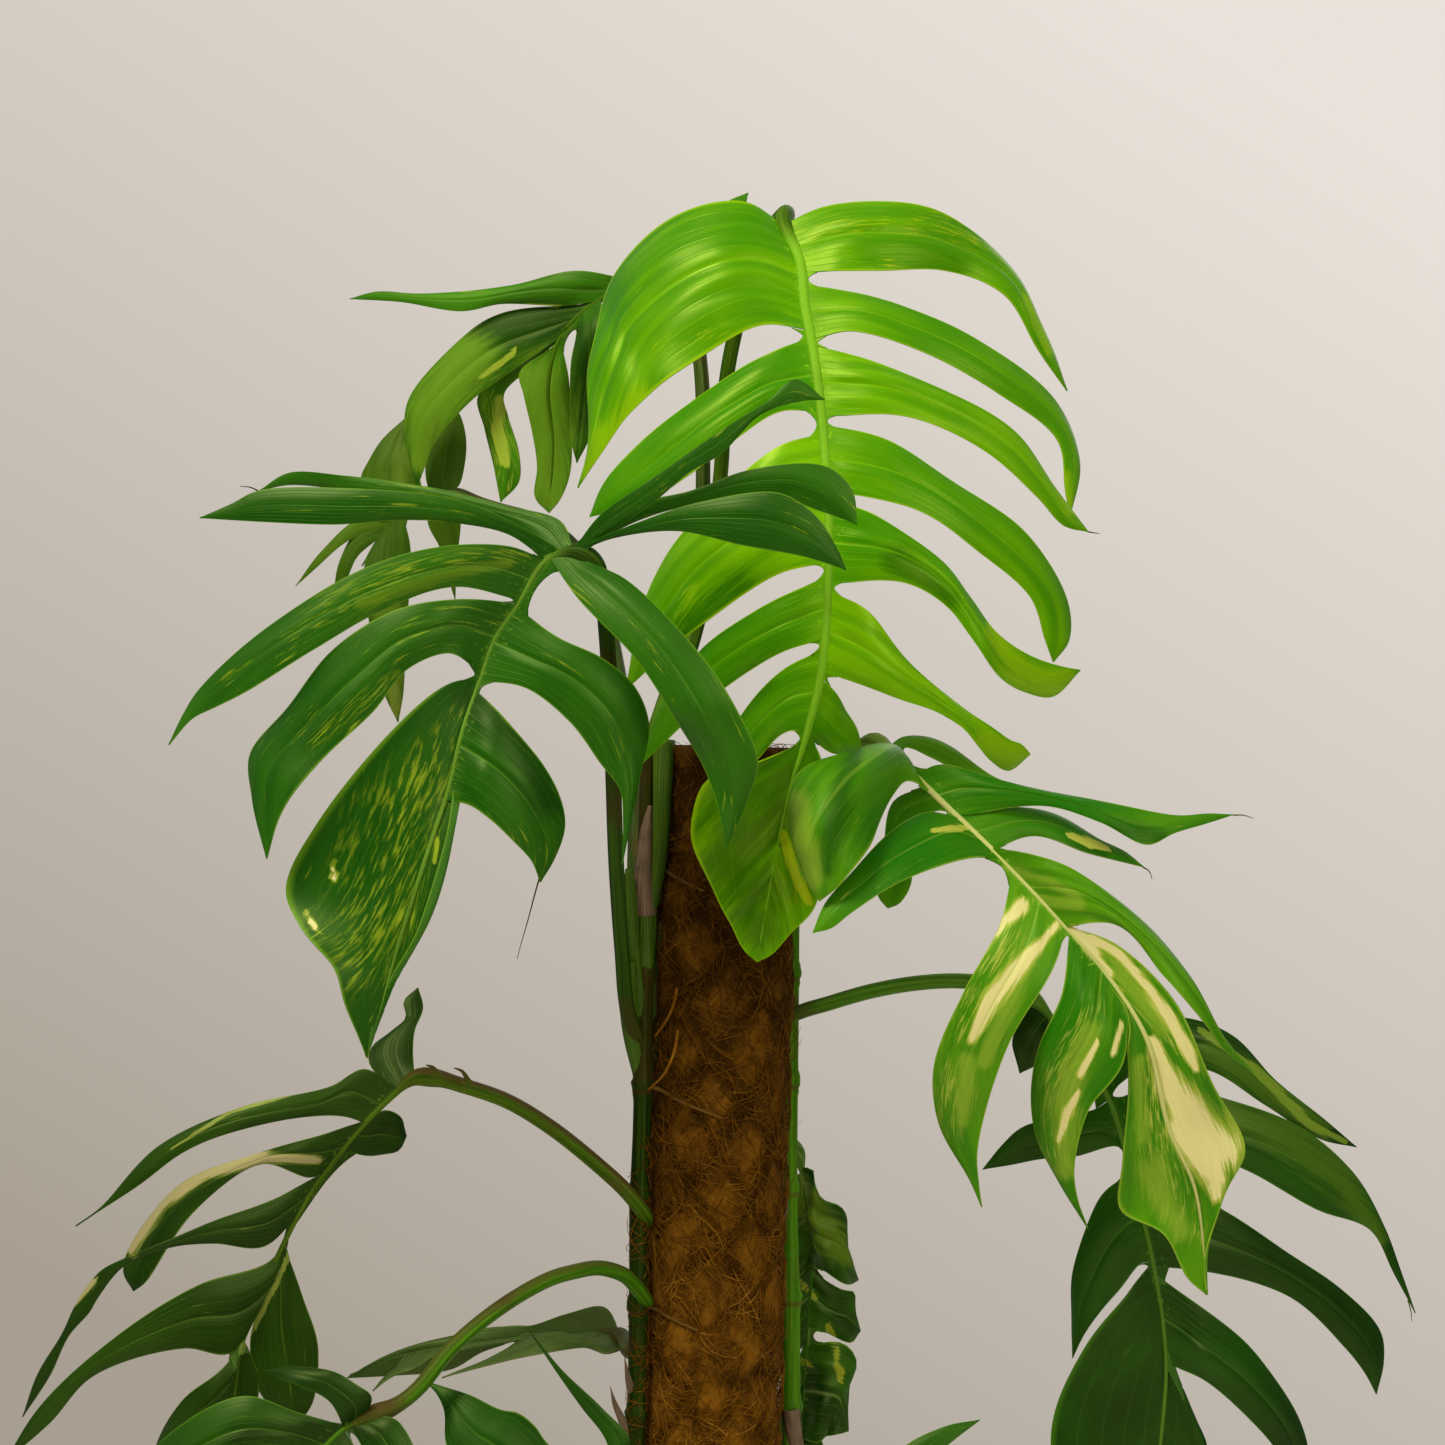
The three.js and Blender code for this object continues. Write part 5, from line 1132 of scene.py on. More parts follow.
def leaf_recipe():
    colours = ("Deep", "Light", "Vein", "Edge", "Fleck", "Cream")
    group, given = new_recipe("leaf_skin", colours, ("Flecks", "Marbling", "Striping", "Rough"))
    deep, light, vein, rim, fleck, cream, flecks, marbling, striping, rough = given
    side, along = abs(attribute(group, "across")), attribute(group, "along")
    run, where = skin_place(group), object_place(group)
    lines = run.stretched(1.6, 22.0, 1.0).grain(1.0, 3.0)
    share = where.grain(16.0) * 0.85 + lines * 0.4 + attribute(group, "tone") * 0.22
    colour = deep.towards(light, share.ease(0.45, 1.05))
    stripes = (run.part("Y") * (2 * math.pi * 100 / RIB_PITCH)).maths("SINE")
    colour = colour.towards(deep, stripes.ease(0.0, 1.0) * striping)
    cloud = (run.stretched(0.9, 3.0, 1.0).grain(2.2) - 0.5) * 0.5
    colour = marbled(group, colour, run, cloud, fleck, flecks, marbling)
    # darker is the colour of painted shade, and paler that of a paler tone with painted sheen
    darker, paler = deep.towards(NEARLY_BLACK, 0.55), light.towards(fleck, 0.28)
    goals = {"darker": darker, "paler": paler, "fleck": fleck, "cream": cream}
    colour = marked(group, colour, run, cloud, goals)
    # the fine side veins, the main one, its foot, the dots beside the midrib and the rim
    fine = abs((side * 5.0).maths("FRACT") - 0.5).ease(0.42, 0.5)
    main = side.ease(0.06, 0.01) * along.ease(1.0, 0.2)
    dots = where.grain(620.0, 0.0).ease(0.7, 0.76) * along.ease(0.06, 0.03)
    for shown in (fine * 0.1, main * 0.35, along.ease(0.02, 0.0) * 0.35, dots * 0.6):
        colour = colour.towards(vein, shown)
    colour = colour.towards(rim, side.ease(0.94, 1.0) * along.ease(0.05, 0.12) * 0.7)
    return end_recipe(group, colour, rough + lines * 0.16, lines * 0.7 - fine * 0.25 - main * 0.6)

# %% Leaf colours
LEAF_SKIN = leaf_recipe()
LEAF_BUMP = 0.0002
LEAF_SHINE = shine(0.36, 0.78, 1.0, 0.3)
SHINES = {"leaf_top": shine(0.38, 0.85, 1.0, 0.12), "leaf_right": shine(0.26, 0.78, 1.0, 0.3)}
STRIPING = {"leaf_top": 0.4, "leaf_right": 0.3, "leaf_back_right": 0.4}
STRIPING_USUAL = 0.18
CREAM_WHITE = (222, 212, 138)
# the side leaf's cream is duller: its own beige, darkened by painted shade
SHADED_CREAMS = {"leaf_left_side": (168, 156, 104)}
# deep green, light green, vein, edge and fleck
SKINS = {
    "leaf_top": ((53, 131, 0), (119, 181, 0), (132, 192, 14), (160, 200, 10), (176, 196, 20)),
    "leaf_left": ((8, 71, 0), (42, 103, 4), (88, 134, 28), (110, 156, 26), (150, 170, 30)),
    "leaf_right": ((26, 108, 0), (90, 150, 6), (140, 174, 50), (150, 180, 46), (196, 198, 76)),
    "leaf_right_lower": ((1, 42, 0), (26, 80, 2), (76, 128, 30), (66, 118, 12), (120, 146, 40)),
    "leaf_left_side": ((4, 38, 0), (34, 70, 0), (96, 124, 34), (100, 130, 26), (140, 150, 60)),
    "leaf_left_front": ((6, 46, 0), (32, 82, 2), (84, 130, 24), (90, 134, 24), (110, 140, 36)),
    "leaf_back": ((20, 70, 0), (66, 136, 0), (96, 134, 16), (106, 140, 10), (180, 200, 60)),
    "leaf_far": ((34, 72, 0), (84, 120, 10), (92, 120, 34), (92, 122, 26), (120, 140, 46)),
    "leaf_left_back": ((26, 56, 12), (78, 98, 40), (110, 124, 64), (104, 120, 50), (120, 140, 56)),
    "leaf_left_low": ((2, 42, 0), (22, 76, 2), (100, 140, 26), (100, 142, 20), (120, 140, 36)),
    "leaf_back_right": ((8, 56, 0), (62, 114, 8), (146, 174, 84), (100, 150, 30), (160, 164, 30)),
    "leaf_right_low": ((10, 64, 0), (40, 104, 2), (104, 144, 26), (104, 154, 26), (120, 140, 36)),
}
# how many flecks, how strong they are, and roughness
FLECKING = {
    "leaf_top": (0.05, 0.35, 0.25), "leaf_left": (0.3, 0.6, 0.36), "leaf_right": (0.12, 0.5, 0.34),
    "leaf_right_lower": (0.0, 0.3, 0.28), "leaf_left_side": (0.1, 0.5, 0.36),
    "leaf_left_front": (0.0, 0.3, 0.34), "leaf_back": (0.1, 0.5, 0.42), "leaf_far": (0.0, 0.3, 0.46),
    "leaf_left_back": (0.0, 0.3, 0.4), "leaf_left_low": (0.0, 0.3, 0.36),
    "leaf_back_right": (0.2, 0.5, 0.36), "leaf_right_low": (0.0, 0.3, 0.36),
}
# the underside is moved a little towards a pale grey green, and is duller
UNDERSIDE, UNDERSIDE_SHARE, UNDERSIDE_DULL = (128, 164, 76), 0.32, 0.16

def blended(colour, other, share):
    return tuple(round(a + (b - a) * share) for a, b in zip(colour, other))

def leaf_materials(name):
    """The upper and the lower face of one leaf."""
    looks = dict(zip(("Deep", "Light", "Vein", "Edge", "Fleck"), SKINS[name]))
    flecks, marbling, rough = FLECKING[name]
    values = {"Flecks": flecks, "Marbling": marbling, "Striping": STRIPING.get(name, STRIPING_USUAL)}
    values["Cream"] = screen(*SHADED_CREAMS.get(name, CREAM_WHITE))
    made = []
    for face, share, dull in (("upper", 0.0, 0.0), ("under", UNDERSIDE_SHARE, UNDERSIDE_DULL)):
        colours = all_screen({key: blended(value, UNDERSIDE, share) for key, value in looks.items()})
        given = {**colours, **values, "Rough": rough + dull}
        made.append(finish(f"{name}_{face}", LEAF_SKIN, given, LEAF_BUMP, SHINES.get(name, LEAF_SHINE)))
    return made


for leaf_name, leaf_outline in OUTLINES.items():
    blade = leaf_blade(leaf_name, leaf_outline)
    dress(blade, leaf_materials(leaf_name), [leaf_name])
    print(blade.name, len(blade.data.polygons), "faces")

# %% [markdown]
# ## Tubes
# Petioles, midribs, stems, roots and fibres are all tubes along a smooth line. A grid is rolled round the
# line: its columns go round and its rows go along. The rings turn as little as they can from one to the next.

# %% Tubes
# one unit of a tube's skin, in metres along it
SKIN_UNIT = 0.1
# hardly any fibre runs in this direction
OFF_AXIS = (0.31, 0.17, 0.93)

def turning_frames(path):
    """Two directions square to the path at each point, which turn as little as possible along it."""
    along = unit(np.gradient(path, axis=0))
    side = np.array((0.0, -1.0, 0.0)) if abs(along[0][1]) < 0.9 else np.array((1.0, 0.0, 0.0))
    sides = []
    for direction in along:
        side = side - direction * (side @ direction)
        side = side / np.linalg.norm(side)
        sides.append(side)
    sides = np.array(sides)
    return sides, np.cross(along, sides)

def roll_tube(bm, path, radii, sides):
    """Rolls a grid round the path. radii has one value for each ring, or one for each ring and side."""
    path = np.asarray(path, float)
    rings = len(path)
    radii = np.broadcast_to(np.asarray(radii, float).reshape(rings, -1), (rings, sides))
    radii = np.hstack([radii, radii[:, :1]])[..., None]
    side, up = turning_frames(path)
    turn = np.linspace(0, 2 * math.pi, sides + 1)[None, :, None]
    points = path[:, None] + radii * (np.cos(turn) * side[:, None] + np.sin(turn) * up[:, None])
    lay_grid(bm, sides, rings - 1, points)
    around = np.broadcast_to(np.linspace(0, 1, sides + 1)[None], (rings, sides + 1))
    reach = np.broadcast_to(distances(path)[:, None] / SKIN_UNIT, around.shape)
    return np.stack([around, reach], axis=-1).reshape(-1, 2)

def ringed(value, path, sides):
    """Repeats a value, or one for each ring, for every vertex of a rolled tube."""
    return np.repeat(np.broadcast_to(value, len(path)), sides + 1)

def tube_object(name, tubes):
    """One object from several tubes: each a path, its radii, its sides and what its rings hold."""
    bm = bmesh.new()
    uv = [roll_tube(bm, path, radii, sides) for path, radii, sides, _ in tubes]
    held = {}
    for key in tubes[0][-1]:
        held[key] = np.concatenate([ringed(looks[key], path, sides) for path, _, sides, looks in tubes])
    return to_object(bm, name, np.vstack(uv), held, close=True)

def tube_bundle(name, paths, radii, sides, attributes):
    """Many short tubes with the same number of rings, cut from one long rolled sheet."""
    count, rings = paths.shape[:2]
    along = unit(np.gradient(paths, axis=1))
    side = unit(np.cross(along, OFF_AXIS))
    up = np.cross(along, side)
    turn = np.linspace(0, 2 * math.pi, sides + 1)[:, None]
    round_it = np.cos(turn) * side[:, :, None] + np.sin(turn) * up[:, :, None]
    bm = bmesh.new()
    lay_grid(bm, sides, count * rings - 1, paths[:, :, None] + radii[..., None, None] * round_it)
    between = [face for number, face in enumerate(bm.faces) if number // sides % rings == rings - 1]
    bmesh.ops.delete(bm, geom=between, context="FACES")
    whole = {key: np.repeat(values, rings * (sides + 1)) for key, values in attributes.items()}
    return to_object(bm, name, None, whole, close=True)

# %% [markdown]
# ## Petioles and midribs
# Each leaf hangs on a petiole that leaves the stem, and ends in a short swollen joint that turns the blade to
# the light. The midrib goes on from there, thinner and thinner. One tube makes both. The petiole has a groove
# on its upper side. A petiole starts inside its stem, so the lines of the two stems come first.

# %% Where the stems run
# x, y and z in mm
STEM_LEFT = np.array([
    (-38, -14, 123), (-38, -14, 176), (-37, -14, 220), (-33, -15, 300), (-31, -16.5, 405), (-31.5, -16, 465),
    (-32.5, -15, 507), (-32, -15.5, 540), (-32.5, -14.5, 592), (-33, -13, 650), (-33, -12, 706),
])
STEM_RIGHT = np.array([
    (39, 10, 123), (39, 10, 176), (37, 9, 220), (35, 8.5, 300), (34.5, 8.5, 405), (33, 14, 465),
    (31, 18, 507), (29.5, 20, 592), (28, 21.5, 668),
])
FOOT_REACH, FOOT_CLOSE = 26, 9
# two petioles clasp the front of the left stem and end between it and the pole
CLASPING = {
    "leaf_left_side": [(650, 1226, -11), (643, 1212, -19), (625, 1190, -24)],
    "leaf_left_front": [(650, 1310, -11), (643, 1296, -20), (631, 1281, -27)],
}

def stem_near(spot):
    """The nearest point of the two stems' centre lines to a spot, all in metres, or None."""
    line = np.vstack([smooth_line(drawn * MM, 400) for drawn in (STEM_LEFT, STEM_RIGHT)])
    gaps = np.linalg.norm(line - spot, axis=1)
    return line[gaps.argmin()] if gaps.min() < FOOT_REACH * MM else None


print("stem lengths in mm:", [round(line_length(drawn)) for drawn in (STEM_LEFT, STEM_RIGHT)])

# %% Petiole skin
STALK_SHINE = shine(0.2, 0.78, 1.0, 0.3)

def stalk_recipe():
    group, given = new_recipe("stalk_skin", ("Green", "Light", "Brown", "Rib"), ("Browning", "Tan"))
    green, light, brown, rib, browning, tan = given
    where = object_place(group)
    lines = skin_place(group).stretched(14.0, 1.4, 1.0).grain(1.0, 3.0)
    patches = where.grain(26.0, 3.0)
    specks = where.grain(420.0).ease(0.66, 0.74)
    upper = attribute(group, "upper") + patches * 0.5
    colour = green.towards(light, lines.ease(0.35, 0.7))
    browned = (patches + browning * 0.3).ease(0.56, 0.7) * 0.65
    dry = attribute(group, "dry").ease(0.3, 0.7)
    for shown in (browned, specks * 0.3, dry, upper.ease(0.3, 0.8) * tan):
        colour = colour.towards(brown, shown)
    shaded_rib = rib.towards(green, patches.ease(0.35, 0.7) * 0.25)
    colour = colour.towards(shaded_rib, attribute(group, "rib"))
    return end_recipe(group, colour, lines * 0.25 + 0.38, lines + specks * 0.3)


STALK_SKIN = stalk_recipe()

def stalk_material(name, green, light, brown, rib, browning, tan=0.0):
    values = all_screen({"Green": green, "Light": light, "Brown": brown, "Rib": rib})
    return finish(name, STALK_SKIN, {**values, "Browning": browning, "Tan": tan}, 0.0004, STALK_SHINE)


# green, light green, brown, midrib, how brown, and how brown the upper side is
STALKS = {
    "leaf_top": ((48, 84, 6), (90, 124, 16), (90, 76, 34), (124, 182, 30), 0.1),
    "leaf_left": ((22, 54, 2), (50, 84, 8), (60, 44, 16), (104, 144, 40), 0.2),
    "leaf_right": ((60, 100, 16), (130, 156, 60), (110, 84, 46), (206, 206, 120), 0.0),
    "leaf_right_lower": ((66, 118, 20), (104, 152, 44), (94, 74, 44), (84, 124, 34), 0.0),
    "leaf_left_side": ((46, 78, 2), (82, 112, 12), (82, 62, 26), (76, 104, 16), 0.3, 0.9),
    "leaf_left_front": ((48, 94, 2), (80, 130, 10), (76, 48, 26), (70, 118, 14), 0.2, 0.6),
    "leaf_back": ((40, 62, 10), (84, 104, 36), (88, 60, 32), (74, 112, 4), 0.5),
    "leaf_far": ((40, 62, 14), (70, 90, 36), (76, 56, 32), (70, 96, 26), 0.3),
    "leaf_left_back": ((44, 70, 18), (76, 100, 36), (76, 56, 32), (70, 96, 40), 0.3),
    "leaf_left_low": ((50, 92, 16), (84, 126, 30), (90, 66, 40), (84, 126, 30), 0.1),
    "leaf_back_right": ((60, 100, 14), (120, 152, 60), (90, 66, 40), (50, 100, 10), 0.1),
    "leaf_right_low": ((50, 96, 16), (90, 134, 36), (90, 66, 40), (90, 134, 30), 0.1),
}

# %% Petioles and midribs
PETIOLE_RADIUS = 3.2
JOINT_SWELL, JOINT_LENGTH = 0.9, 13.0
GROOVE, GROOVE_WIDTH = 0.45, 0.5
# a petiole is this much thinner at its foot, and full after so many mm
FOOT_LEFT, FOOT_TAPER = 0.5, 9.0
STALK_SIDES = 14
STALK_STEP = 2.0
# dry threads at the tips of some lobes
THREADS = {
    "leaf_left": [
        [(540, 876, -100), (536, 890, -99), (528, 920, -98), (521, 944, -98), (518, 956, -98)],
        [(259, 491, -84), (250, 487, -84), (240, 486, -84)],
    ],
    "leaf_top": [[(1086, 531, -50), (1092, 532, -50), (1098, 533, -50)]],
    "leaf_right_lower": [[(1413, 1306, 0), (1416, 1318, 0), (1417, 1328, 0)]],
    "leaf_right": [
        [(1230, 815, -38), (1240, 815, -38), (1250, 818, -38)],
        [(1140, 866, -50), (1146, 870, -50), (1149, 878, -50)],
    ],
}
THREAD_RADIUS = 0.35
# dried scales on a petiole: pixel x, pixel y, depth, then the pixel steps to the tip
SCALES = {"leaf_left_side": [(440, 1077, -46, -14, -12), (470, 1084, -46, -16, -16)]}
# when the nearest point of a blade is looked for, its depth counts for little
DEPTH_WEIGHT = (1.0, 0.15, 1.0)
# midrib radius in mm, at its foot and at its tip
RIB_RADII = {"leaf_top": (3.0, 1.6), "leaf_right": (1.9, 0.9), "leaf_back_right": (1.0, 0.6)}
RIB_RADII_USUAL = (1.7, 0.75)
RIB_SUNK = 0.3
# where a midrib starts and ends to thin, and how much is left of it
RIB_FADES = {"leaf_top": (0.64, 0.84, 0.22)}
RIB_FADE_USUAL = (0.7, 1.0, 0.5)

def rib_radius(past, foot, tip, fade):
    """The radius of a midrib in mm at a share of its length."""
    begin, end, left = fade
    return (foot + (tip - foot) * np.sqrt(past)) * (left + (1 - left) * eased(past, end, begin))

def stalk_radii(path, petiole_share, foot, tip, fade):
    """A radius for each ring and side: petiole with its groove, swollen joint, then a tapering midrib."""
    total = line_length(path) / MM
    share = np.linspace(0, 1, len(path))
    past = np.clip((share - petiole_share) / (1 - petiole_share), 0, 1)
    gap = (share - petiole_share) * total
    radius = PETIOLE_RADIUS + (rib_radius(past, foot, tip, fade) - PETIOLE_RADIUS) * eased(gap, -4, 10)
    radius = radius + JOINT_SWELL * np.exp(-((gap + JOINT_LENGTH * 0.4) / (JOINT_LENGTH / 2)) ** 2)
    radius = radius * (FOOT_LEFT + (1 - FOOT_LEFT) * eased(share * total, 0, FOOT_TAPER))
    turn = np.linspace(0, 2 * math.pi, STALK_SIDES, endpoint=False)
    groove = GROOVE * np.exp(-(np.minimum(turn, 2 * math.pi - turn) / GROOVE_WIDTH) ** 2)
    return (radius[:, None] - groove[None] * (radius[:, None] / PETIOLE_RADIUS)) * MM, eased(gap, 0, 16)

def scale_tube(x, y, depth, step_x, step_y):
    """A dried, pointed scale that stands off a petiole."""
    middle, tip = (x + step_x * 0.5, y + step_y * 0.8, depth), (x + step_x, y + step_y, depth - 1)
    line = smooth_line(place([(x, y, depth), middle, tip]), 8)
    looks = {"rib": 0.0, "dry": np.linspace(0.2, 1, len(line))}
    return line, np.linspace(1.5, 0.25, len(line)) * MM, 6, looks

def thread_tube(drawn, blade):
    """A dry thread that starts on its blade. Where it starts, the front view counts more than the depth."""
    line = smooth_line(place(drawn), 14)
    mesh = bpy.data.objects[blade].data
    spots = np.zeros(len(mesh.vertices) * 3)
    mesh.vertices.foreach_get("co", spots)
    spots = spots.reshape(-1, 3)
    gaps = np.linalg.norm((spots - line[0]) * DEPTH_WEIGHT, axis=1)
    step = spots[gaps.argmin()] - line[0]
    print(blade, "thread moved by", (step / MM).round(1), "mm")
    radii = np.linspace(1, 0.35, len(line)) * THREAD_RADIUS * MM
    return line + step, radii, 5, {"rib": 0.0, "dry": 0.6}

def with_upper(made):
    """Stores at every vertex how much its skin faces the sky."""
    normals = np.zeros(len(made.data.vertices) * 3)
    made.data.vertex_normals.foreach_get("vector", normals)
    up = made.data.attributes.new("upper", "FLOAT", "POINT")
    up.data.foreach_set("value", np.clip(normals.reshape(-1, 3)[:, 2], 0, 1))
    return made

def stalk_line(name, outline):
    """The drawn points of petiole and midrib in metres, from inside the stem to the tip."""
    drawn = place(outline["petiole"] + outline["midrib"])
    foot = stem_near(drawn[0])
    if name in CLASPING:
        return np.vstack([place(CLASPING[name]), drawn[2:]])
    if foot is None:
        return drawn
    close = np.linalg.norm(foot - drawn[0]) < FOOT_CLOSE * MM
    return np.vstack([foot, drawn[1:] if close else drawn])

def leaf_stalk(name, outline):
    drawn = stalk_line(name, outline)
    whole = line_length(smooth_line(drawn, 200))
    part = line_length(smooth_line(drawn[:len(drawn) - len(outline["midrib"]) + 1], 200))
    path = smooth_line(drawn, int(whole / MM / STALK_STEP))
    fade = RIB_FADES.get(name, RIB_FADE_USUAL)
    radii, on_rib = stalk_radii(path, part / whole, *RIB_RADII.get(name, RIB_RADII_USUAL), fade)
    path[:, 1] += on_rib * radii.mean(axis=1) * RIB_SUNK
    tubes = [(path, radii, STALK_SIDES, {"rib": on_rib, "dry": 0.0})]
    tubes += [thread_tube(thread, name + "_blade") for thread in THREADS.get(name, [])]
    tubes += [scale_tube(*scale) for scale in SCALES.get(name, [])]
    return with_upper(tube_object(name + "_stalk", tubes))


for leaf_name, leaf_outline in OUTLINES.items():
    stalk = leaf_stalk(leaf_name, leaf_outline)
    dress(stalk, [stalk_material(stalk.name, *STALKS[leaf_name])])

# %% [markdown]
# ## Stems
# Two stems climb the pole. Each is a string of short internodes: at every node a ring of leaf scar stands
# proud, and between the nodes the skin is finely ridged. The tube is rolled with a radius for each ring and
# side, so the scars and ridges are real form. Thin dry roots leave the nodes and lie half sunk in the coir.

# %% Stems and roots
STEM_RADIUS = 3.8
STEM_SWELL = 1.1
STEM_PITCH, STEM_FIRST_NODE = 46, 190
STEM_SIDES, STEM_STEP = 20, 1.6
STEM_TIP_LEFT = 0.45
ROOT_RADIUS, ROOT_REACH, ROOT_SIDES = 0.9, 30.0, 8
# height, turn round the pole in radians, drop
LEFT_ROOTS = [
    (328, 1.1, 14), (420, -0.7, 10), (466, 0.9, 8), (558, 1.2, 12), (604, -0.6, 12), (650, 0.9, 10),
]
RIGHT_ROOTS = [(328, -1.0, 12), (420, 0.8, 10), (512, -0.9, 10), (604, 0.9, 10)]
# green, light green, brown, a midrib colour that a stem doesn't use, and how brown
# the left stem is darker than the right one: its own dark green and brown, with painted shade
SHADED_LEFT_COLOURS = ((14, 34, 0), (36, 62, 2), (56, 40, 10), (60, 80, 10), 0.4)
RIGHT_COLOURS = ((56, 108, 4), (88, 140, 18), (84, 60, 26), (60, 80, 10), 0.1)
ROOT_COLOURS = ((70, 46, 14), (96, 62, 20), (110, 74, 26), (60, 80, 10), 0.6)

def from_node(height):
    """How far a height on a stem lies above its nearest node, in mm."""
    return (height - STEM_FIRST_NODE + STEM_PITCH / 2) % STEM_PITCH - STEM_PITCH / 2

def stem_radii(height, seed):
    off = from_node(height)
    swell = STEM_SWELL * np.exp(-(off / 3.2) ** 2) + 0.35 * np.exp(-((off + 5) / 1.1) ** 2)
    scar = 0.25 * np.sin(off * 2.4) * np.exp(-(off / 5) ** 2)
    turn = np.linspace(0, 2 * math.pi, STEM_SIDES, endpoint=False)
    ridges = 0.12 * np.cos(5 * turn[None] + seed + height[:, None] * 0.02)
    taper = eased(height, height[-1] + 1, height[-1] - 9) * (1 - STEM_TIP_LEFT) + STEM_TIP_LEFT
    return ((STEM_RADIUS + swell + scar)[:, None] + ridges) * taper[:, None] * MM

def make_stem(name, drawn, seed, colours):
    line = drawn * MM
    path = smooth_line(line, int(line_length(line) / MM / STEM_STEP))
    height = path[:, 2] / MM
    dry = 0.6 * np.exp(-((from_node(height) + 3) / 2.2) ** 2)
    tube = (path, stem_radii(height, seed), STEM_SIDES, {"rib": 0.0, "dry": dry})
    made = tube_object(name + "_skin", [tube])
    dress(made, [stalk_material(name + "_skin", *colours)], [name])

def root_tube(stem, height, turn, drop):
    """A thin root that leaves the stem at a height and winds round the pole."""
    start = read_line(stem, stem[:, 2], height)
    begin = math.atan2(start[1], start[0])
    points = [tuple(start)]
    for share in (0.2, 0.4, 0.6, 0.8, 1.0):
        angle = begin + turn * share
        points.append((ROOT_REACH * math.cos(angle), ROOT_REACH * math.sin(angle), height - drop * share))
    root = smooth_line(np.array(points) * MM, 30)
    radii = np.linspace(1.15, 0.55, len(root)) * (1 + 0.12 * np.sin(np.arange(len(root)) * 1.7 + height))
    looks = {"rib": 0.0, "dry": np.linspace(0.0, 0.6, len(root))}
    return root, radii * ROOT_RADIUS * MM, ROOT_SIDES, looks

def make_roots(name, drawn, roots):
    made = tube_object(name + "_roots", [root_tube(drawn, *root) for root in roots])
    dress(made, [stalk_material(name + "_roots", *ROOT_COLOURS)])
    print(made.name, len(made.data.polygons), "faces")


make_stem("stem_left", STEM_LEFT, 0.4, SHADED_LEFT_COLOURS)
make_roots("stem_left", STEM_LEFT, LEFT_ROOTS)
make_stem("stem_right", STEM_RIGHT, 2.1, RIGHT_COLOURS)
make_roots("stem_right", STEM_RIGHT, RIGHT_ROOTS)

# %% [markdown]
# ## Sheaths
# At a node the foot of the old petiole leaves a sheath: a thin half pipe that clasps the stem. Fresh ones are
# olive green, and dried ones are brownish paper. Each is a grid bent round the stem that narrows towards its
# free end, with the Solidify modifier for its thickness.

# %% Sheaths
SHEATH_ROWS, SHEATH_COLUMNS = 30, 14
SHEATH_THICKNESS = 0.0005
SHEATH_NARROWING = 2.4
# a line in the front view with depths, then radius in mm at foot and top, half opening in turns,
# how dry, and the share of the width that is left at the top
SHEATHS = [
    ([(652, 906, -15), (659, 860, -18), (662, 800, -19), (664, 740, -17)], 2.4, 4.4, 0.4, 0.0, 0.8),
    ([(645, 914, -14.5), (643, 884, -17), (645, 850, -17.5), (649, 806, -16)], 4.7, 1.8, 0.46, 1.0, 0.15),
    ([(643, 1012, -14.5), (644, 976, -14.5), (645, 940, -14.5), (645, 898, -14.5)], 3.2, 4.7, 0.5, 0.0, 0.3),
    ([(640, 1016, -15), (634, 960, -18), (631, 915, -20), (629, 868, -21)], 3.2, 2.2, 0.5, 0.0, 0.2),
    ([(641, 1078, -14), (633, 1042, -17), (628, 1000, -21), (627, 960, -25)], 3.0, 3.9, 0.5, 0.0, 0.6),
    ([(654, 1070, -8), (655, 1020, -8), (656, 970, -8), (658, 920, -8)], 2.4, 2.6, 0.5, 0.0, 0.5),
    ([(634, 1446, -14), (624, 1424, -18), (615, 1404, -22), (610, 1386, -25)], 2.4, 0.4, 0.3, 0.9, 0.1),
    ([(636, 1404, -14), (630, 1386, -19), (626, 1370, -24), (624, 1356, -27)], 2.2, 0.4, 0.25, 0.8, 0.1),
    ([(797, 1456, 8), (795, 1440, 7), (793, 1424, 6), (791, 1408, 5)], 3.2, 3.4, 0.36, 1.0, 0.6),
]
SHEATH_COLOURS = {"Green": (42, 74, 2), "Light": (78, 106, 6), "Paper": (132, 108, 82), "Stain": (78, 60, 38)}

def sheath_recipe():
    group, (green, light, paper, stain) = new_recipe("sheath_skin", SHEATH_COLOURS)
    lines = skin_place(group).stretched(46.0, 2.0, 1.0).grain(1.0, 3.0, 0.6)
    patches = object_place(group).grain(60.0, 4.0)
    fresh = green.towards(light, lines.ease(0.35, 0.65))
    dried = paper.towards(stain, lines.ease(0.4, 0.7)).towards(stain, patches.ease(0.55, 0.7))
    dryness = attribute(group, "dry") + patches * 0.4
    return end_recipe(group, fresh.towards(dried, dryness.ease(0.5, 0.8)), lines * 0.2 + 0.45, lines)

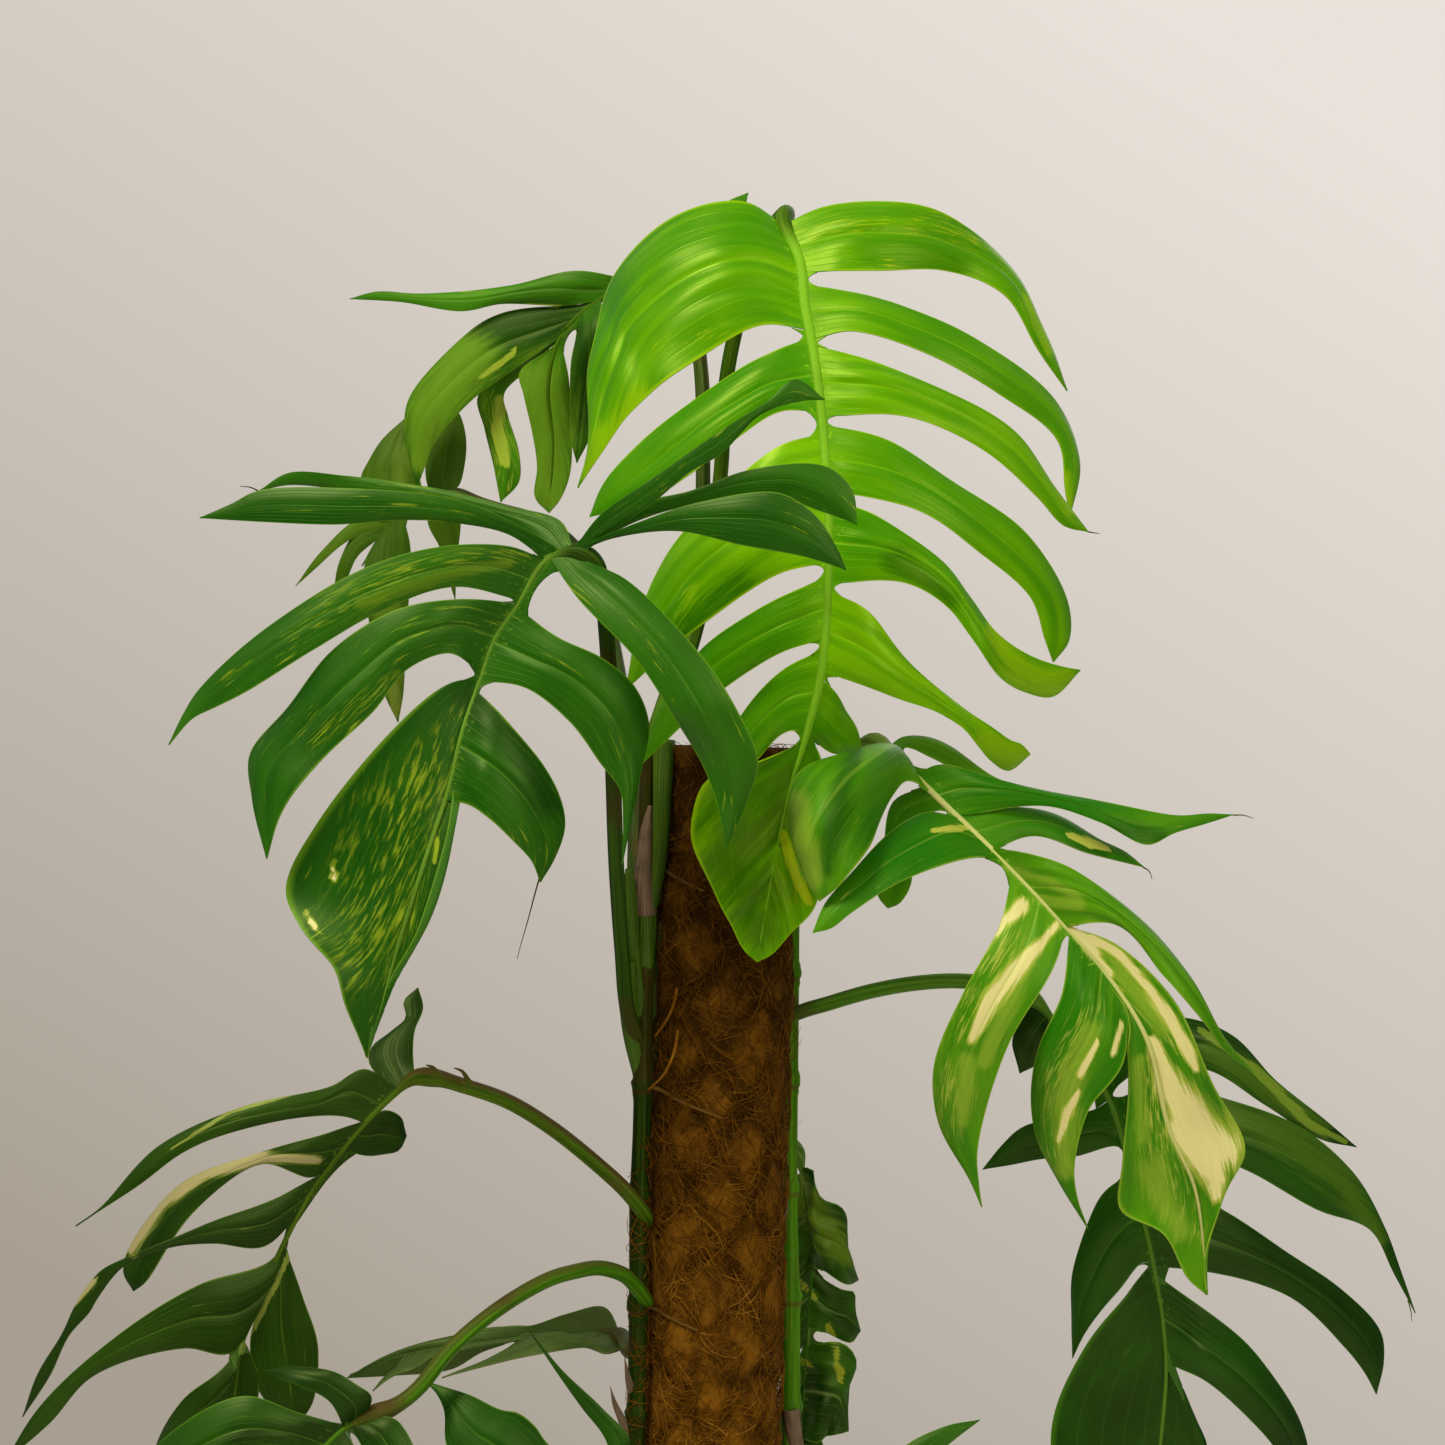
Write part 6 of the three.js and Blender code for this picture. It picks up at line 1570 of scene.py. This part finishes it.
def make_sheaths():
    bm = bmesh.new()
    uv, dry = [], []
    share = np.linspace(0, 1, SHEATH_ROWS + 1)
    for number, (drawn, foot, top, opening, dryness, left_over) in enumerate(SHEATHS):
        path = smooth_line(place(drawn), SHEATH_ROWS)
        side, up = turning_frames(path)
        radius = (foot + (top - foot) * share) * MM
        arc = opening * 2 * math.pi * (1 - (1 - left_over) * share ** SHEATH_NARROWING)
        turn = np.linspace(-1, 1, SHEATH_COLUMNS + 1)[None] * arc[:, None] + 0.3 * np.sin(number * 2.1)
        ripple = 1 + 0.05 * np.sin(turn * 4 + share[:, None] * 7 + number)
        spread = (radius[:, None] * ripple)[..., None]
        round_it = np.cos(turn)[..., None] * side[:, None] + np.sin(turn)[..., None] * up[:, None]
        lay_grid(bm, SHEATH_COLUMNS, SHEATH_ROWS, path[:, None] + spread * round_it)
        uv.append(np.stack([turn / 6, share[:, None] + 0 * turn], axis=-1).reshape(-1, 2))
        dry.append(np.clip(dryness + 0.5 * (share - 0.5), 0, 1).repeat(SHEATH_COLUMNS + 1))
    made = to_object(bm, "stem_sheaths", np.vstack(uv), {"dry": np.concatenate(dry)})
    thicken(made, SHEATH_THICKNESS)
    return made


DULL = {"Specular IOR Level": 0.2}
sheath_skin = finish("sheath_skin", sheath_recipe(), all_screen(SHEATH_COLOURS), 0.0003, DULL)
sheaths = dress(make_sheaths(), [sheath_skin])
print("sheaths:", len(SHEATHS), "with", len(sheaths.data.polygons), "faces")

# %% [markdown]
# ## The coir pole
# The pole is a stake in a sleeve of coconut fibre, bound criss-cross so that the fibre puffs up in pads
# between the bindings. The sleeve is one rolled grid whose radius carries the pads, the grooves and the
# matted fibre.

# %% Coir sleeve
COIR_RADIUS = 29.4
COIR_SIDES, COIR_RINGS = 156, 240
POLE_FOOT, POLE_TOP = 14, 700
BINDING_FOOT, BINDING_RISE = 156, 42
BINDINGS_AROUND, BINDING_WIDTH = 6, 0.12
GROOVE_DEPTH, PAD_RISE = 1.9, -0.4
MAT_HEIGHT = 0.22
STRAND_SLANT, STRAND_LEAN = 0.7, 0.4
COIR_SHINE = shine(0.12, 1.0, 0.7, 0.35)
COIR_COLOURS = all_screen({"Dark": (58, 35, 3), "Middle": (120, 77, 14), "Light": (168, 116, 36)})

def groove_share(turn, height):
    """How near a place on the pole is to a binding, from 0 to 1. The bindings wander a little."""
    around = BINDINGS_AROUND * turn / (2 * math.pi) + 0.10 * np.sin(height / 17 + turn * 2)
    rise = (height - BINDING_FOOT) / BINDING_RISE + 0.08 * np.sin(turn * 3 + height / 41)
    nearest = 0 * around
    for family in (around + rise, around - rise):
        off = np.abs(family - np.round(family))
        nearest = np.maximum(nearest, np.exp(-(off / BINDING_WIDTH) ** 2))
    return nearest * eased(height, BINDING_FOOT, BINDING_FOOT + 10)

def pad_radius(turn, height):
    """The radius of the matted surface in millimetres, without its fine lumps."""
    return COIR_RADIUS + PAD_RISE - GROOVE_DEPTH * groove_share(turn, height)

def matted(turn, height):
    """Matted fibre as lumps and short ridges, in millimetres."""
    place_on = np.array((math.cos(turn) * COIR_RADIUS, math.sin(turn) * COIR_RADIUS, height))
    broad = noise.noise(Vector(place_on * 0.11))
    fine = noise.noise(Vector((place_on[0] * 0.34, place_on[1] * 0.34, place_on[2] * 0.6)))
    return broad * 1.2 + fine * 0.8

def coir_sleeve():
    height = np.linspace(POLE_FOOT, POLE_TOP, COIR_RINGS + 1)
    turn = np.linspace(0, 2 * math.pi, COIR_SIDES, endpoint=False)
    mat = np.array([[matted(t, h) for t in turn] for h in height])
    radii = pad_radius(turn[None, :], height[:, None]) + mat * MAT_HEIGHT
    ends = eased(height, POLE_TOP + 1, POLE_TOP - 4)[:, None] * 0.06 + 0.94
    path = np.stack([0 * height, 0 * height, height], axis=1) * MM
    bm = bmesh.new()
    uv = roll_tube(bm, path, radii * ends * MM, COIR_SIDES)
    level = np.hstack([turn, turn[:1]])[None, :] + 0 * height[:, None]
    groove = groove_share(level, height[:, None]).ravel()
    return to_object(bm, "coir_sleeve", uv, {"groove": groove, "tone": 0.25 + 0 * groove}, close=True)

def coir_recipe():
    group, (dark, middle, light) = new_recipe("coir_fibre", COIR_COLOURS)
    where = object_place(group)
    strands = []
    for slant in (STRAND_SLANT, -STRAND_SLANT):
        turned = add(group, "Mapping", {"Vector": where, "Rotation": (0.0, slant, STRAND_LEAN)}, "Vector")
        strands.append(turned.stretched(620.0, 620.0, 60.0).grain(1.0, 3.0, 0.6))
    straw = strands[0].maths("MAXIMUM", strands[1])
    clumps = where.grain(60.0, 4.0, 0.6)
    # painted shade: the fibre is darker near the bindings, in the grooves
    level = straw * 0.6 + clumps * 0.6 + attribute(group, "tone") * 0.45 - attribute(group, "groove") * 0.2
    # painted shade: the fibre is darker towards the top, under the leaves, and paler below
    level = level - (where.part("Z").ease(0.42, 0.72) - 0.35) * 0.24
    colour = dark.towards(middle, level.ease(0.5, 0.9)).towards(light, level.ease(0.88, 1.2))
    return end_recipe(group, colour, clumps * 0.2 + 0.78, straw)


COIR_SKIN = coir_recipe()
sleeve = coir_sleeve()
dress(sleeve, [finish("coir_mat", COIR_SKIN, COIR_COLOURS, 0.0012, COIR_SHINE)], ["coir_wrap"])
print("sleeve faces:", len(sleeve.data.polygons))

# %% [markdown]
# ## Matted fibre
# Coir is never tidy. Thousands of short, curling fibres lie over the pads in every direction, and some stand
# off at the edges of the pole. Each is a three-sided tube with six rings, and its tone is its own.

# %% Fibres
FIBRE_SEED = 11
FIBRE_SIDES = 3
FIBRE_TAPER = np.array((0.4, 0.9, 1.0, 1.0, 0.8, 0.35))
FIBRE_RINGS = len(FIBRE_TAPER)
FIBRE_RADIUS = 0.17
LOOSE_LIFT = 1.9
FIBRE_CLEAR = 0.8
# fibres, shortest and longest, lift in mm, curl in radians, radius share
MATTED = (3500, (14, 36), (0.1, 1.2), 1.5, 1.0)
LOOSE = (420, (14, 34), (2.0, 6.5), 1.3, 0.8)
FIBRE_SORTS = {"coir_matted_1": MATTED, "coir_matted_2": MATTED, "coir_matted_3": MATTED, "coir_loose": LOOSE}

def fibre_paths(chance, count, lengths, lifts, curl):
    """Curling paths over the pads, in metres, and how near each fibre is to a groove."""
    share = np.linspace(0, 1, FIBRE_RINGS)[None]
    turn = chance.uniform(0, 2 * math.pi, (count, 1))
    height = chance.uniform(BINDING_FOOT + 18, POLE_TOP - 3, (count, 1))
    length = chance.uniform(*lengths, (count, 1))
    lift = chance.uniform(*lifts, (count, 1))
    heading = chance.uniform(0, math.pi, (count, 1)) + (share - 0.5) * chance.normal(0, curl, (count, 1))
    step = length / (FIBRE_RINGS - 1)
    sideways = np.cumsum(np.cos(heading) * step, axis=1) - np.cos(heading) * step
    upward = np.cumsum(np.sin(heading) * step, axis=1) - np.sin(heading) * step
    angle = turn + (sideways - sideways.mean(axis=1, keepdims=True)) / COIR_RADIUS
    rise = np.minimum(height + upward - upward.mean(axis=1, keepdims=True), POLE_TOP + 1.5)
    arched = lift * np.where(lift > LOOSE_LIFT, share ** 2, np.sin(math.pi * share))
    off = pad_radius(angle, rise) + FIBRE_CLEAR + arched
    paths = np.stack([off * np.cos(angle), off * np.sin(angle), rise], axis=-1) * MM
    return paths, groove_share(angle, rise)[:, 3]

def fibre_object(name, count, lengths, lifts, curl, share, seed):
    chance = np.random.default_rng(seed)
    paths, groove = fibre_paths(chance, count, lengths, lifts, curl)
    radii = (FIBRE_TAPER * FIBRE_RADIUS * share * MM)[None] * chance.uniform(0.6, 1.3, (count, 1))
    tone = 0.1 + 0.75 * chance.uniform(0, 1, count) ** 1.3
    return tube_bundle(name, paths, radii, FIBRE_SIDES, {"tone": tone, "groove": groove})


straw = finish("coir_straw", COIR_SKIN, COIR_COLOURS, 0.0002, COIR_SHINE)
for number, (sort_name, sort) in enumerate(FIBRE_SORTS.items()):
    fibres = dress(fibre_object(sort_name, *sort, FIBRE_SEED + number), [straw])
    print(fibres.name, len(fibres.data.polygons), "faces")

# %% [markdown]
# ## Fuzz on the left stem
# Short fibres creep from the pole over the left stem, which makes its outline soft in the photograph.

# %% Fuzz on the left stem
FUZZ = 300
FUZZ_FOOT, FUZZ_TOP = 190, 540
FUZZ_LENGTH = (7, 20)

def stem_fuzz(chance):
    """Short fibres round the left stem, in metres."""
    heights = chance.uniform(FUZZ_FOOT, FUZZ_TOP, (FUZZ, 1))
    share = np.linspace(-0.5, 0.5, FIBRE_RINGS)[None]
    length = chance.uniform(*FUZZ_LENGTH, (FUZZ, 1))
    lean = chance.uniform(-1.3, 1.3, (FUZZ, 1))
    rise = heights + np.sin(lean) * length * share
    off = STEM_RADIUS + 0.5 + chance.uniform(0, 1.4, (FUZZ, 1)) * np.cos(share * 3)
    turn = chance.uniform(-2.6, 0.9, (FUZZ, 1)) + np.cos(lean) * length * share / off
    x, y, _ = np.moveaxis(read_line(STEM_LEFT, STEM_LEFT[:, 2], rise), -1, 0)
    return np.stack([x + off * np.cos(turn), y + off * np.sin(turn), rise], axis=-1) * MM


fuzz_chance = np.random.default_rng(FIBRE_SEED + 20)
fuzz_looks = {"tone": fuzz_chance.uniform(0, 0.6, FUZZ), "groove": np.zeros(FUZZ)}
fuzz_radii = (FIBRE_TAPER * FIBRE_RADIUS * MM)[None] * np.ones((FUZZ, 1))
fuzz = tube_bundle("stem_fuzz", stem_fuzz(fuzz_chance), fuzz_radii, FIBRE_SIDES, fuzz_looks)
dress(fuzz, [straw])
print("fibres of fuzz:", FUZZ)

# %% [markdown]
# ## Stray roots
# Two dry aerial roots curl over the fibre beside the left stem.

# %% Stray roots
STRAY_ROOTS = [
    [(677, 988, -30), (673, 1006, -32), (664, 1024, -31), (655, 1036, -27)],
    [(678, 1030, -31), (674, 1052, -33), (664, 1074, -32), (648, 1090, -26)],
]

def stray_tube(drawn):
    root = smooth_line(place(drawn), 24)
    return root, np.linspace(0.7, 0.4, len(root)) * MM, ROOT_SIDES, {"tone": 0.7, "groove": 0.0}


dress(tube_object("stray_roots", [stray_tube(drawn) for drawn in STRAY_ROOTS]), [straw])
print("stray roots:", len(STRAY_ROOTS))

# %% [markdown]
# ## Stake
# The wooden stake shows only from above, as a round end inside the fibre. Its CAD solid has the right shape,
# so it stays and gets wood.

# %% Stake wood
WOOD_COLOURS = {"Pale": (168, 132, 88), "Dark": (112, 78, 46)}

def wood_recipe():
    group, (pale, dark) = new_recipe("stake_wood", WOOD_COLOURS)
    where = object_place(group)
    flat = add(group, "CombineXYZ", {"X": where.part("X"), "Y": where.part("Y")})
    radius = add(group, "VectorMath", {0: flat}, "Value", operation="LENGTH")
    rings = radius * 620.0 + where.grain(60.0, 3.0) * 2.6
    band = ((rings * (2 * math.pi)).maths("SINE") + 1.0) * 0.5
    share = (band + where.stretched(300.0, 300.0, 12.0).grain(1.0, 3.0)) * 0.5
    return end_recipe(group, pale.towards(dark, share), share * 0.2 + 0.7, share)

def cover(node, material):
    """Gives a CAD solid that stays its material."""
    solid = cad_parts[node]
    solid.data.materials.clear()
    solid.data.materials.append(material)
    print(node, "wears", material.name)


cover("pole_stake", finish("stake_wood", wood_recipe(), all_screen(WOOD_COLOURS), 0.0004))

# %% [markdown]
# ## Pot
# The pot is below the photograph's edge, so it is finished plainly: a grey nursery pot, made as a profile
# that is spun round its axis. The profile rounds every corner that would catch the light, and the drain holes
# are cut with a Boolean modifier.

# %% Pot
POT_SIDES = 96
# radius and height in mm
POT_PROFILE = [
    (0, 0), (79.2, 0), (80, 0.8), (102.4, 162.6), (102.6, 164), (106.8, 165.4), (107.6, 166.4),
    (110.6, 187.6), (110.4, 189.4), (109.2, 190), (104, 190), (103, 189.2), (77.9, 6), (76.4, 4), (0, 4),
]
DRAIN_COUNT, DRAIN_RADIUS, DRAIN_CIRCLE = 4, 5, 45
# the cutter's middle and length in mm
CUT_MIDDLE, CUT_LENGTH = 2, 12
POT_COLOURS = {"Plastic": (66, 66, 64), "Dust": (132, 124, 112)}

def spun(name, profile, steps):
    """Spins a profile of radius and height, in mm, round the upright axis."""
    bm = bmesh.new()
    verts = [bm.verts.new((radius * MM, 0, height * MM)) for radius, height in profile]
    edges = [bm.edges.new(pair) for pair in zip(verts, verts[1:])]
    bmesh.ops.spin(bm, geom=verts + edges, axis=(0, 0, 1), cent=(0, 0, 0), angle=2 * math.pi, steps=steps,
                   use_merge=True)
    bmesh.ops.remove_doubles(bm, verts=bm.verts, dist=1e-6)
    bmesh.ops.recalc_face_normals(bm, faces=bm.faces)
    return to_object(bm, name)

def cut_holes(made):
    """Cuts the drain holes with one cutter that holds all of them."""
    bm = bmesh.new()
    for number in range(DRAIN_COUNT):
        angle = (number + 0.5) / DRAIN_COUNT * 2 * math.pi
        centre = Vector((math.cos(angle) * DRAIN_CIRCLE, math.sin(angle) * DRAIN_CIRCLE, CUT_MIDDLE)) * MM
        bmesh.ops.create_cone(bm, cap_ends=True, segments=32, radius1=DRAIN_RADIUS * MM,
                              radius2=DRAIN_RADIUS * MM, depth=CUT_LENGTH * MM,
                              matrix=Matrix.Translation(centre))
    cutter = to_object(bm, "drain_cutter")
    cut = made.modifiers.new("drains", "BOOLEAN")
    cut.object = cutter
    cut.solver = "EXACT"
    shaped = bpy.data.meshes.new_from_object(made.evaluated_get(bpy.context.evaluated_depsgraph_get()))
    made.modifiers.clear()
    made.data = shaped
    bpy.data.objects.remove(cutter)

def plastic_recipe():
    group, (plastic, dust) = new_recipe("moulded_plastic", POT_COLOURS)
    where = object_place(group)
    cloud = where.grain(9.0, 5.0, 0.6)
    dusty = cloud.ease(0.5, 0.75) * 0.3 + where.part("Z").ease(0.05, 0.0) * 0.25
    scuffs = where.stretched(40.0, 40.0, 260.0).grain(1.0, 3.0).ease(0.66, 0.72)
    colour = plastic.towards(dust, dusty).towards(dust, scuffs * 0.25)
    return end_recipe(group, colour, cloud * 0.25 + 0.38, where.grain(1400.0, 1.0) - scuffs * 0.4)


pot = spun("nursery_pot", POT_PROFILE, POT_SIDES)
cut_holes(pot)
pot_skin = finish("pot_plastic", plastic_recipe(), all_screen(POT_COLOURS), 0.0002)
dress(pot, [pot_skin], ["pot"])
print("pot faces:", len(pot.data.polygons))

# %% [markdown]
# ## Soil
# Potting mix is crumbs, bark and a few white grains of perlite. The CAD soil stays as the body, with soil
# material. A crumbled layer lies on it, pressed up to the pot, the pole and the stems, and a few hundred
# small pieces are scattered over that.

# %% Soil
SOIL_TOP, SOIL_MOUND = 168, 5
SOIL_INNER, SOIL_OUTER = 31.0, 99.4
SOIL_AROUND, SOIL_OUTWARD = 200, 50
CRUMB_LIFT, CRUMB_DEPTH = 1.2, 0.003
# how fine each noise of the crumbs is, and how high in mm
CRUMB_NOISES = ((0.28, 1.6), (0.7, 1.0), (0.08, 1.0))
SOIL_SEED = 5
BITS, BITS_INNER, BITS_OUTER = 420, 34, 96

def soil_height(radius):
    """The CAD soil's top at a distance from the axis, in mm."""
    mound = [SOIL_MOUND, SOIL_MOUND, SOIL_MOUND / 2, 0, -5]
    return np.interp(radius, [0, 45, 70, 93, SOIL_OUTER], [SOIL_TOP + rise for rise in mound])

def crumb_layer():
    turn = np.linspace(0, 2 * math.pi, SOIL_AROUND + 1)[None, :]
    radius = np.linspace(SOIL_OUTER, SOIL_INNER, SOIL_OUTWARD + 1)[:, None]
    x, y = radius * np.cos(turn), radius * np.sin(turn)
    height = soil_height(radius) + 0 * turn
    crumbs = np.zeros_like(height)
    for i in range(crumbs.shape[0]):
        for j in range(crumbs.shape[1] - 1):
            spot = Vector((x[i, j], y[i, j], 0))
            crumbs[i, j] = sum(noise.noise(spot * fine) * high for fine, high in CRUMB_NOISES)
    crumbs[:, -1] = crumbs[:, 0]
    points = np.stack([x, y, height + CRUMB_LIFT + np.clip(crumbs, -1.0, 4.0)], axis=-1) * MM
    bm = bmesh.new()
    lay_grid(bm, SOIL_AROUND, SOIL_OUTWARD, points)
    bmesh.ops.remove_doubles(bm, verts=bm.verts, dist=1e-6)
    bmesh.ops.recalc_face_normals(bm, faces=bm.faces)
    made = to_object(bm, "soil_crumbs")
    if sum(face.normal.z for face in made.data.polygons) < 0:
        made.data.flip_normals()
    thicken(made, CRUMB_DEPTH, -1.0)
    return made

def soil_bits(name, count, seed, sizes, flat):
    chance = random.Random(seed)
    bm = bmesh.new()
    for _ in range(count):
        radius = math.sqrt(chance.uniform(BITS_INNER ** 2, BITS_OUTER ** 2))
        turn = chance.uniform(0, 2 * math.pi)
        size = chance.uniform(*sizes)
        height = float(soil_height(radius)) + CRUMB_LIFT + size * 0.25
        wide, deep, high = chance.uniform(0.8, 1.7), chance.uniform(0.6, 1.1), chance.uniform(*flat)
        spin = Matrix.Rotation(chance.uniform(0, 6.28), 4, "Z")
        spin = spin @ Matrix.Rotation(chance.gauss(0, 0.4), 4, "X")
        at = Matrix.Translation((radius * math.cos(turn) * MM, radius * math.sin(turn) * MM, height * MM))
        whole = at @ spin @ Matrix.Diagonal((wide, deep, high, 1))
        laid = {"subdivisions": 1, "radius": size * MM, "matrix": whole}
        for vert in bmesh.ops.create_icosphere(bm, **laid)["verts"]:
            push = Vector((chance.gauss(0, 1), chance.gauss(0, 1), chance.gauss(0, 1)))
            vert.co += push * size * 0.09 * MM
    made = to_object(bm, name)
    made.data.shade_flat()
    print(name, count, "pieces")
    return made

def soil_recipe():
    group, (dark, brown, pale, paleness) = new_recipe("potting_mix", ("Dark", "Brown", "Pale"), ("Paleness",))
    where = object_place(group)
    clods, grit = where.grain(90.0, 5.0, 0.65), where.grain(700.0)
    colour = dark.towards(brown, clods.ease(0.4, 0.62))
    colour = colour.towards(pale, (grit + paleness * 0.5).ease(0.68, 0.76))
    return end_recipe(group, colour, clods * 0.15 + 0.82, clods + grit * 0.4)


SOIL_SKIN = soil_recipe()

def soil_material(name, dark, brown, pale, paleness):
    values = all_screen({"Dark": dark, "Brown": brown, "Pale": pale})
    return finish(name, SOIL_SKIN, {**values, "Paleness": paleness}, 0.0012)


mix_skin = soil_material("potting_mix", (26, 18, 12), (62, 44, 30), (120, 96, 70), 0.0)
cover("soil", mix_skin)
dress(crumb_layer(), [mix_skin])
bark = soil_material("bark_bits", (44, 28, 16), (96, 66, 40), (140, 106, 70), 0.1)
perlite = soil_material("perlite", (190, 186, 176), (222, 220, 212), (236, 234, 228), 0.3)
dress(soil_bits("bark_bits", BITS, SOIL_SEED, (1.2, 4.2), (0.3, 0.7)), [bark])
dress(soil_bits("perlite_grains", BITS // 5, SOIL_SEED + 1, (0.8, 1.9), (0.7, 1.0)), [perlite])
